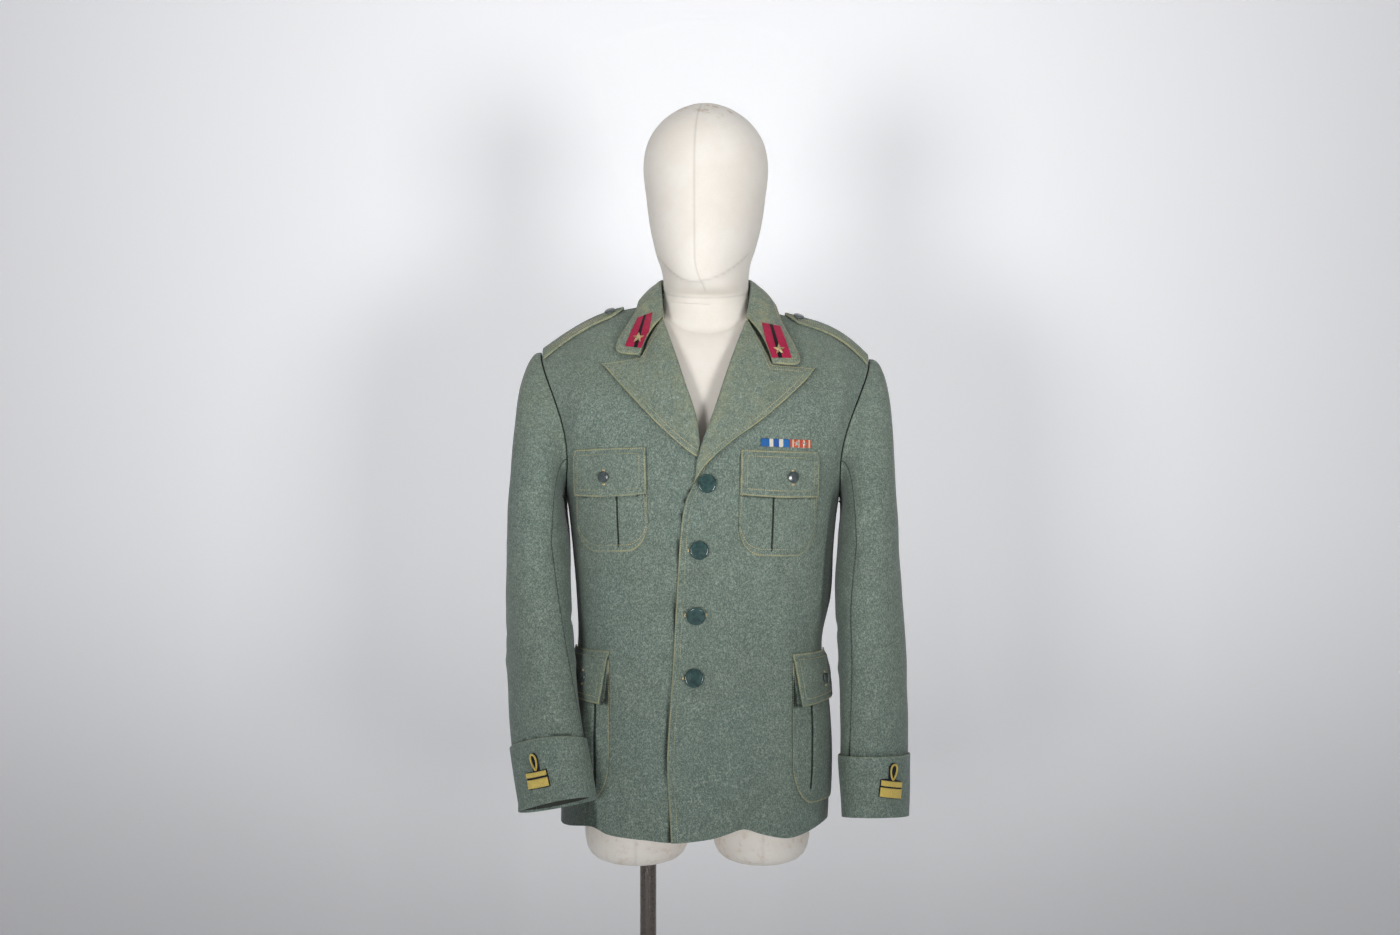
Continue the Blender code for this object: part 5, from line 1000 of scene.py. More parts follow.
def thread_look():
    look = Look("khaki_thread", roughness=0.7, sheen=0.1)
    dark, middle, light = srgb(140, 146, 114), srgb(186, 180, 132), srgb(216, 196, 152)
    base = look.ramp(look.value("tone"), ((0.15, dark), (0.5, middle), (0.9, light)))
    spun = look.ramp(look.noise(1500, 2.0), ((0.3, srgb(130, 120, 84)), (0.7, srgb(214, 204, 164))))
    return look.colour(look.mix(0.25, base, spun))


def felt_look(name, colour, stripe=None):
    look = Look(name, roughness=0.9, sheen=0.3, specular=0.15)
    nap = look.noise(1400, 3.0, 0.7)
    base = look.ramp(nap, ((0.3, toned(colour, 0.62)), (0.5, colour), (0.75, toned(colour, 1.5, 0.01))))
    cloud = look.ramp(look.noise(90, 2.0), ((0.3, 0.86), (0.7, 1.08)))
    base = look.times(base, cloud)
    if stripe:
        start, end = stripe
        line = look.ramp(look.value("across"), ((0.0, 0.0), (start, 1.0), (end, 0.0)), steps=True)
        base = look.mix(line, base, srgb(26, 24, 26))
    look.bump(nap, 0.4, 0.0003)
    return look.colour(base)


def gold_look():
    """Embroidery: yellow threads laid side by side."""
    look = Look("gold_thread", roughness=0.5, sheen=0.15, specular=0.5)
    ridges = look.ribs(0.4)
    dark, middle, light = srgb(176, 140, 44), srgb(230, 200, 86), srgb(250, 232, 132)
    base = look.ramp(ridges, ((0.05, dark), (0.45, middle), (0.9, light)))
    base = look.mix(look.ramp(look.noise(300, 2.0), ((0.4, 0.0), (0.7, 0.35))), base, srgb(214, 178, 72))
    look.bump(ridges, 0.5, 0.0004)
    return look.colour(base)


def metal_look(name, colour, roughness):
    look = Look(name, roughness=roughness, metallic=1.0)
    haze = look.noise(260, 3.0)
    base = look.mix(look.ramp(haze, ((0.45, 0.0), (0.8, 0.8))), colour, toned(colour, 0.55))
    rough = look.ramp(haze, ((0.3, roughness * 0.8), (0.7, roughness * 1.5)))
    look.join(rough, look.shader.inputs["Roughness"])
    return look.colour(base)


def button_look(name, dark, light):
    """Cast plastic with a faint swirl under the gloss and small scratches."""
    look = Look(name, roughness=0.22, coat=0.6, specular=0.6)
    swirl = look.noise(110, 3.0, 0.6, twist=1.2)
    base = look.ramp(swirl, ((0.3, dark), (0.7, light)))
    scratch = look.noise(700, 2.0, 0.6, stretch=(1.0, 1.0, 0.2))
    look.join(look.ramp(scratch, ((0.4, 0.16), (0.8, 0.34))), look.shader.inputs["Roughness"])
    look.bump(scratch, 0.08, 0.0002)
    return look.colour(base)


def ribbon_look(name, stops):
    look = Look(name, roughness=0.55, sheen=0.3)
    base = look.ramp(look.value("across"), stops, steps=True)
    ribs = look.ribs()
    look.bump(ribs, 0.4, 0.0003)
    return look.colour(look.times(base, look.ramp(ribs, ((0.1, 0.72), (0.7, 1.06)))))


def cover_look():
    """Ivory cotton, a little stained at the crown and yellowed low down."""
    look = Look("ivory_cotton", roughness=0.85, sheen=0.12, specular=0.2)
    weave = look.noise(1100, 2.0, 0.5)
    broad = look.noise(14, 3.0, 0.6)
    base = look.ramp(broad, ((0.3, srgb(240, 233, 223)), (0.7, srgb(247, 242, 234))))
    base = look.mix(look.ramp(weave, ((0.35, 0.22), (0.6, 0.0))), base, srgb(222, 212, 198))
    spots = look.ramp(look.noise(75, 4.0, 0.7), ((0.50, 0.0), (0.72, 1.0)))
    stain = look.sum(spots, look.value("stain"), "MULTIPLY")
    base = look.mix(stain, base, srgb(186, 150, 108))
    # The seam value darkens the cover: at its seams, and as painted shade under the head's chin
    seam = look.ramp(look.value("seam"), ((0.1, 1.0), (1.0, 0.80)))
    base = look.times(base, seam)
    look.bump(weave, 0.25, 0.0003)
    return look.colour(base)


LINING = lining_look("olive_lining", srgb(104, 92, 74), srgb(128, 114, 92))
SLEEVE_LINING = lining_look("dark_lining", srgb(44, 48, 44), srgb(58, 62, 54))
THREAD = thread_look()
CRIMSON = felt_look("crimson_felt", srgb(170, 38, 72), stripe=(0.40, 0.58))
NAVY = felt_look("navy_felt", srgb(38, 42, 54))
GOLD = gold_look()
STAR_METAL = metal_look("star_metal", srgb(226, 208, 158), 0.30)
RIBBON_STAR = metal_look("ribbon_star_metal", srgb(236, 234, 226), 0.30)
GREEN_BUTTON = button_look("green_button", srgb(34, 58, 58), srgb(54, 86, 84))
DARK_BUTTON = button_look("dark_button", srgb(54, 62, 64), srgb(84, 94, 94))
BLUE = ribbon_look(
    "blue_ribbon",
    (
        (0.0, srgb(30, 104, 176)),
        (0.29, srgb(232, 226, 208)),
        (0.42, srgb(28, 92, 166)),
        (0.62, srgb(232, 226, 208)),
        (0.76, srgb(36, 112, 184)),
    ),
)
ORANGE = ribbon_look(
    "orange_ribbon",
    (
        (0.0, srgb(206, 96, 66)),
        (0.09, srgb(226, 208, 178)),
        (0.16, srgb(208, 92, 62)),
        (0.36, srgb(228, 206, 176)),
        (0.43, srgb(204, 84, 58)),
        (0.60, srgb(226, 208, 178)),
        (0.67, srgb(206, 90, 62)),
        (0.86, srgb(228, 210, 182)),
        (0.93, srgb(210, 100, 70)),
    ),
)
COTTON = cover_look()


# Camera, light and stage


def stage_look(name, colour):
    look = Look(name, roughness=0.95, specular=0.1)
    return look, look.mix(look.noise(1.2, 2.0), colour, toned(colour, 0.965))


def plane(name, corners, look):
    item = make_mesh(name, corners, [(0, 1, 2, 3)], [look], smooth=False)
    return item


def area_light(name, place, target, size, power, spread=180):
    data = bpy.data.lights.new(name, "AREA")
    data.shape = "RECTANGLE"
    data.size, data.size_y = size
    data.energy = power
    data.spread = math.radians(spread)
    item = bpy.data.objects.new(name, data)
    bpy.context.scene.collection.objects.link(item)
    item.location = place
    item.rotation_euler = (Vector(target) - Vector(place)).to_track_quat("-Z", "Y").to_euler()


STAGE_HALF, STAGE_LOW_Z, WALL_Y, WALL_TOP_Z = 6, -0.001, 0.85, 5
GLOW_COLOUR, FLOOR_GLOW = (0.96, 0.97, 1.0, 1), 0.11
# The wall's glow is painted light, weaker towards the floor
WALL_GLOW = ((0.20, 0.10), (0.65, 0.275))       # half the height, and how strong the glow is there
CAMERA_PLACE = (-0.008, -2.625, 1.34)


def build_stage():
    camera = bpy.data.objects.new("camera", bpy.data.cameras.new("camera"))
    camera.data.lens, camera.data.sensor_width = 50, 36
    camera.data.clip_start, camera.data.clip_end = 0.05, 60
    camera.location = CAMERA_PLACE
    camera.rotation_euler = (math.radians(90), 0, 0)
    bpy.context.scene.collection.objects.link(camera)
    bpy.context.scene.camera = camera

    world = bpy.data.worlds.new("studio")
    bpy.context.scene.world = world
    world.use_nodes = True
    sky = world.node_tree.nodes["Background"].inputs
    sky["Color"].default_value = (0.97, 0.98, 1.0, 1)
    sky["Strength"].default_value = 0.14
    bpy.context.scene.view_settings.view_transform = "Standard"

    look, floor_colour = stage_look("pale_floor", srgb(240, 240, 241))
    look.shader.inputs["Emission Color"].default_value = GLOW_COLOUR
    look.shader.inputs["Emission Strength"].default_value = FLOOR_GLOW
    half, low = STAGE_HALF, STAGE_LOW_Z
    corners = ((-half, -half, low), (half, -half, low), (half, half, low), (-half, half, low))
    plane("floor", corners, look.colour(floor_colour))
    look, wall_colour = stage_look("pale_wall", srgb(240, 240, 242))
    wall = look.colour(wall_colour)
    look.shader.inputs["Emission Color"].default_value = GLOW_COLOUR
    # Painted light: the wall glows, less low down
    glow = look.ramp(look.sum(look.part("Z"), 0.5, "MULTIPLY"), WALL_GLOW)
    look.join(glow, look.shader.inputs["Emission Strength"])
    nodes, links = look.tree.nodes, look.tree.links
    clear = nodes.new("ShaderNodeBsdfTransparent")
    pick = nodes.new("ShaderNodeMixShader")
    links.new(nodes.new("ShaderNodeNewGeometry").outputs["Backfacing"], pick.inputs[0])
    links.new(look.shader.outputs[0], pick.inputs[1])
    links.new(clear.outputs[0], pick.inputs[2])
    links.new(pick.outputs[0], nodes["Material Output"].inputs["Surface"])
    y, top = WALL_Y, WALL_TOP_Z
    corners = ((-half, y, low), (half, y, low), (half, y, top), (-half, y, top))
    plane("wall", corners, wall)

    area_light("ceiling", (0.0, -0.6, 3.1), (0, 0.1, 1.2), (2.6, 2.0), 8)
    area_light("front_left", (-1.30, -3.2, 1.08), (0, 0.1, 1.72), (0.80, 0.80), 3.55, spread=46)
    area_light("front_right", (1.30, -3.2, 1.08), (0, 0.1, 1.72), (0.80, 0.80), 3.75, spread=46)
    area_light("behind", (0.4, 3.2, 2.6), (0, 0, 1.2), (2.4, 1.6), 14)


# Panels


EDGE_COLUMN = {LEFT: "over", RIGHT: "under"}
ROW_STEP = 0.006
HEM_ROWS_TOP_Z = 0.95       # the lowest rows follow the hem more the lower they are
HEM_SHARES = spaced(0.09, ROW_STEP, ends=(True, False))


def inner_across(side, level):
    """The place across of a front's free edge or roll line at levels."""
    column = EDGE_COLUMN[side]
    level = np.asarray(level, float)
    low_part = across_at(along(FRONT_EDGES, level, column), np.minimum(level, CHEST_Z), FRONT)
    low, high = np.full_like(level, -0.2 * side), np.full_like(level, 0.6 * side)
    for _ in range(34):
        middle = (low + high) / 2
        point = body_point(middle, level, FRONT)
        past = side * (point[..., 0] - along(FRONT_EDGES, point[..., 2], column)) > 0
        low, high = np.where(past, low, middle), np.where(past, middle, high)
    above = np.where(level >= SEAM_LEVEL, side * NECK_SHARE, (low + high) / 2)
    return np.where(level <= CHEST_Z, low_part, above)


def panel_levels(start):
    """Levels of a panel's rows from its hem to the shoulder seam."""
    low = start + (HEM_ROWS_TOP_Z - start) * HEM_SHARES
    middle = np.arange(0.956, CHEST_Z, ROW_STEP)
    high = CHEST_Z + SHOULDER_RISE * spaced(0.215, ROW_STEP, ends=(False, True))
    return np.concatenate([low, middle, high])


def arm_shade(side, place):
    """How deep points of a front, or of what lies on it, are in the sleeve's shade."""
    start = along(ARM_SHADE[side], place[..., 2], "x")
    below_arm = ease((ARM_TOP_Z - place[..., 2]) / ARM_RISE)
    return ARM_DARK * below_arm * ease((side * (place[..., 0] - start) + ARM_EDGE) / ARM_FADE)


def line_distance(x, z, line):
    """Distances in the front view from points to a line of points."""
    nearest = np.full(x.shape, 9.0)
    for (ax, az), (bx, bz) in zip(line[:-1], line[1:]):
        run = (bx - ax) ** 2 + (bz - az) ** 2
        f = np.clip(((x - ax) * (bx - ax) + (z - az) * (bz - az)) / run, 0, 1)
        nearest = np.minimum(nearest, np.hypot(x - ax - f * (bx - ax), z - az - f * (bz - az)))
    return nearest


def front_panel(side):
    lowest = FRONT_EDGES[0].height
    start = across_at(along(FRONT_EDGES, lowest, EDGE_COLUMN[side]), lowest, FRONT)
    spread = spaced(0.26, 0.005)
    hem_across = start + (side - start) * spread
    hem = along(HEM, section_point(hem_across, BACK_HEM_Z, FRONT)[:, 0], "height")
    rows = []
    for i, level in enumerate(panel_levels(BACK_HEM_Z)):
        level_row = np.full(len(spread), level)
        if i < len(HEM_SHARES):
            level_row = hem + (HEM_ROWS_TOP_Z - hem) * HEM_SHARES[i]
        inner = inner_across(side, level_row)
        rows.append(jacket_point(inner + (side - inner) * spread, level_row, FRONT))
    grid = np.array(rows)
    normals = grid_normals(grid)
    if side == LEFT:
        grid = grid + normals * lap_lift(grid[..., 0])[..., None]
    grid[:, -1] += unit(grid[:, -2] - grid[:, -1]) * SEAM / 2
    grid[-1] += unit(grid[-2] - grid[-1]) * SEAM / 2
    normals = grid_normals(grid)
    normals[:, -1, 1] = 0       # at a seam the normals lie in its plane, so that two pieces meet edge to edge
    normals[-1, :, 1] = 0
    normals = unit(normals)
    height = grid[..., 2]
    sunned = SUN_WEAR * ease((height - SUN_FROM_Z) / SUN_RISE)
    low = np.minimum(height, CHEST_Z)
    reach = np.abs(grid[..., 0] - along(TORSO, low, "shift")) / along(TORSO, low, "half_width")
    under_arm = SIDE_SHADE * ease((reach - SIDE_FROM) / SIDE_FADE) * ease((SIDE_TOP_Z - height) / SIDE_RISE)
    beside = along(FRONT_EDGES, np.clip(height, lowest, LAPEL_FOOT_Z), "over") - grid[..., 0]
    by_edge = LAP_SHADE * bell(beside - LAP_OUT, LAP_WIDE) * ease((LAP_TOP_Z - height) / LAP_RISE)
    lapel_edge = [(row.edge_x, row.edge_z) for row in LAPEL[side]]
    collar_edge = [(row.edge_x, row.edge_z) for row in COLLAR[side][4:]]
    near = np.minimum(line_distance(grid[..., 0], height, lapel_edge),
                      line_distance(grid[..., 0], height, collar_edge))
    under_lapel = LAPEL_SHADE * bell(near, LAPEL_SHADE_WIDE)
    shadows = np.maximum(under_arm, arm_shade(side, grid)) + under_lapel + (by_edge if side == RIGHT else 0.0)
    item = cloth(
        "cloth_front_" + WORD[side], "front_" + WORD[side], grid, normals, [WOOL, LINING],
        stitched=("first_column",) if side == LEFT else (), worn=sunned, seams=("last_column", "last_row"),
        shadows=shadows,
    )


def back_panel():
    share = np.unique(np.concatenate([spaced(0.5, 0.0055), [0.5 - NECK_SHARE / 2, 0.5 + NECK_SHARE / 2]]))
    spread = -1 + 2 * share
    rows = [jacket_point(spread, np.full(len(spread), level), BACK) for level in panel_levels(BACK_HEM_Z)]
    grid = np.array(rows)
    seam = 0.0012 * bell(grid[..., 0], SEAM_WIDE) * ease((SEAM_LEVEL - 0.01 - grid[..., 2]) / 0.05)
    for column, neighbour in ((0, 1), (-1, -2)):
        grid[:, column] += unit(grid[:, neighbour] - grid[:, column]) * SEAM / 2
    grid[-1] += unit(grid[-2] - grid[-1]) * SEAM / 2
    normals = grid_normals(grid)
    shoulders = np.abs(spread) >= NECK_SHARE
    normals[:, 0, 1] = 0
    normals[:, -1, 1] = 0
    normals[-1, shoulders, 1] = 0
    normals = unit(normals)
    item = cloth(
        "cloth_back", "back", grid, normals, [WOOL, LINING],
        worn=0.08 * ease((grid[..., 2] - 1.42) / SUN_RISE), dips=seam * 0.55,
        seams=("first_column", "last_column"),
    )


# Sleeves


def armhole_loop(side, count):
    """The armhole's edge from the shoulder tip forward, down, and up the back, in equal steps."""
    level = np.concatenate([
        ARMPIT_Z + (CHEST_Z - ARMPIT_Z) * (1 - np.cos(np.linspace(0, math.pi / 2, 40))),
        np.linspace(CHEST_Z, SEAM_LEVEL, 60)[1:],
    ])
    ends = np.full(len(level), float(side))
    front = jacket_point(ends, level, FRONT)
    back = jacket_point(ends, level, BACK)
    line = np.concatenate([front[::-1], back[1:]])
    lengths = np.concatenate([[0], np.cumsum(np.linalg.norm(np.diff(line, axis=0), axis=1))])
    want = lengths[-1] * np.asarray(count) / SLEEVE_STEPS
    return np.stack([np.interp(want % lengths[-1], lengths, line[:, c]) for c in range(3)], -1)


def ring_point(side, k, z, grow=0.0):
    table = SLEEVE[side]
    wide = along(table, z, "half_width") + grow
    deep = along(table, z, "half_depth") + grow
    turn = np.radians(along(table, z, "turn"))
    angle = 2 * math.pi * np.asarray(k) / SLEEVE_STEPS
    power = 2 / RING_SQUARE
    out = np.sign(np.cos(angle)) * np.abs(np.cos(angle)) ** power * wide
    fore = np.sign(np.sin(angle)) * np.abs(np.sin(angle)) ** power * deep
    x = out * np.cos(turn) - fore * np.sin(turn)
    y = -out * np.sin(turn) - fore * np.cos(turn)
    return points(along(table, z, "x") + side * x, along(table, z, "y") + y, z)


def head_rows(side, k, shares):
    start = armhole_loop(side, k % SLEEVE_STEPS) + np.array((side * 2 * SEAM, 0, 0))
    end = ring_point(side, k, np.full(len(k), SLEEVE_TOP_Z))
    up = (1 + np.cos(2 * math.pi * k / SLEEVE_STEPS)) / 2
    leave = points(side * (PIT_OUT + HEAD_OUT * up), 0, HEAD_LIFT * up - PIT_DIP * (1 - up))
    reach = points(-side * HEAD_TUCK * up, 0, PIT_FALL + (HEAD_FALL - PIT_FALL) * up)
    return [bezier(start, start + leave, end + reach, end, np.full(len(k), share)) for share in shares]


def cuff_line(side, k):
    """Heights of the cuff's top and lower edges round the sleeve."""
    ring = SLEEVE[side][0]
    place = ring_point(side, k, np.full(len(k), ring.height))
    bottom = ring.height - CUFF_TILT[side] * (place[..., 1] - ring.y)
    bottom = bottom - side * CUFF_LEAN[side] * (place[..., 0] - ring.x)
    top = bottom + CUFF_HEIGHT[side]
    top = top + CUFF_EVEN[side] * (CUFF_TOP[side] - top)
    return top, bottom


def cuff_grid(side, k, shares, grow):
    top, bottom = cuff_line(side, k)
    low = SLEEVE[side][0].height
    rows = []
    for share in shares:
        z = top + (bottom - top) * share
        row = ring_point(side, k, np.maximum(z, low), grow)
        row[..., 2] = z
        rows.append(row)
    return rows


def crease_height(side, k, z):
    total = np.zeros(k.shape)
    for c in SLEEVE_CREASES[side]:
        for turn in (0, SLEEVE_STEPS, -SLEEVE_STEPS):
            run = (k + turn) * STEP_RUN
            share = ridge(run, z, c.k0 * STEP_RUN, c.z0, c.k1 * STEP_RUN, c.z1, c.width, 0.25, 0.45)
            total += c.height * share
    return total


def sleeve_grid(side, k):
    head = spaced(0.26, 0.005, ends=(True, False))
    rows = head_rows(side, k, head)
    for z in np.arange(SLEEVE_TOP_Z - 0.005, 0.990, -0.005):
        rows.append(ring_point(side, k, np.full(len(k), z)))
    rows += cuff_grid(side, k, np.linspace(0.0, 0.95, 14), 0.0)
    grid = np.array(rows)
    centre = grid.mean(axis=1, keepdims=True)
    normals = grid_normals(grid, guide=grid - centre)
    z = grid[..., 2]
    wide_k = np.broadcast_to(k, z.shape)
    free = ease((z - CUFF_TOP[side] - 0.004) / 0.03)
    near_seam = np.abs((np.abs((wide_k + 9) % SLEEVE_STEPS - 9)) - SEAM_STEP)
    calm = free * ease(near_seam / 0.5) * ease(arcs(grid, 0) / 0.02)
    height = crease_height(side, wide_k, z) + uneven(wide_k * STEP_RUN, z, 0.0008, 2.0 + side)
    return grid + normals * (calm * height)[..., None]


def sleeve(side):
    word = WORD[side]
    whole = np.linspace(0, SLEEVE_STEPS, SLEEVE_STEPS * 9, endpoint=False)
    centre = np.array([row.mean(axis=0) for row in sleeve_grid(side, whole)])[:, None]
    spans = {"top": (-SEAM_STEP, SEAM_STEP, 0.26), "under": (SEAM_STEP, SLEEVE_STEPS - SEAM_STEP, 0.13)}
    for part, (low, high, width) in spans.items():
        k = low + (high - low) * spaced(width, width / 40)
        grid = sleeve_grid(side, k)
        normals = grid_normals(grid, guide=grid - centre)
        for column, neighbour in ((0, 1), (-1, -2)):
            grid[:, column] += unit(grid[:, neighbour] - grid[:, column]) * SEAM / 2
        sunned = SUN_WEAR * ease((grid[..., 2] - ARMPIT_Z) / 0.15) if part == "top" else 0.0
        top_edge, _ = cuff_line(side, k)
        # Painted shadow: a dark line on the sleeve just above the cuff's top edge
        painted_shade_over_cuff = 0.7 * bell(grid[..., 2] - top_edge - 0.0010, SEAM_WIDE)
        item = cloth(
            f"cloth_sleeve_{part}_{word}", f"sleeve_{part}_{word}", grid, normals, [WOOL, SLEEVE_LINING],
            worn=sunned, seams=("first_row", "first_column", "last_column"), shadows=painted_shade_over_cuff,
        )


def cuff(side):
    word = WORD[side]
    lift = STANDOFF + CLOTH
    k = np.linspace(0, SLEEVE_STEPS, 150, endpoint=False)
    grid = np.array(cuff_grid(side, k, spaced(CUFF_HEIGHT[side], 0.004), lift))
    centre = grid.mean(axis=1, keepdims=True)
    normals = grid_normals(grid, wrap=True, guide=grid - centre)
    wave = uneven(np.broadcast_to(k, grid.shape[:2]) * STEP_RUN, grid[..., 2], 0.0005, 5.0 + side)
    grid = grid + normals * (np.maximum(wave, -0.0004) * ease(arcs(grid, 0) / 0.01))[..., None]
    item = cloth(
        "cloth_cuff_" + word, "cuff_" + word, grid, normals, [WOOL, WOOL], wrap=True,
        worn=0.35 * bell(arcs(grid, 0), SEAM_WIDE),
    )


# Collar and lapels


def collar_place(side, q, f):
    table = COLLAR[side]
    fold = points(*(along(table, q, c) for c in ("fold_x", "fold_y", "fold_z")))
    edge = points(*(along(table, q, c) for c in ("edge_x", "edge_y", "edge_z")))
    f = np.asarray(f, float)
    bulge = np.linalg.norm(edge - fold, axis=-1) * FALL_BULGE * np.sin(math.pi * f)
    away = fold + edge
    away[..., 2] = 0
    away = unit(away)
    away[..., 2] = BULGE_RISE
    return fold + (edge - fold) * f[..., None] + away * bulge[..., None]


def collar_column(side, q):
    """A section of the collar: up the stand's inner face, over the fold and down the fall."""
    fold = collar_place(side, q, 0.0)
    last = collar_place(side, q, 1.0)
    away = last - fold
    away[2] = 0
    away = unit(away)
    stand = STAND_DROP + (STAND_END - STAND_DROP) * ease((q - 0.35) / 0.65)
    lean = away * 0.001
    down = np.array((0, 0, 1.0))
    knots = [
        fold - away * FOLD_ROUND - down * stand + lean,
        fold - away * FOLD_ROUND - down * stand * 0.5 + lean,
        fold - away * FOLD_ROUND * 0.75 - down * FOLD_ROUND * 0.45,
        fold,
        collar_place(side, q, FALL_FROM),
        collar_place(side, q, FALL_NEXT),
    ]
    line = []
    for i in range(4):
        p0 = knots[max(i - 1, 0)]
        p1, p2, p3 = knots[i], knots[i + 1], knots[min(i + 2, 5)]
        for f in np.arange(0, 1, 0.125 if i < 2 else 0.2):
            line.append(
                0.5 * (2 * p1 + (p2 - p0) * f + (2 * p0 - 5 * p1 + 4 * p2 - p3) * f ** 2
                       + (3 * p1 - p0 - 3 * p2 + p3) * f ** 3)
            )
    for f in FALL_FROM + (1 - FALL_FROM) * spaced(0.045, 0.0025, ends=(False, True)):
        line.append(collar_place(side, q, f))
    return line


def collar():
    q = spaced(0.21, 0.0035, ends=(False, True))
    columns = [collar_column(RIGHT, s) for s in q[::-1]] + [collar_column(LEFT, s) for s in q[1:]]
    grid = np.array(columns)
    core = grid[:, :1] * 0.5 + grid[:, -8:-7] * 0.5
    normals = grid_normals(grid, guide=grid - core)
    worn = 0.32 * bell(arcs(grid, 1) - 0.036, 0.010)
    item = cloth(
        "cloth_collar", "collar", grid, normals, [WOOL_COLLAR, WOOL_COLLAR],
        stitched=("last_column", "first_row", "last_row"), worn=worn,
    )


def lapel_place(side, r, f):
    rows = LAPEL[side]
    spot = r * (len(rows) - 1)
    roll = np.stack([along(rows, spot, "roll_x"), along(rows, spot, "roll_z")], -1)
    edge = np.stack([along(rows, spot, "edge_x"), along(rows, spot, "edge_z")], -1)
    f = np.asarray(f, float)[..., None]
    place = roll + (edge - roll) * f
    top_roll = np.array((rows[-1].roll_x, rows[-1].roll_z))
    peak = np.array((rows[-1].edge_x, rows[-1].edge_z))
    below = top_roll + (NOTCH[side] - top_roll) * f / NOTCH_SHARE
    above = NOTCH[side] + (peak - NOTCH[side]) * (f - NOTCH_SHARE) / (1 - NOTCH_SHARE)
    target = np.where(f < NOTCH_SHARE, below, above)
    return place + (target - (top_roll + (peak - top_roll) * f)) * np.asarray(r, float)[..., None] ** 5


def lapel(side):
    word = WORD[side]
    r = spaced(0.235, 0.004)
    f = spaced(0.105, 0.004, ends=(False, True))
    rr, ff = np.meshgrid(r, f, indexing="ij")
    place = lapel_place(side, rr, ff)
    swell = 0.0012 * np.sin(math.pi * ff) * np.sin(math.pi * rr) ** 0.5
    swell = swell + 0.0016 * ff ** 3 * ease(rr / 0.25)
    lift = STANDOFF + ROLL_LIFT * (1 - ff) ** 2 * ease(rr / 0.3) + swell
    flat, normals = on_front(side, place[..., 0], place[..., 1], 0.0)
    outer = flat + normals * (lift + CLOTH)[..., None]
    # The roll: the lapel turns under itself towards the edge of the front
    turn = unit(outer[:, 0] - outer[:, 1])
    radius = (lift[:, 0] + CLOTH + CLOTH * 0.6) / 2 * ease(r / 0.12)
    centre = outer[:, 0] - normals[:, 0] * radius[:, None]
    angles = np.radians((150, 125, 100, 75, 50, 25))
    spokes = [turn * math.sin(a) + normals[:, 0] * math.cos(a) for a in angles]
    rolled = [centre + spoke * radius[:, None] for spoke in spokes]
    grid = np.concatenate([np.stack(rolled, 1), outer], 1)
    all_normals = np.concatenate([np.stack(spokes, 1), normals], 1)
    item = cloth(
        "cloth_lapel_" + word, "lapel_" + word, grid, all_normals, [WOOL_SUNNED, WOOL_SUNNED],
        thick=CLOTH * 0.9, stitched=("last_column", "last_row"),
        worn=0.06 + 0.20 * bell(arcs(grid, 1) - 0.012, 0.006),
    )


# Pockets


SLIT_DEEP, SLIT_WIDE, HIP_SLIT_WIDE = 0.0016, 0.0011, 0.0018
HOLE_WAY, HOLE_REACHES = (0, 0, 1), (0.55, -0.62)       # a small button's hole, above and below the button


def pocket_bottom(across, height, corner):
    past = np.maximum((np.abs(across) - CORNER_FROM) / (1 - CORNER_FROM), 0.0)
    return height - corner * (1 - np.sqrt(np.maximum(1 - past ** 2, 0.0)))


def pleat_columns(width, pleat_place):
    """Places across a pocket, fine at its edges and at its pleat."""
    spots = list(2 * spaced(width, 0.004) - 1)
    half = width / 2
    near = (-0.0028, -0.0018, -0.0011, -0.0007, 0.0, 0.0007, 0.0011, 0.0018, 0.0028)
    spots += [pleat_place + d / half for d in near]
    line = sorted(spots)
    kept = [line[0]]
    for spot in line[1:]:
        if spot - kept[-1] > 0.00025 / half:
            kept.append(spot)
    return np.array(kept)


def pleat(off, down, end, wide):
    """The dent of a pleat's slit, deep, and painted dark as shade by the cloth."""
    ends = ease(down / 0.004) * ease((end - down) / 0.006)
    return SLIT_DEEP * np.exp(-((off / wide) ** 4)) * ends


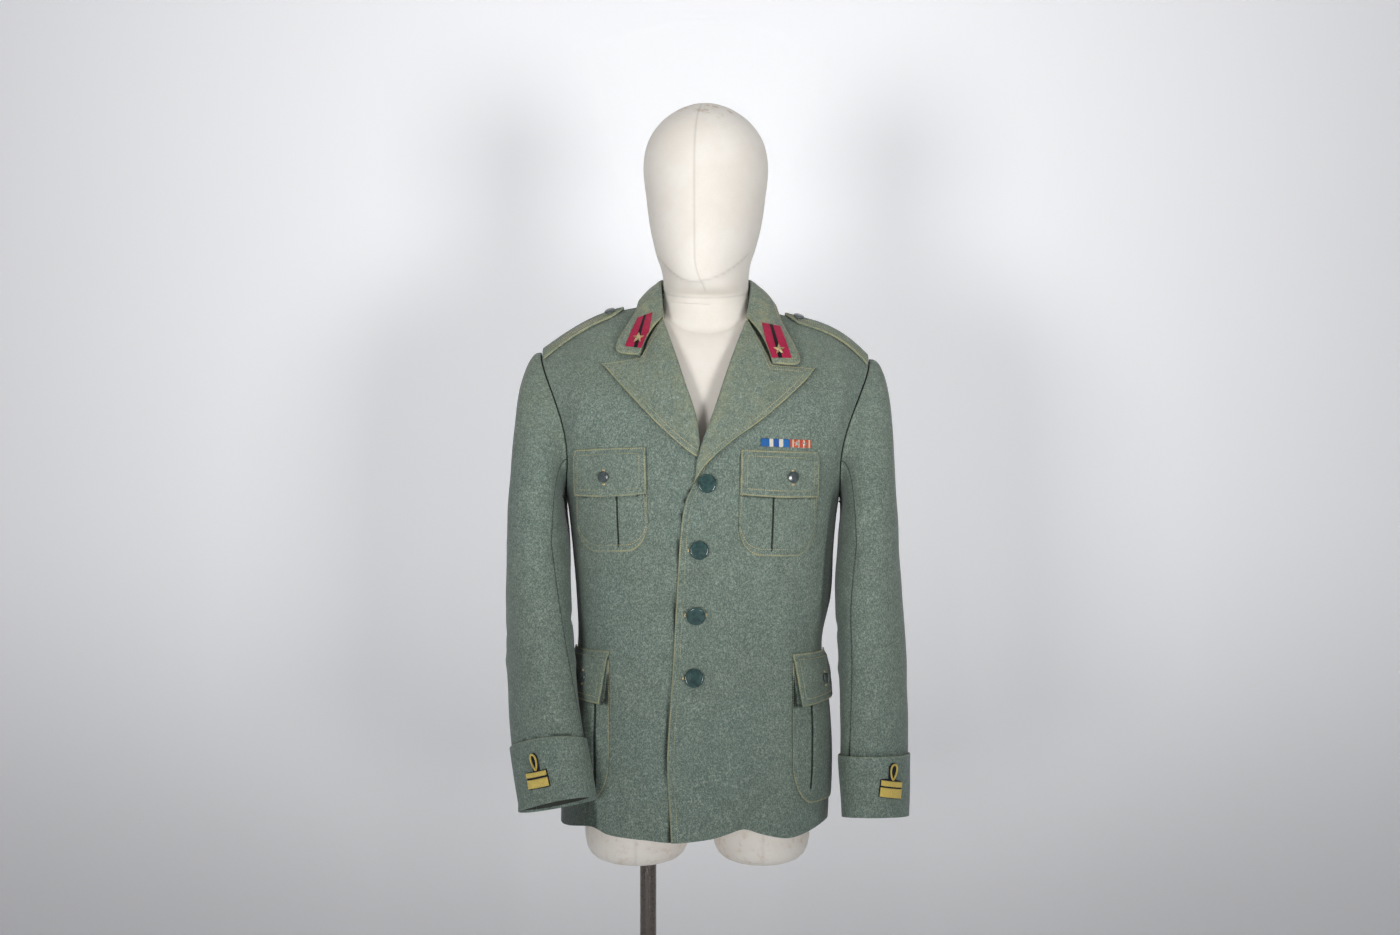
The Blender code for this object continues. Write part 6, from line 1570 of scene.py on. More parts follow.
def breast_pocket(side):
    word = WORD[side]
    pocket = BREAST[side]
    half = pocket.width / 2

    def place(across, down):
        x = pocket.x + across * half + down * math.sin(pocket.lean)
        z = pocket.top - down + across * half * math.sin(pocket.lean)
        return x, z

    across = pleat_columns(pocket.width, pocket.pleat)
    share = spaced(pocket.height - POCKET_TUCK, 0.004, ends=(False, True))
    aa, ss = np.meshgrid(across, share)
    end = pocket_bottom(aa, pocket.height, BREAST_CORNER)
    down = POCKET_TUCK + (end - POCKET_TUCK) * ss
    belly = 0.0010 * (1 - aa ** 2) * np.sin(math.pi * np.clip(ss, 0, 1))
    point, normal = on_front(side, *place(aa, down), STANDOFF + CLOTH + belly)
    dips = pleat((aa - pocket.pleat) * half, down, pocket.height - 0.004, SLIT_WIDE)
    by_flap = FLAP_SHADE * bell(down - pocket.flap_height - FLAP_BOW * (1 - aa ** 2), FLAP_SHADE_WIDE)
    item = cloth(
        "cloth_breast_pocket_" + word, "breast_pocket_" + word, point, normal, [WOOL],
        stitched=SIDES_AND_FOOT, dips=dips, worn=0.02, shadows=by_flap,
    )

    across = 2 * spaced(pocket.width, 0.004) - 1
    share = spaced(pocket.flap_height, 0.004)
    aa, ss = np.meshgrid(across, share)
    down = ss * pocket.flap_height
    bow = FLAP_BOW * (1 - aa ** 2) * np.maximum(down - POCKET_TUCK, 0) / pocket.flap_height
    climb = STANDOFF + (CLOTH + STANDOFF) * ease((down - FLAP_SEWN) / FLAP_CLIMB)
    climb = climb + 0.0010 * (1 - aa ** 2) * ss
    point, normal = on_front(side, *place(aa, down + bow), climb + CLOTH)
    item = cloth(
        "cloth_breast_flap_" + word, "breast_flap_" + word, point, normal, [WOOL],
        stitched=ALL_ROUND, worn=0.04,
    )
    seat, normal = on_front(side, pocket.button_x, pocket.button_z, 2 * (CLOTH + STANDOFF) + 0.0010)
    button(f"button_breast_{word}", f"breast_button_{word}", seat, normal, SMALL_BUTTON, DARK_BUTTON)
    thread_bar(seat, normal, SMALL_BUTTON, HOLE_WAY, HOLE_REACHES)


def bilinear(table, row, column):
    """Reads a table of rows and columns at places between them, both counted from 0."""
    i = np.clip(np.floor(row).astype(int), 0, table.shape[0] - 2)
    j = np.clip(np.floor(column).astype(int), 0, table.shape[1] - 2)
    f, g = (row - i)[..., None], (column - j)[..., None]
    low = table[i, j] * (1 - g) + table[i, j + 1] * g
    high = table[i + 1, j] * (1 - g) + table[i + 1, j + 1] * g
    return low * (1 - f) + high * f


def hip_place(side, arc, z):
    """Places across that lie an arc's length round the front from the hip pocket's front edge."""
    levels = np.linspace(0.89, 1.11, 56)
    start = across_at(np.full(levels.shape, HIP_FRONT_X[side]), levels, FRONT)
    f = np.linspace(0, 1, 161)
    across = start[:, None] + (side - start)[:, None] * f
    line = front_surface(across, levels[:, None] + np.zeros(len(f)))
    lengths = arcs(line, 1)
    runs = np.linspace(0, 0.16, 161)
    table = np.array([np.interp(runs, lengths[i], across[i]) for i in range(len(levels))])
    row = (z - levels[0]) / (levels[1] - levels[0])
    return bilinear(table[..., None], row, arc / (runs[1] - runs[0]))[..., 0]


def on_hip(side, arc, z, lift):
    across = hip_place(side, arc, z)
    normal = outward(front_surface, np.clip(across, -0.985, 0.985), z)
    return front_surface(across, z) + normal * np.asarray(lift)[..., None], normal


def hip_pocket(side):
    word = WORD[side]
    width, top = HIP_WIDTH[side], HIP_TOP[side]
    across = pleat_columns(width, HIP_PLEAT[side])
    share = spaced(HIP_HEIGHT - POCKET_TUCK, 0.005, ends=(False, True))
    aa, ss = np.meshgrid(across, share)
    end = pocket_bottom(aa, HIP_HEIGHT, HIP_CORNER)
    down = POCKET_TUCK + (end - POCKET_TUCK) * ss
    belly = HIP_BELLY * (1 - aa ** 2) * np.sin(math.pi * ss)
    point, normal = on_hip(side, width * (1 + aa) / 2, top - down, HIP_STANDOFF + CLOTH + belly)
    dips = pleat((aa - HIP_PLEAT[side]) * width / 2, down, HIP_HEIGHT - 0.016, HIP_SLIT_WIDE)
    under_flap = down - HIP_FLAP_HEIGHT - HIP_FLAP_SAG * (1 - aa) / 2
    by_flap = FLAP_SHADE * bell(under_flap, HIP_FLAP_SHADE_WIDE)
    beside = width * (1 + aa) / 2 - HIP_FLAP_LEAN * (down / HIP_FLAP_HEIGHT) ** 1.5
    in_gap = GAP_SHADE * ease((GAP_EDGE - beside) / GAP_FADE) * ease((down - GAP_FROM) / GAP_RISE)
    in_gap = in_gap * ease((HIP_FLAP_HEIGHT + HIP_FLAP_SAG - down) / 0.003)
    shadows = np.maximum(np.maximum(by_flap, in_gap), arm_shade(side, point))
    item = cloth(
        "cloth_hip_pocket_" + word, "hip_pocket_" + word, point, normal, [WOOL],
        stitched=SIDES_AND_FOOT, dips=dips, rows_at=(EDGE_STITCH,), shadows=shadows,
    )

    across = 2 * spaced(width, 0.004) - 1
    share = spaced(HIP_FLAP_HEIGHT, 0.004)
    aa, ss = np.meshgrid(across, share)
    down = ss * HIP_FLAP_HEIGHT
    climb = HIP_STANDOFF + (CLOTH + STANDOFF) * ease((down - FLAP_SEWN) / FLAP_CLIMB)
    climb = climb + HIP_BELLY * ease((down - FLAP_SEWN) / HIP_FLAP_CLIMB)
    corner = FLAP_LIFT * ease((-aa - LIFT_FROM) / (1 - LIFT_FROM)) * ss ** 2
    sag = HIP_FLAP_SAG * (1 - aa) / 2 * ss
    set_back = HIP_FLAP_LEAN * ss ** 1.5 * ease(-aa)
    point, normal = on_hip(side, width * (1 + aa) / 2 + set_back, top - down - sag, climb + corner + CLOTH)
    item = cloth(
        "cloth_hip_flap_" + word, "hip_flap_" + word, point, normal, [WOOL],
        stitched=ALL_ROUND, worn=0.05, shadows=arm_shade(side, point),
    )
    rise = HIP_STANDOFF + STANDOFF + 2 * CLOTH + HIP_BELLY
    arc, z = np.array([width * HIP_BUTTON[side]]), np.array([top - HIP_BUTTON_DOWN])
    seat, normal = on_hip(side, arc, z, np.array([rise]))
    button(f"button_hip_{word}", f"hip_button_{word}", seat[0], normal[0], SMALL_BUTTON, DARK_BUTTON)
    thread_bar(seat[0], normal[0], SMALL_BUTTON, HOLE_WAY, HOLE_REACHES)


# Buttons and stars

Turned = namedtuple("Turned", "radius height")
FRONT_PROFILE = (
    Turned(0.30, 0.00), Turned(0.30, 0.07), Turned(0.82, 0.085), Turned(0.95, 0.10), Turned(1.00, 0.15),
    Turned(0.985, 0.20), Turned(0.94, 0.238), Turned(0.87, 0.252), Turned(0.80, 0.249), Turned(0.70, 0.251),
    Turned(0.52, 0.257), Turned(0.30, 0.261), Turned(0.10, 0.262),
)
SMALL_PROFILE = (
    Turned(0.30, 0.00), Turned(0.30, 0.07), Turned(0.80, 0.09), Turned(0.95, 0.11), Turned(1.00, 0.16),
    Turned(0.97, 0.21), Turned(0.90, 0.238), Turned(0.82, 0.248), Turned(0.74, 0.256), Turned(0.56, 0.278),
    Turned(0.34, 0.292), Turned(0.12, 0.297),
)


def lathe(seat, axis, profile, diameter, steps):
    side = unit(np.cross(axis, (0, 0, 1)))
    up = np.cross(side, axis)
    verts, faces = [], tube_faces(len(profile), steps)
    for turned in profile:
        for k in range(steps):
            a = 2 * math.pi * k / steps
            spoke = (side * math.cos(a) + up * math.sin(a)) * turned.radius * diameter / 2
            verts.append(seat + axis * turned.height * diameter + spoke)
    verts.append(seat + axis * (profile[-1].height + 0.001) * diameter)
    verts.append(seat)
    top, last = len(verts) - 2, (len(profile) - 1) * steps
    for k in range(steps):
        n = (k + 1) % steps
        faces.append((last + k, last + n, top))
        faces.append((n, k, top + 1))
    return verts, faces


def button(name, node, seat, normal, diameter, look, lean=(0, 0, 0)):
    axis = unit(np.asarray(normal) + np.asarray(lean))
    profile = FRONT_PROFILE if diameter == FRONT_BUTTON else SMALL_PROFILE
    verts, faces = lathe(seat, axis, profile, diameter, 48)
    item = make_mesh(name, verts, faces, [look], sharp=80)
    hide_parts(node)
    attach(item, "root")


def thread_bar(seat, normal, diameter, way, reaches):
    """Short buttonhole stitches that show beside a button."""
    way = np.array(way, float)
    way = unit(way - normal * np.dot(way, normal))
    across = np.cross(way, normal)
    for reach in reaches:
        centre = seat + way * diameter * reach
        for offset in (-0.0014, -0.0005, 0.0005, 0.0014):
            shift = across * offset + normal * 0.0006
            line = np.array([centre - way * 0.0016, centre + way * 0.0016]) + shift
            sew(line, np.array([normal, normal]), pitch=0.0030, share=0.95, radius=0.00062, tone=1.15)


def front_buttons():
    for i, (x, z) in enumerate(BUTTON_PLACES):
        seat, normal = on_front(LEFT, x, z, SEAM)
        lean = np.array((0, 0, -0.30 if i == 2 else 0.05))
        tipped = unit(normal + lean)
        seat = seat + normal * FRONT_BUTTON * 0.15 * math.sqrt(max(1 - np.dot(tipped, normal) ** 2, 0.0))
        name = f"front_button_{i + 1}"
        button(f"button_front_{i + 1}", name, seat, normal, FRONT_BUTTON, GREEN_BUTTON, lean)
        if i:
            thread_bar(seat, normal, FRONT_BUTTON, (1, 0, 0), (-0.56, 0.55) if i == 2 else (-0.56,))


def star_mesh(seat, normal, radius, thick):
    normal = unit(np.asarray(normal, float))
    up = unit(np.array((0, 0, 1)) - normal * normal[2])
    side = np.cross(up, normal)
    verts, faces = [], []
    for k in range(10):
        r = radius if k % 2 == 0 else radius * STAR_WAIST
        a = math.pi * k / 5
        spoke = (up * math.cos(a) + side * math.sin(a)) * r
        verts += [seat + spoke, seat + spoke + normal * thick * STAR_EDGE]
    verts += [seat + normal * thick, seat]
    for k in range(10):
        low, high = 2 * k, 2 * k + 1
        next_low, next_high = (low + 2) % 20, (high + 2) % 20
        faces += [(low, next_low, next_high, high), (high, next_high, 20), (next_low, low, 21)]
    return verts, faces


# Shoulder straps


def shoulder_table(side):
    """Points of the shoulder in rows of share from neck to sleeve and columns of run from the seam."""
    share = np.linspace(SHOULDER_SHARES[0], SHOULDER_SHARES[1], 90)
    level = SEAM_LEVEL - SHOULDER_RISE * np.linspace(0, 0.5, 61)
    runs = np.linspace(0, SHOULDER_RUN, 81)
    halves = []
    for facing in (FRONT, BACK):
        aa, ll = np.meshgrid(side * share, level, indexing="ij")
        lines = jacket_point(aa, ll, facing)
        lines[:, 0] = top_point(side * share, facing)
        lengths = arcs(lines, 1)
        rows = []
        for length, line in zip(lengths, lines):
            rows.append(np.stack([np.interp(runs, length, line[:, c]) for c in range(3)], -1))
        halves.append(np.array(rows))
    return np.concatenate([halves[0][:, :0:-1], halves[1]], 1)


SHOULDER_SHARES, SHOULDER_RUN = (0.40, 0.995), 0.05
SHOULDER_TABLE = {side: shoulder_table(side) for side in (LEFT, RIGHT)}


def over_shoulder(side, share, run):
    """Points of the shoulder at shares from neck to sleeve and runs from the seam (front is negative)."""
    table = SHOULDER_TABLE[side]
    share, run = np.broadcast_arrays(np.asarray(share, float), np.asarray(run, float))
    row = (share - SHOULDER_SHARES[0]) / (SHOULDER_SHARES[1] - SHOULDER_SHARES[0]) * (table.shape[0] - 1)
    column = (run / SHOULDER_RUN + 1) / 2 * (table.shape[1] - 1)
    return bilinear(table, row, column)


def shoulder_spot(side, share, run, lift):
    by_share = over_shoulder(side, share + 0.01, run) - over_shoulder(side, share - 0.01, run)
    by_run = over_shoulder(side, share, run + 0.004) - over_shoulder(side, share, run - 0.004)
    normal = unit(np.cross(by_share, by_run))
    normal = normal * np.where(normal[..., 2:] < 0, -1, 1)
    return over_shoulder(side, share, run) + normal * np.asarray(lift)[..., None], normal


def shoulder_strap(side):
    word = WORD[side]
    start = STRAP_START[side]
    f = spaced(0.085, 0.004)
    place = 2 * spaced(0.046, 0.004) - 1
    ff, pp = np.meshgrid(f, place, indexing="ij")
    half = STRAP_NECK_HALF + (STRAP_SLEEVE_HALF - STRAP_NECK_HALF) * ff
    inset = 0.10 * np.maximum(np.abs(pp) - 0.3, 0.0) * (1 - ff) ** 3
    share = start + inset + (STRAP_END - start - inset) * ff
    crown = STRAP_CROWN * (1 - pp ** 2)
    grid, normals = shoulder_spot(side, share, pp * half, STRAP_LIFT + STRAP_CLOTH + crown)
    item = cloth(
        "cloth_strap_" + word, "shoulder_strap_" + word, grid, normals, [WOOL], thick=STRAP_CLOTH,
        stitched=("first_column", "last_column", "first_row"), worn=0.05, rows_at=STRAP_STITCHES,
    )
    lift = STRAP_LIFT + STRAP_CLOTH + STRAP_CROWN
    seat, normal = shoulder_spot(side, start + STRAP_BUTTON_IN, -STRAP_BUTTON_FORE, lift)
    button(f"button_strap_{word}", f"strap_button_{word}", seat, normal, SMALL_BUTTON, DARK_BUTTON)


# Collar patches, ribbons and cuff marks


def on_collar(side, x, z, lift):
    def fall(q, f):
        return collar_place(side, q, f)

    x, z = np.asarray(x, float), np.asarray(z, float)
    q, f = seek(fall, x, z, np.full(x.shape, 0.86), np.full(x.shape, 0.5), 1.0, 1.0)
    normal = outward(fall, q, f)
    return fall(q, f) + normal * lift, normal


def trim(name, node, outer, normals, look, thick, values, crown=0.0):
    """A small laid piece with values for its stripes and ribs."""
    distances = edge_distances(outer)
    near = np.minimum.reduce([distances[k] for k in distances])
    share = np.clip(near / (thick * 0.5), 0, 1)
    pull = thick * 0.45 * (1 - np.sqrt(1 - (1 - share) ** 2))
    top = outer + normals * (crown * np.clip(near / 0.003, 0, 1) - pull)[..., None]
    bottom = outer - normals * (thick - pull)[..., None]
    doubled = {k: np.tile(np.ravel(v), 2) for k, v in values.items()}
    item = shell(name, top, bottom, [look], values=doubled)
    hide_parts(node)
    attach(item, "root")
    return item


def collar_patch(side):
    word = WORD[side]
    corners = [np.array(c) for c in PATCH_CORNERS[side]]
    v = spaced(0.045, 0.0022, rows=FINE)
    u = spaced(0.024, 0.0016, rows=FINE)
    vv, uu = np.meshgrid(v, u, indexing="ij")
    start = corners[0] + (corners[3] - corners[0]) * vv[..., None]
    end = corners[1] + (corners[2] - corners[1]) * vv[..., None]
    spot = start + (end - start) * uu[..., None]
    grid, normals = on_collar(side, spot[..., 0], spot[..., 1], STANDOFF + PATCH_THICK)
    item = trim(f"patch_{word}", f"collar_patch_{word}", grid, normals, CRIMSON, PATCH_THICK,
                {"across": uu if side == LEFT else 1 - uu})
    x, z = STAR_PLACE[side]
    seat, normal = on_collar(side, np.array([x]), np.array([z]), STANDOFF + PATCH_THICK)
    verts, faces = star_mesh(seat[0], normal[0], STAR_RADIUS, STAR_THICK + 0.0006)
    star = make_mesh(f"star_{word}", verts, faces, [STAR_METAL], smooth=False)
    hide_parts(f"collar_star_{word}")
    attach(star, "root")


def ribbons():
    for name, look, slot in (("blue", BLUE, "blue_ribbon"), ("orange", ORANGE, "orange_ribbon")):
        low, high = RIBBON_SPAN[name]
        u = spaced(high - low, 0.0015, rows=FINE)
        v = spaced(2 * RIBBON_HALF, 0.0015, rows=FINE)
        vv, uu = np.meshgrid(v, u, indexing="ij")
        x, z = low + (high - low) * uu, RIBBON_Z + RIBBON_HALF * (2 * vv - 1)
        z = z - (x - 0.10) * RIBBON_SLOPE
        grid, normals = on_front(LEFT, x, z, STANDOFF + RIBBON_THICK)
        item = trim(f"ribbon_{name}_cloth", f"ribbon_{name}", grid, normals, look, RIBBON_THICK,
                    {"across": uu, "along": (high - low) * uu * 900}, crown=0.0003)
    verts, faces = [], []
    for x in RIBBON_STAR_X:
        z = RIBBON_Z - (x - 0.10) * RIBBON_SLOPE
        seat, normal = on_front(LEFT, x, z, STANDOFF + RIBBON_THICK + 0.0003)
        more, sides = star_mesh(seat, normal, RIBBON_STAR_RADIUS, 0.0010)
        faces += [tuple(i + len(verts) for i in face) for face in sides]
        verts += more
    item = make_mesh("ribbon_stars", verts, faces, [RIBBON_STAR], smooth=False)
    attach(item, "root")


def on_cuff(side, run, z, lift):
    """Points above the cuff at runs of arc from its mark's centre."""
    mark = CUFF_MARK[side]
    base = mark.step
    grow = STANDOFF + CLOTH
    low = SLEEVE[side][0].height

    def at(step, height):
        place = ring_point(side, step, np.maximum(height, low), grow)
        place[..., 2] = height
        return place

    run, z = np.broadcast_arrays(np.asarray(run, float), np.asarray(z, float))
    run = run + mark.slant * (mark.thin_top - z)
    per_step = np.linalg.norm(at(base - 0.5 + 0 * z, z) - at(base + 0.5 + 0 * z, z), axis=-1)
    step = base - run / per_step
    by_step = at(step + 0.05, z) - at(step - 0.05, z)
    by_height = at(step, z + 0.002) - at(step, z - 0.002)
    normal = unit(np.cross(by_step, by_height))
    ring = SLEEVE[side][0]
    here = at(step, z)
    outside = points(here[..., 0] - ring.x, here[..., 1] - ring.y, 0)
    normal = normal * np.where(np.sum(normal * outside, -1, keepdims=True) < 0, -1, 1)
    return here + normal * np.asarray(lift)[..., None], normal


def cuff_marks(side):
    word = WORD[side]
    mark = CUFF_MARK[side]
    heights = np.array([
        mark.loop_top + FELT_RIM, mark.loop_top - 0.004, mark.loop_foot + 0.006, mark.thin_top + FELT_RIM,
        mark.thick_foot - FELT_RIM,
    ])
    halves = np.array([0.003, 0.0070, 0.0062, BAR_HALF + FELT_RIM, BAR_HALF + FELT_RIM])
    where = np.array([0, 0.35, 1, 1.6, 2, 2.5, 3, 3.5, 4])
    z = np.interp(where, np.arange(5), heights)
    half = np.interp(where, np.arange(5), halves)
    u = spaced(0.034, 0.0017, rows=FINE) * 2 - 1
    runs = half[:, None] * u[None, :]
    zz = z[:, None] - runs * mark.lean
    grid, normals = on_cuff(side, runs, zz, STANDOFF + FELT_THICK)
    item = trim(f"mark_felt_{word}", f"cuff_felt_{word}", grid, normals, NAVY, FELT_THICK, {})
    above = 2 * STANDOFF + FELT_THICK
    bars = {"thin": (mark.thin_top, mark.thin_foot), "thick": (mark.thick_top, mark.thick_foot)}
    for kind, (top, foot) in bars.items():
        u = spaced(2 * BAR_HALF, 0.0010, rows=FINE) * 2 - 1
        v = spaced(top - foot, 0.0010, rows=FINE)
        vv, uu = np.meshgrid(v, u, indexing="ij")
        runs = BAR_HALF * uu
        threads = BAR_RIDGE * np.sin(runs * 2 * math.pi / BAR_RIDGE_PITCH)
        zz = top + (foot - top) * vv - runs * mark.lean
        grid, normals = on_cuff(side, runs, zz, above + BAR_THICK + threads)
        trim(f"bar_{kind}_{word}", f"cuff_bar_{kind}_{word}", grid, normals, GOLD, BAR_THICK,
             {"along": runs * 700}, crown=0.0005)
    cuff_loop(side, mark, above + LOOP_CORD)


def cuff_loop(side, mark, lift):
    """The embroidered loop: a closed oval of twisted cord, narrow at its foot."""
    middle = (mark.loop_top + mark.thin_top + LOOP_CLEAR) / 2
    half = (mark.loop_top - mark.thin_top - LOOP_CLEAR) / 2 - LOOP_CORD
    steps, sides = 90, 12
    angle = 2 * math.pi * np.arange(steps) / steps
    taper = 0.72 + 0.28 * np.cos(angle)
    z = middle + half * np.cos(angle)
    run = LOOP_HALF_WIDTH * taper * np.sin(angle)
    point, normal = on_cuff(side, run, z, lift)
    course = unit(np.roll(point, -1, 0) - np.roll(point, 1, 0))
    flank = unit(np.cross(course, normal))
    verts, values = [], []
    for k in range(steps):
        for s in range(sides):
            turn = 2 * math.pi * s / sides
            bulge = 1 + 0.13 * math.cos(2 * turn + k * 2 * math.pi * 22 / steps)
            spoke = (flank[k] * math.cos(turn) + normal[k] * math.sin(turn)) * LOOP_CORD * bulge * 1.1
            verts.append(point[k] + spoke)
            values.append(2 * s / sides * 3 + k * 22 / steps * 3)
    word = WORD[side]
    faces = tube_faces(steps, sides, closed=True)
    item = make_mesh(f"loop_{word}", verts, faces, [GOLD], values={"along": values}, sharp=80)
    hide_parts(f"cuff_loop_{word}")
    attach(item, "root")


# Dress form


def form_gap(across, level, facing):
    gap = CLOTH + along(FORM_CLEAR, level, "gap")
    if facing == FRONT:
        middle = ease(1 - np.abs(across) / HOLLOW_REACH) * ease((SEAM_LEVEL - level) / HOLLOW_FADE)
        gap = gap + CHEST_HOLLOW * middle * ease((level - HOLLOW_START) / HOLLOW_RISE)
    aside = ease((NECK_ROOM_REACH - np.abs(across)) / NECK_ROOM_FADE)
    return gap + NECK_ROOM * aside * ease((level - CHEST_Z) / NECK_ROOM_RISE)


def form_half(spread, level, facing):
    def surface(a, b):
        return body_point(a, b, facing)

    aa, ll = np.meshgrid(spread, level)
    reach = aa * (1 + (FORM_SHOULDER - 1) * ease((ll - ARMPIT_Z + 0.03) / 0.05))
    normal = outward(surface, np.clip(reach, -0.99, 0.99), np.minimum(ll, SEAM_LEVEL - 0.004))
    gap = form_gap(aa, ll, facing) + FORM_INSET
    return surface(reach, ll) - normal * gap[..., None]


def form_torso():
    """The form's covered body: one skin round the chest, shoulders and hips, closed below."""
    level = np.concatenate([
        np.linspace(0.895, CHEST_Z, 60),
        CHEST_Z + SHOULDER_RISE * np.linspace(0.03, 1, 40),
    ])
    spread = np.linspace(-1, 1, 81)
    fore = form_half(spread, level, FRONT)
    aft = form_half(spread, level, BACK)
    low = level <= ARMPIT_Z
    for end in (0, -1):
        middle = (fore[low, end] + aft[low, end]) / 2
        fore[low, end] = aft[low, end] = middle
    shoulder = np.abs(spread) >= NECK_SHARE
    ridge = (fore[-1] + aft[-1]) / 2
    ridge[:, 2] -= 0.0012
    fore[-1, shoulder] = aft[-1, shoulder] = ridge[shoulder]
    caps = []
    for end, side in ((0, RIGHT), (-1, LEFT)):
        f = np.linspace(0, 1, 13)[None, :, None]
        a, b = fore[:, end][:, None], aft[:, end][:, None]
        line = a * (1 - f) + b * f
        bulge = np.minimum(0.010, 0.12 * np.linalg.norm(b - a, axis=-1)) * np.sin(math.pi * f[..., 0])
        line[..., 0] += side * bulge
        caps.append(line)
    verts, faces, known = [], [], {}

    def vert(point):
        key = tuple(np.round(point, 6))
        if key not in known:
            known[key] = len(verts)
            verts.append(point)
        return known[key]

    def skin(grid, turn):
        index = [[vert(p) for p in row] for row in grid]
        for i in range(len(index) - 1):
            for j in range(len(index[0]) - 1):
                face = [index[i][j], index[i][j + 1], index[i + 1][j + 1], index[i + 1][j]]
                face = list(dict.fromkeys(face))
                if len(face) > 2:
                    faces.append(tuple(face[::-1] if turn else face))

    skin(fore, False)
    skin(aft, True)
    skin(caps[0], True)
    skin(caps[1], False)
    ring = list(fore[0][:-1]) + list(aft[0][:0:-1])
    base = np.array(ring)
    centre = base.mean(axis=0)
    hips = [base]
    for share, drop in ((0.985, 0.006), (0.94, 0.011), (0.82, 0.016), (0.5, 0.020), (0.1, 0.021)):
        lower = centre + (base - centre) * share
        lower[:, 2] = base[:, 2] - drop
        hips.append(lower)
    skin(np.array([np.concatenate([h, h[:1]]) for h in hips]), True)
    inner = [j for j in range(len(spread)) if abs(spread[j]) <= NECK_SHARE + 0.01]
    rim_low = np.array([fore[-1][j] for j in inner] + [aft[-1][j] for j in inner[::-1]][1:])
    rim_low[0], rim_low[len(inner) - 1] = fore[-1][inner[0]], fore[-1][inner[-1]]
    angle = [np.clip(spread[j] / NECK_SHARE, -1, 1) * math.pi / 2 for j in inner]
    front_rim = [(NECK_WIDTH * math.sin(a), NECK_FRONT_Y * math.cos(a)) for a in angle]
    back_rim = [(NECK_WIDTH * math.sin(a), NECK_BACK_Y * math.cos(a)) for a in angle[::-1]][1:]
    rim = np.array([(x, y, NECK_CUT_Z + NECK_CUT_TILT * y + 0.002) for x, y in front_rim + back_rim])
    rows = [rim_low]
    for f in (0.25, 0.5, 0.75, 1.0):
        lift = rim_low + (rim - rim_low) * f
        lift[:, :2] = rim_low[:, :2] + (rim[:, :2] - rim_low[:, :2]) * (1 - (1 - f) ** 2)
        rows.append(lift)
    skin(np.array(rows), False)
    where = np.array(verts)
    seam = bell(where[:, 0] + 0.004, 0.0012)
    where[:, 1] += np.where(where[:, 1] < 0, 1, -1) * 0.0006 * seam
    stain = 0.35 * ease((1.0 - where[:, 2]) / 0.1)
    item = make_mesh("form_torso", where, faces, [COTTON], values={"seam": seam * 0.6, "stain": stain})
    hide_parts("form_body")
    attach(item, "root")


def form_thighs():
    profile = ((0.0000, 0.02), (0.0004, 0.20), (0.0015, 0.42), (0.0040, 0.62), (0.0085, 0.78), (0.0150, 0.89),
               (0.0240, 0.955), (0.0360, 0.99), (0.0520, 1.0), (0.0800, 0.985), (0.1100, 0.965))
    steps = 64
    for side, thigh in THIGHS.items():
        verts, faces = [], tube_faces(len(profile), steps)
        for rise, share in profile:
            for k in range(steps):
                a = 2 * math.pi * k / steps
                verts.append((thigh.x + thigh.half_width * share * math.cos(a),
                              thigh.half_depth * share * math.sin(a), THIGH_BOTTOM_Z + rise))
        faces.append(tuple(range(steps))[::-1])
        faces.append(tuple(range((len(profile) - 1) * steps, len(profile) * steps)))
        where = np.array(verts)
        seam = bell(where[:, 0] - thigh.x, 0.0015) * 0.5
        values = {"seam": seam, "stain": np.full(len(verts), 0.3)}
        item = make_mesh("form_thigh_" + WORD[side], verts, faces, [COTTON], values=values)
        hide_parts("form_body")
        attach(item, "root")


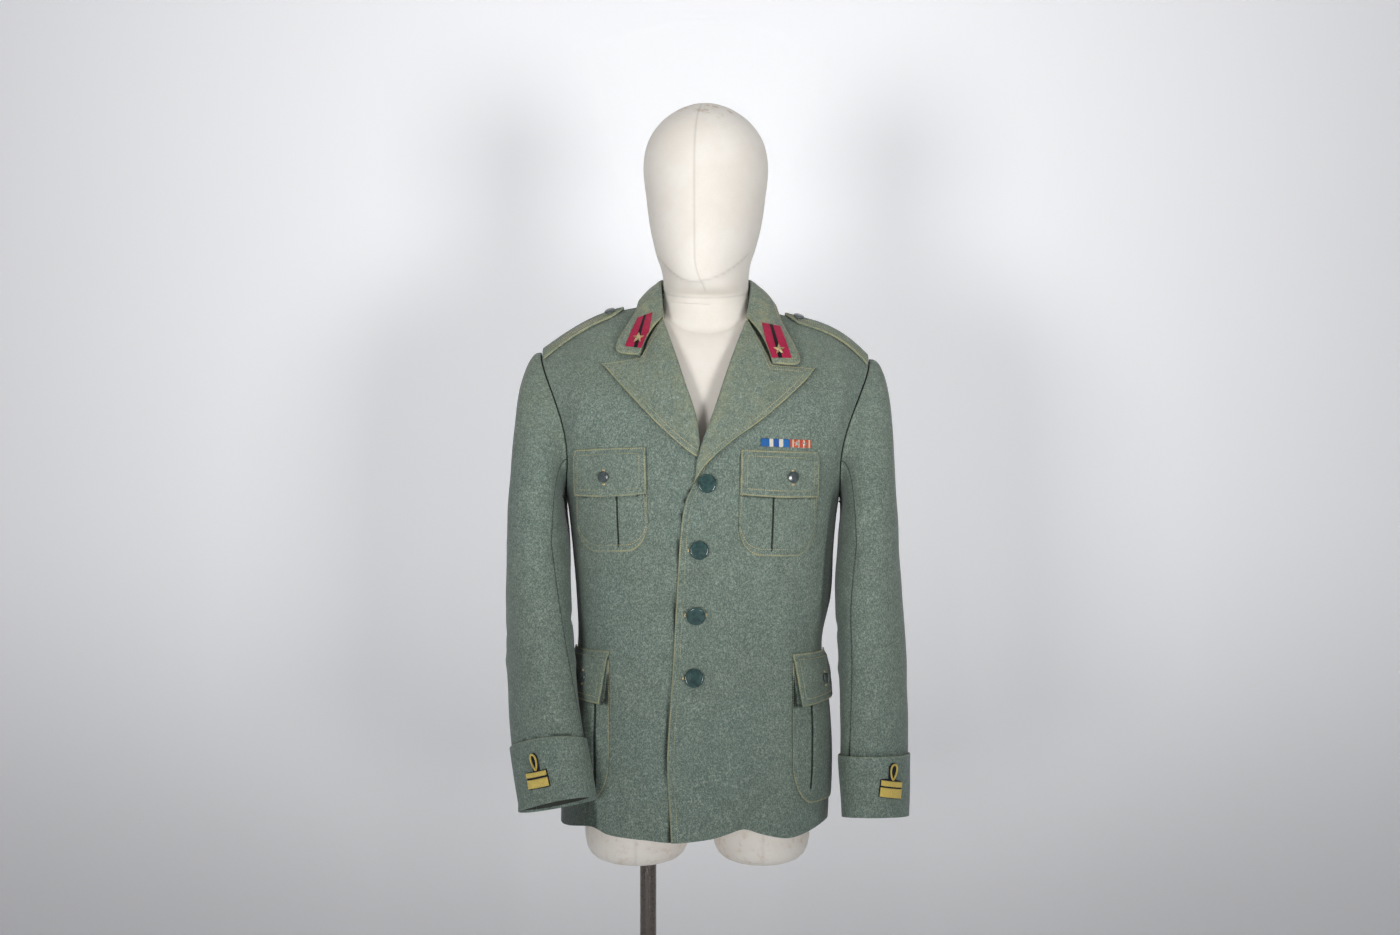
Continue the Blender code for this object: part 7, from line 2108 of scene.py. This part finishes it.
def form_head():
    """A plain egg-shaped head on a neck, its cover sewn with a seam down the middle."""
    steps = 144
    angle = 2 * math.pi * np.arange(steps) / steps
    height = np.concatenate([
        np.linspace(HEAD[0].height, CROWN_FROM_Z, 84)[:-1],
        CROWN_FROM_Z + CROWN_RISE * np.sin(np.linspace(0, 1, 22) * math.pi / 2),
    ])
    rows = []
    foot_y = np.where(np.cos(angle) < 0, -NECK_FRONT_Y, NECK_BACK_Y) * np.cos(angle)
    foot = points(np.sin(angle) * NECK_WIDTH, foot_y, NECK_CUT_Z + NECK_CUT_TILT * foot_y + 0.0006)
    first = None
    for z in height:
        depth = np.where(np.cos(angle) < 0, along(HEAD, z, "front"), along(HEAD, z, "back"))
        wide = along(HEAD, z, "half_width")
        if z > HEAD[-1].height - 0.002:
            fade = math.sqrt(max(1 - ((z - HEAD[-1].height + 0.002) / 0.0036) ** 2, 0.0))
            wide, depth = wide * fade, depth * fade
        y = depth * np.cos(angle)
        x = wide * np.sin(angle)
        turn = HEAD_TURN * float(ease((z - HEAD[0].height) / 0.05))
        spot_x = x * math.cos(turn) - y * math.sin(turn)
        spot_y = x * math.sin(turn) + y * math.cos(turn)
        row = points(spot_x, spot_y, z + along(HEAD, z, "tilt") * y)
        if first is None:
            first = row
            for f in (0.0, 0.25, 0.5, 0.75):
                rows.append(foot + (row - foot) * f)
        rows.append(row)
    grid = np.array(rows)
    centre = grid.mean(axis=1, keepdims=True)
    normals = grid_normals(grid, wrap=True, guide=grid - centre)
    off_front = np.abs(angle - math.pi)
    off_back = np.minimum(angle, 2 * math.pi - angle)
    across = np.minimum(off_front, off_back)[None, :] * np.linalg.norm(grid - centre, axis=-1)
    seam = bell(across, SEAM_WIDE) * ease((grid[..., 2] - 1.565) / 0.01)
    # Painted shade along the chin's lower line and below it, where the chin overhangs the neck; the part
    # below is also sunk
    aside = grid[..., 0] - CHIN_X
    below = CHIN_Z + aside ** 2 * np.where(aside < 0, CHIN_BEND[0], CHIN_BEND[1]) - grid[..., 2]
    fore = ease((-grid[..., 1] - 0.02) / 0.03)
    chin = fore * bell(below, 0.0022)
    recess = fore * ease(below / 0.004) * np.exp(-np.maximum(below, 0) / 0.012)
    climb = arcs(grid, 0)
    ring = bell(climb - 0.010, 0.0012)
    wrinkle = 0.0005 * np.sin(climb * 900 + np.sin(angle * 3)[None, :] * 1.5) * np.exp(-climb / 0.02)
    pucker = 0.00025 * np.sin(grid[..., 2] * 700) * bell(across, 0.006)
    grid = grid + normals * (pucker - 0.0007 * seam - 0.0006 * ring + wrinkle - 0.0022 * recess)[..., None]
    crown = ease((grid[..., 2] - 1.79) / 0.035) * bell(grid[..., 0] - 0.012, 0.05)
    count = len(grid)
    verts = list(grid.reshape(-1, 3)) + [grid[-1].mean(axis=0), grid[0].mean(axis=0)]
    faces = []
    for i in range(count - 1):
        for j in range(steps):
            n = (j + 1) % steps
            faces.append((i * steps + n, i * steps + j, (i + 1) * steps + j, (i + 1) * steps + n))
    last = (count - 1) * steps
    for j in range(steps):
        n = (j + 1) % steps
        faces.append((last + n, last + j, count * steps))
        faces.append((j, n, count * steps + 1))
    # The seam value darkens the cover: seams, the neck ring, and the painted shade along and below the chin
    dark = np.maximum(np.maximum(seam * 0.8, ring * 0.7), np.maximum(chin * 0.75, recess * 0.45))
    values = {
        "seam": np.concatenate([dark.ravel(), [0, 0]]),
        "stain": np.concatenate([(crown * 0.9 + 0.25 * seam * crown).ravel(), [0.5, 0]]),
    }
    item = make_mesh("form_head_cover", verts, faces, [COTTON], values=values, sharp=80)
    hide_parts("form_head")
    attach(item, "root")


def stand():
    looks = {"stand_pole": metal_look("dark_steel", srgb(132, 124, 118), 0.16),
             "stand_base": metal_look("satin_steel", srgb(150, 150, 150), 0.30)}
    for name, look in looks.items():
        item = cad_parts[name]
        item.data.materials.clear()
        item.data.materials.append(look)


def topstitching():
    item = make_mesh("topstitching", STITCHES["verts"], STITCHES["faces"], [THREAD],
                     values={"tone": STITCHES["tone"]}, sharp=80)
    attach(item, "root")


build_stage()
form_torso()
form_thighs()
form_head()
stand()
for wearer_side in (LEFT, RIGHT):
    front_panel(wearer_side)
back_panel()
for wearer_side in (LEFT, RIGHT):
    sleeve(wearer_side)
    cuff(wearer_side)
collar()
for wearer_side in (LEFT, RIGHT):
    lapel(wearer_side)
    shoulder_strap(wearer_side)
    breast_pocket(wearer_side)
    hip_pocket(wearer_side)
    collar_patch(wearer_side)
    cuff_marks(wearer_side)
ribbons()
front_buttons()
topstitching()
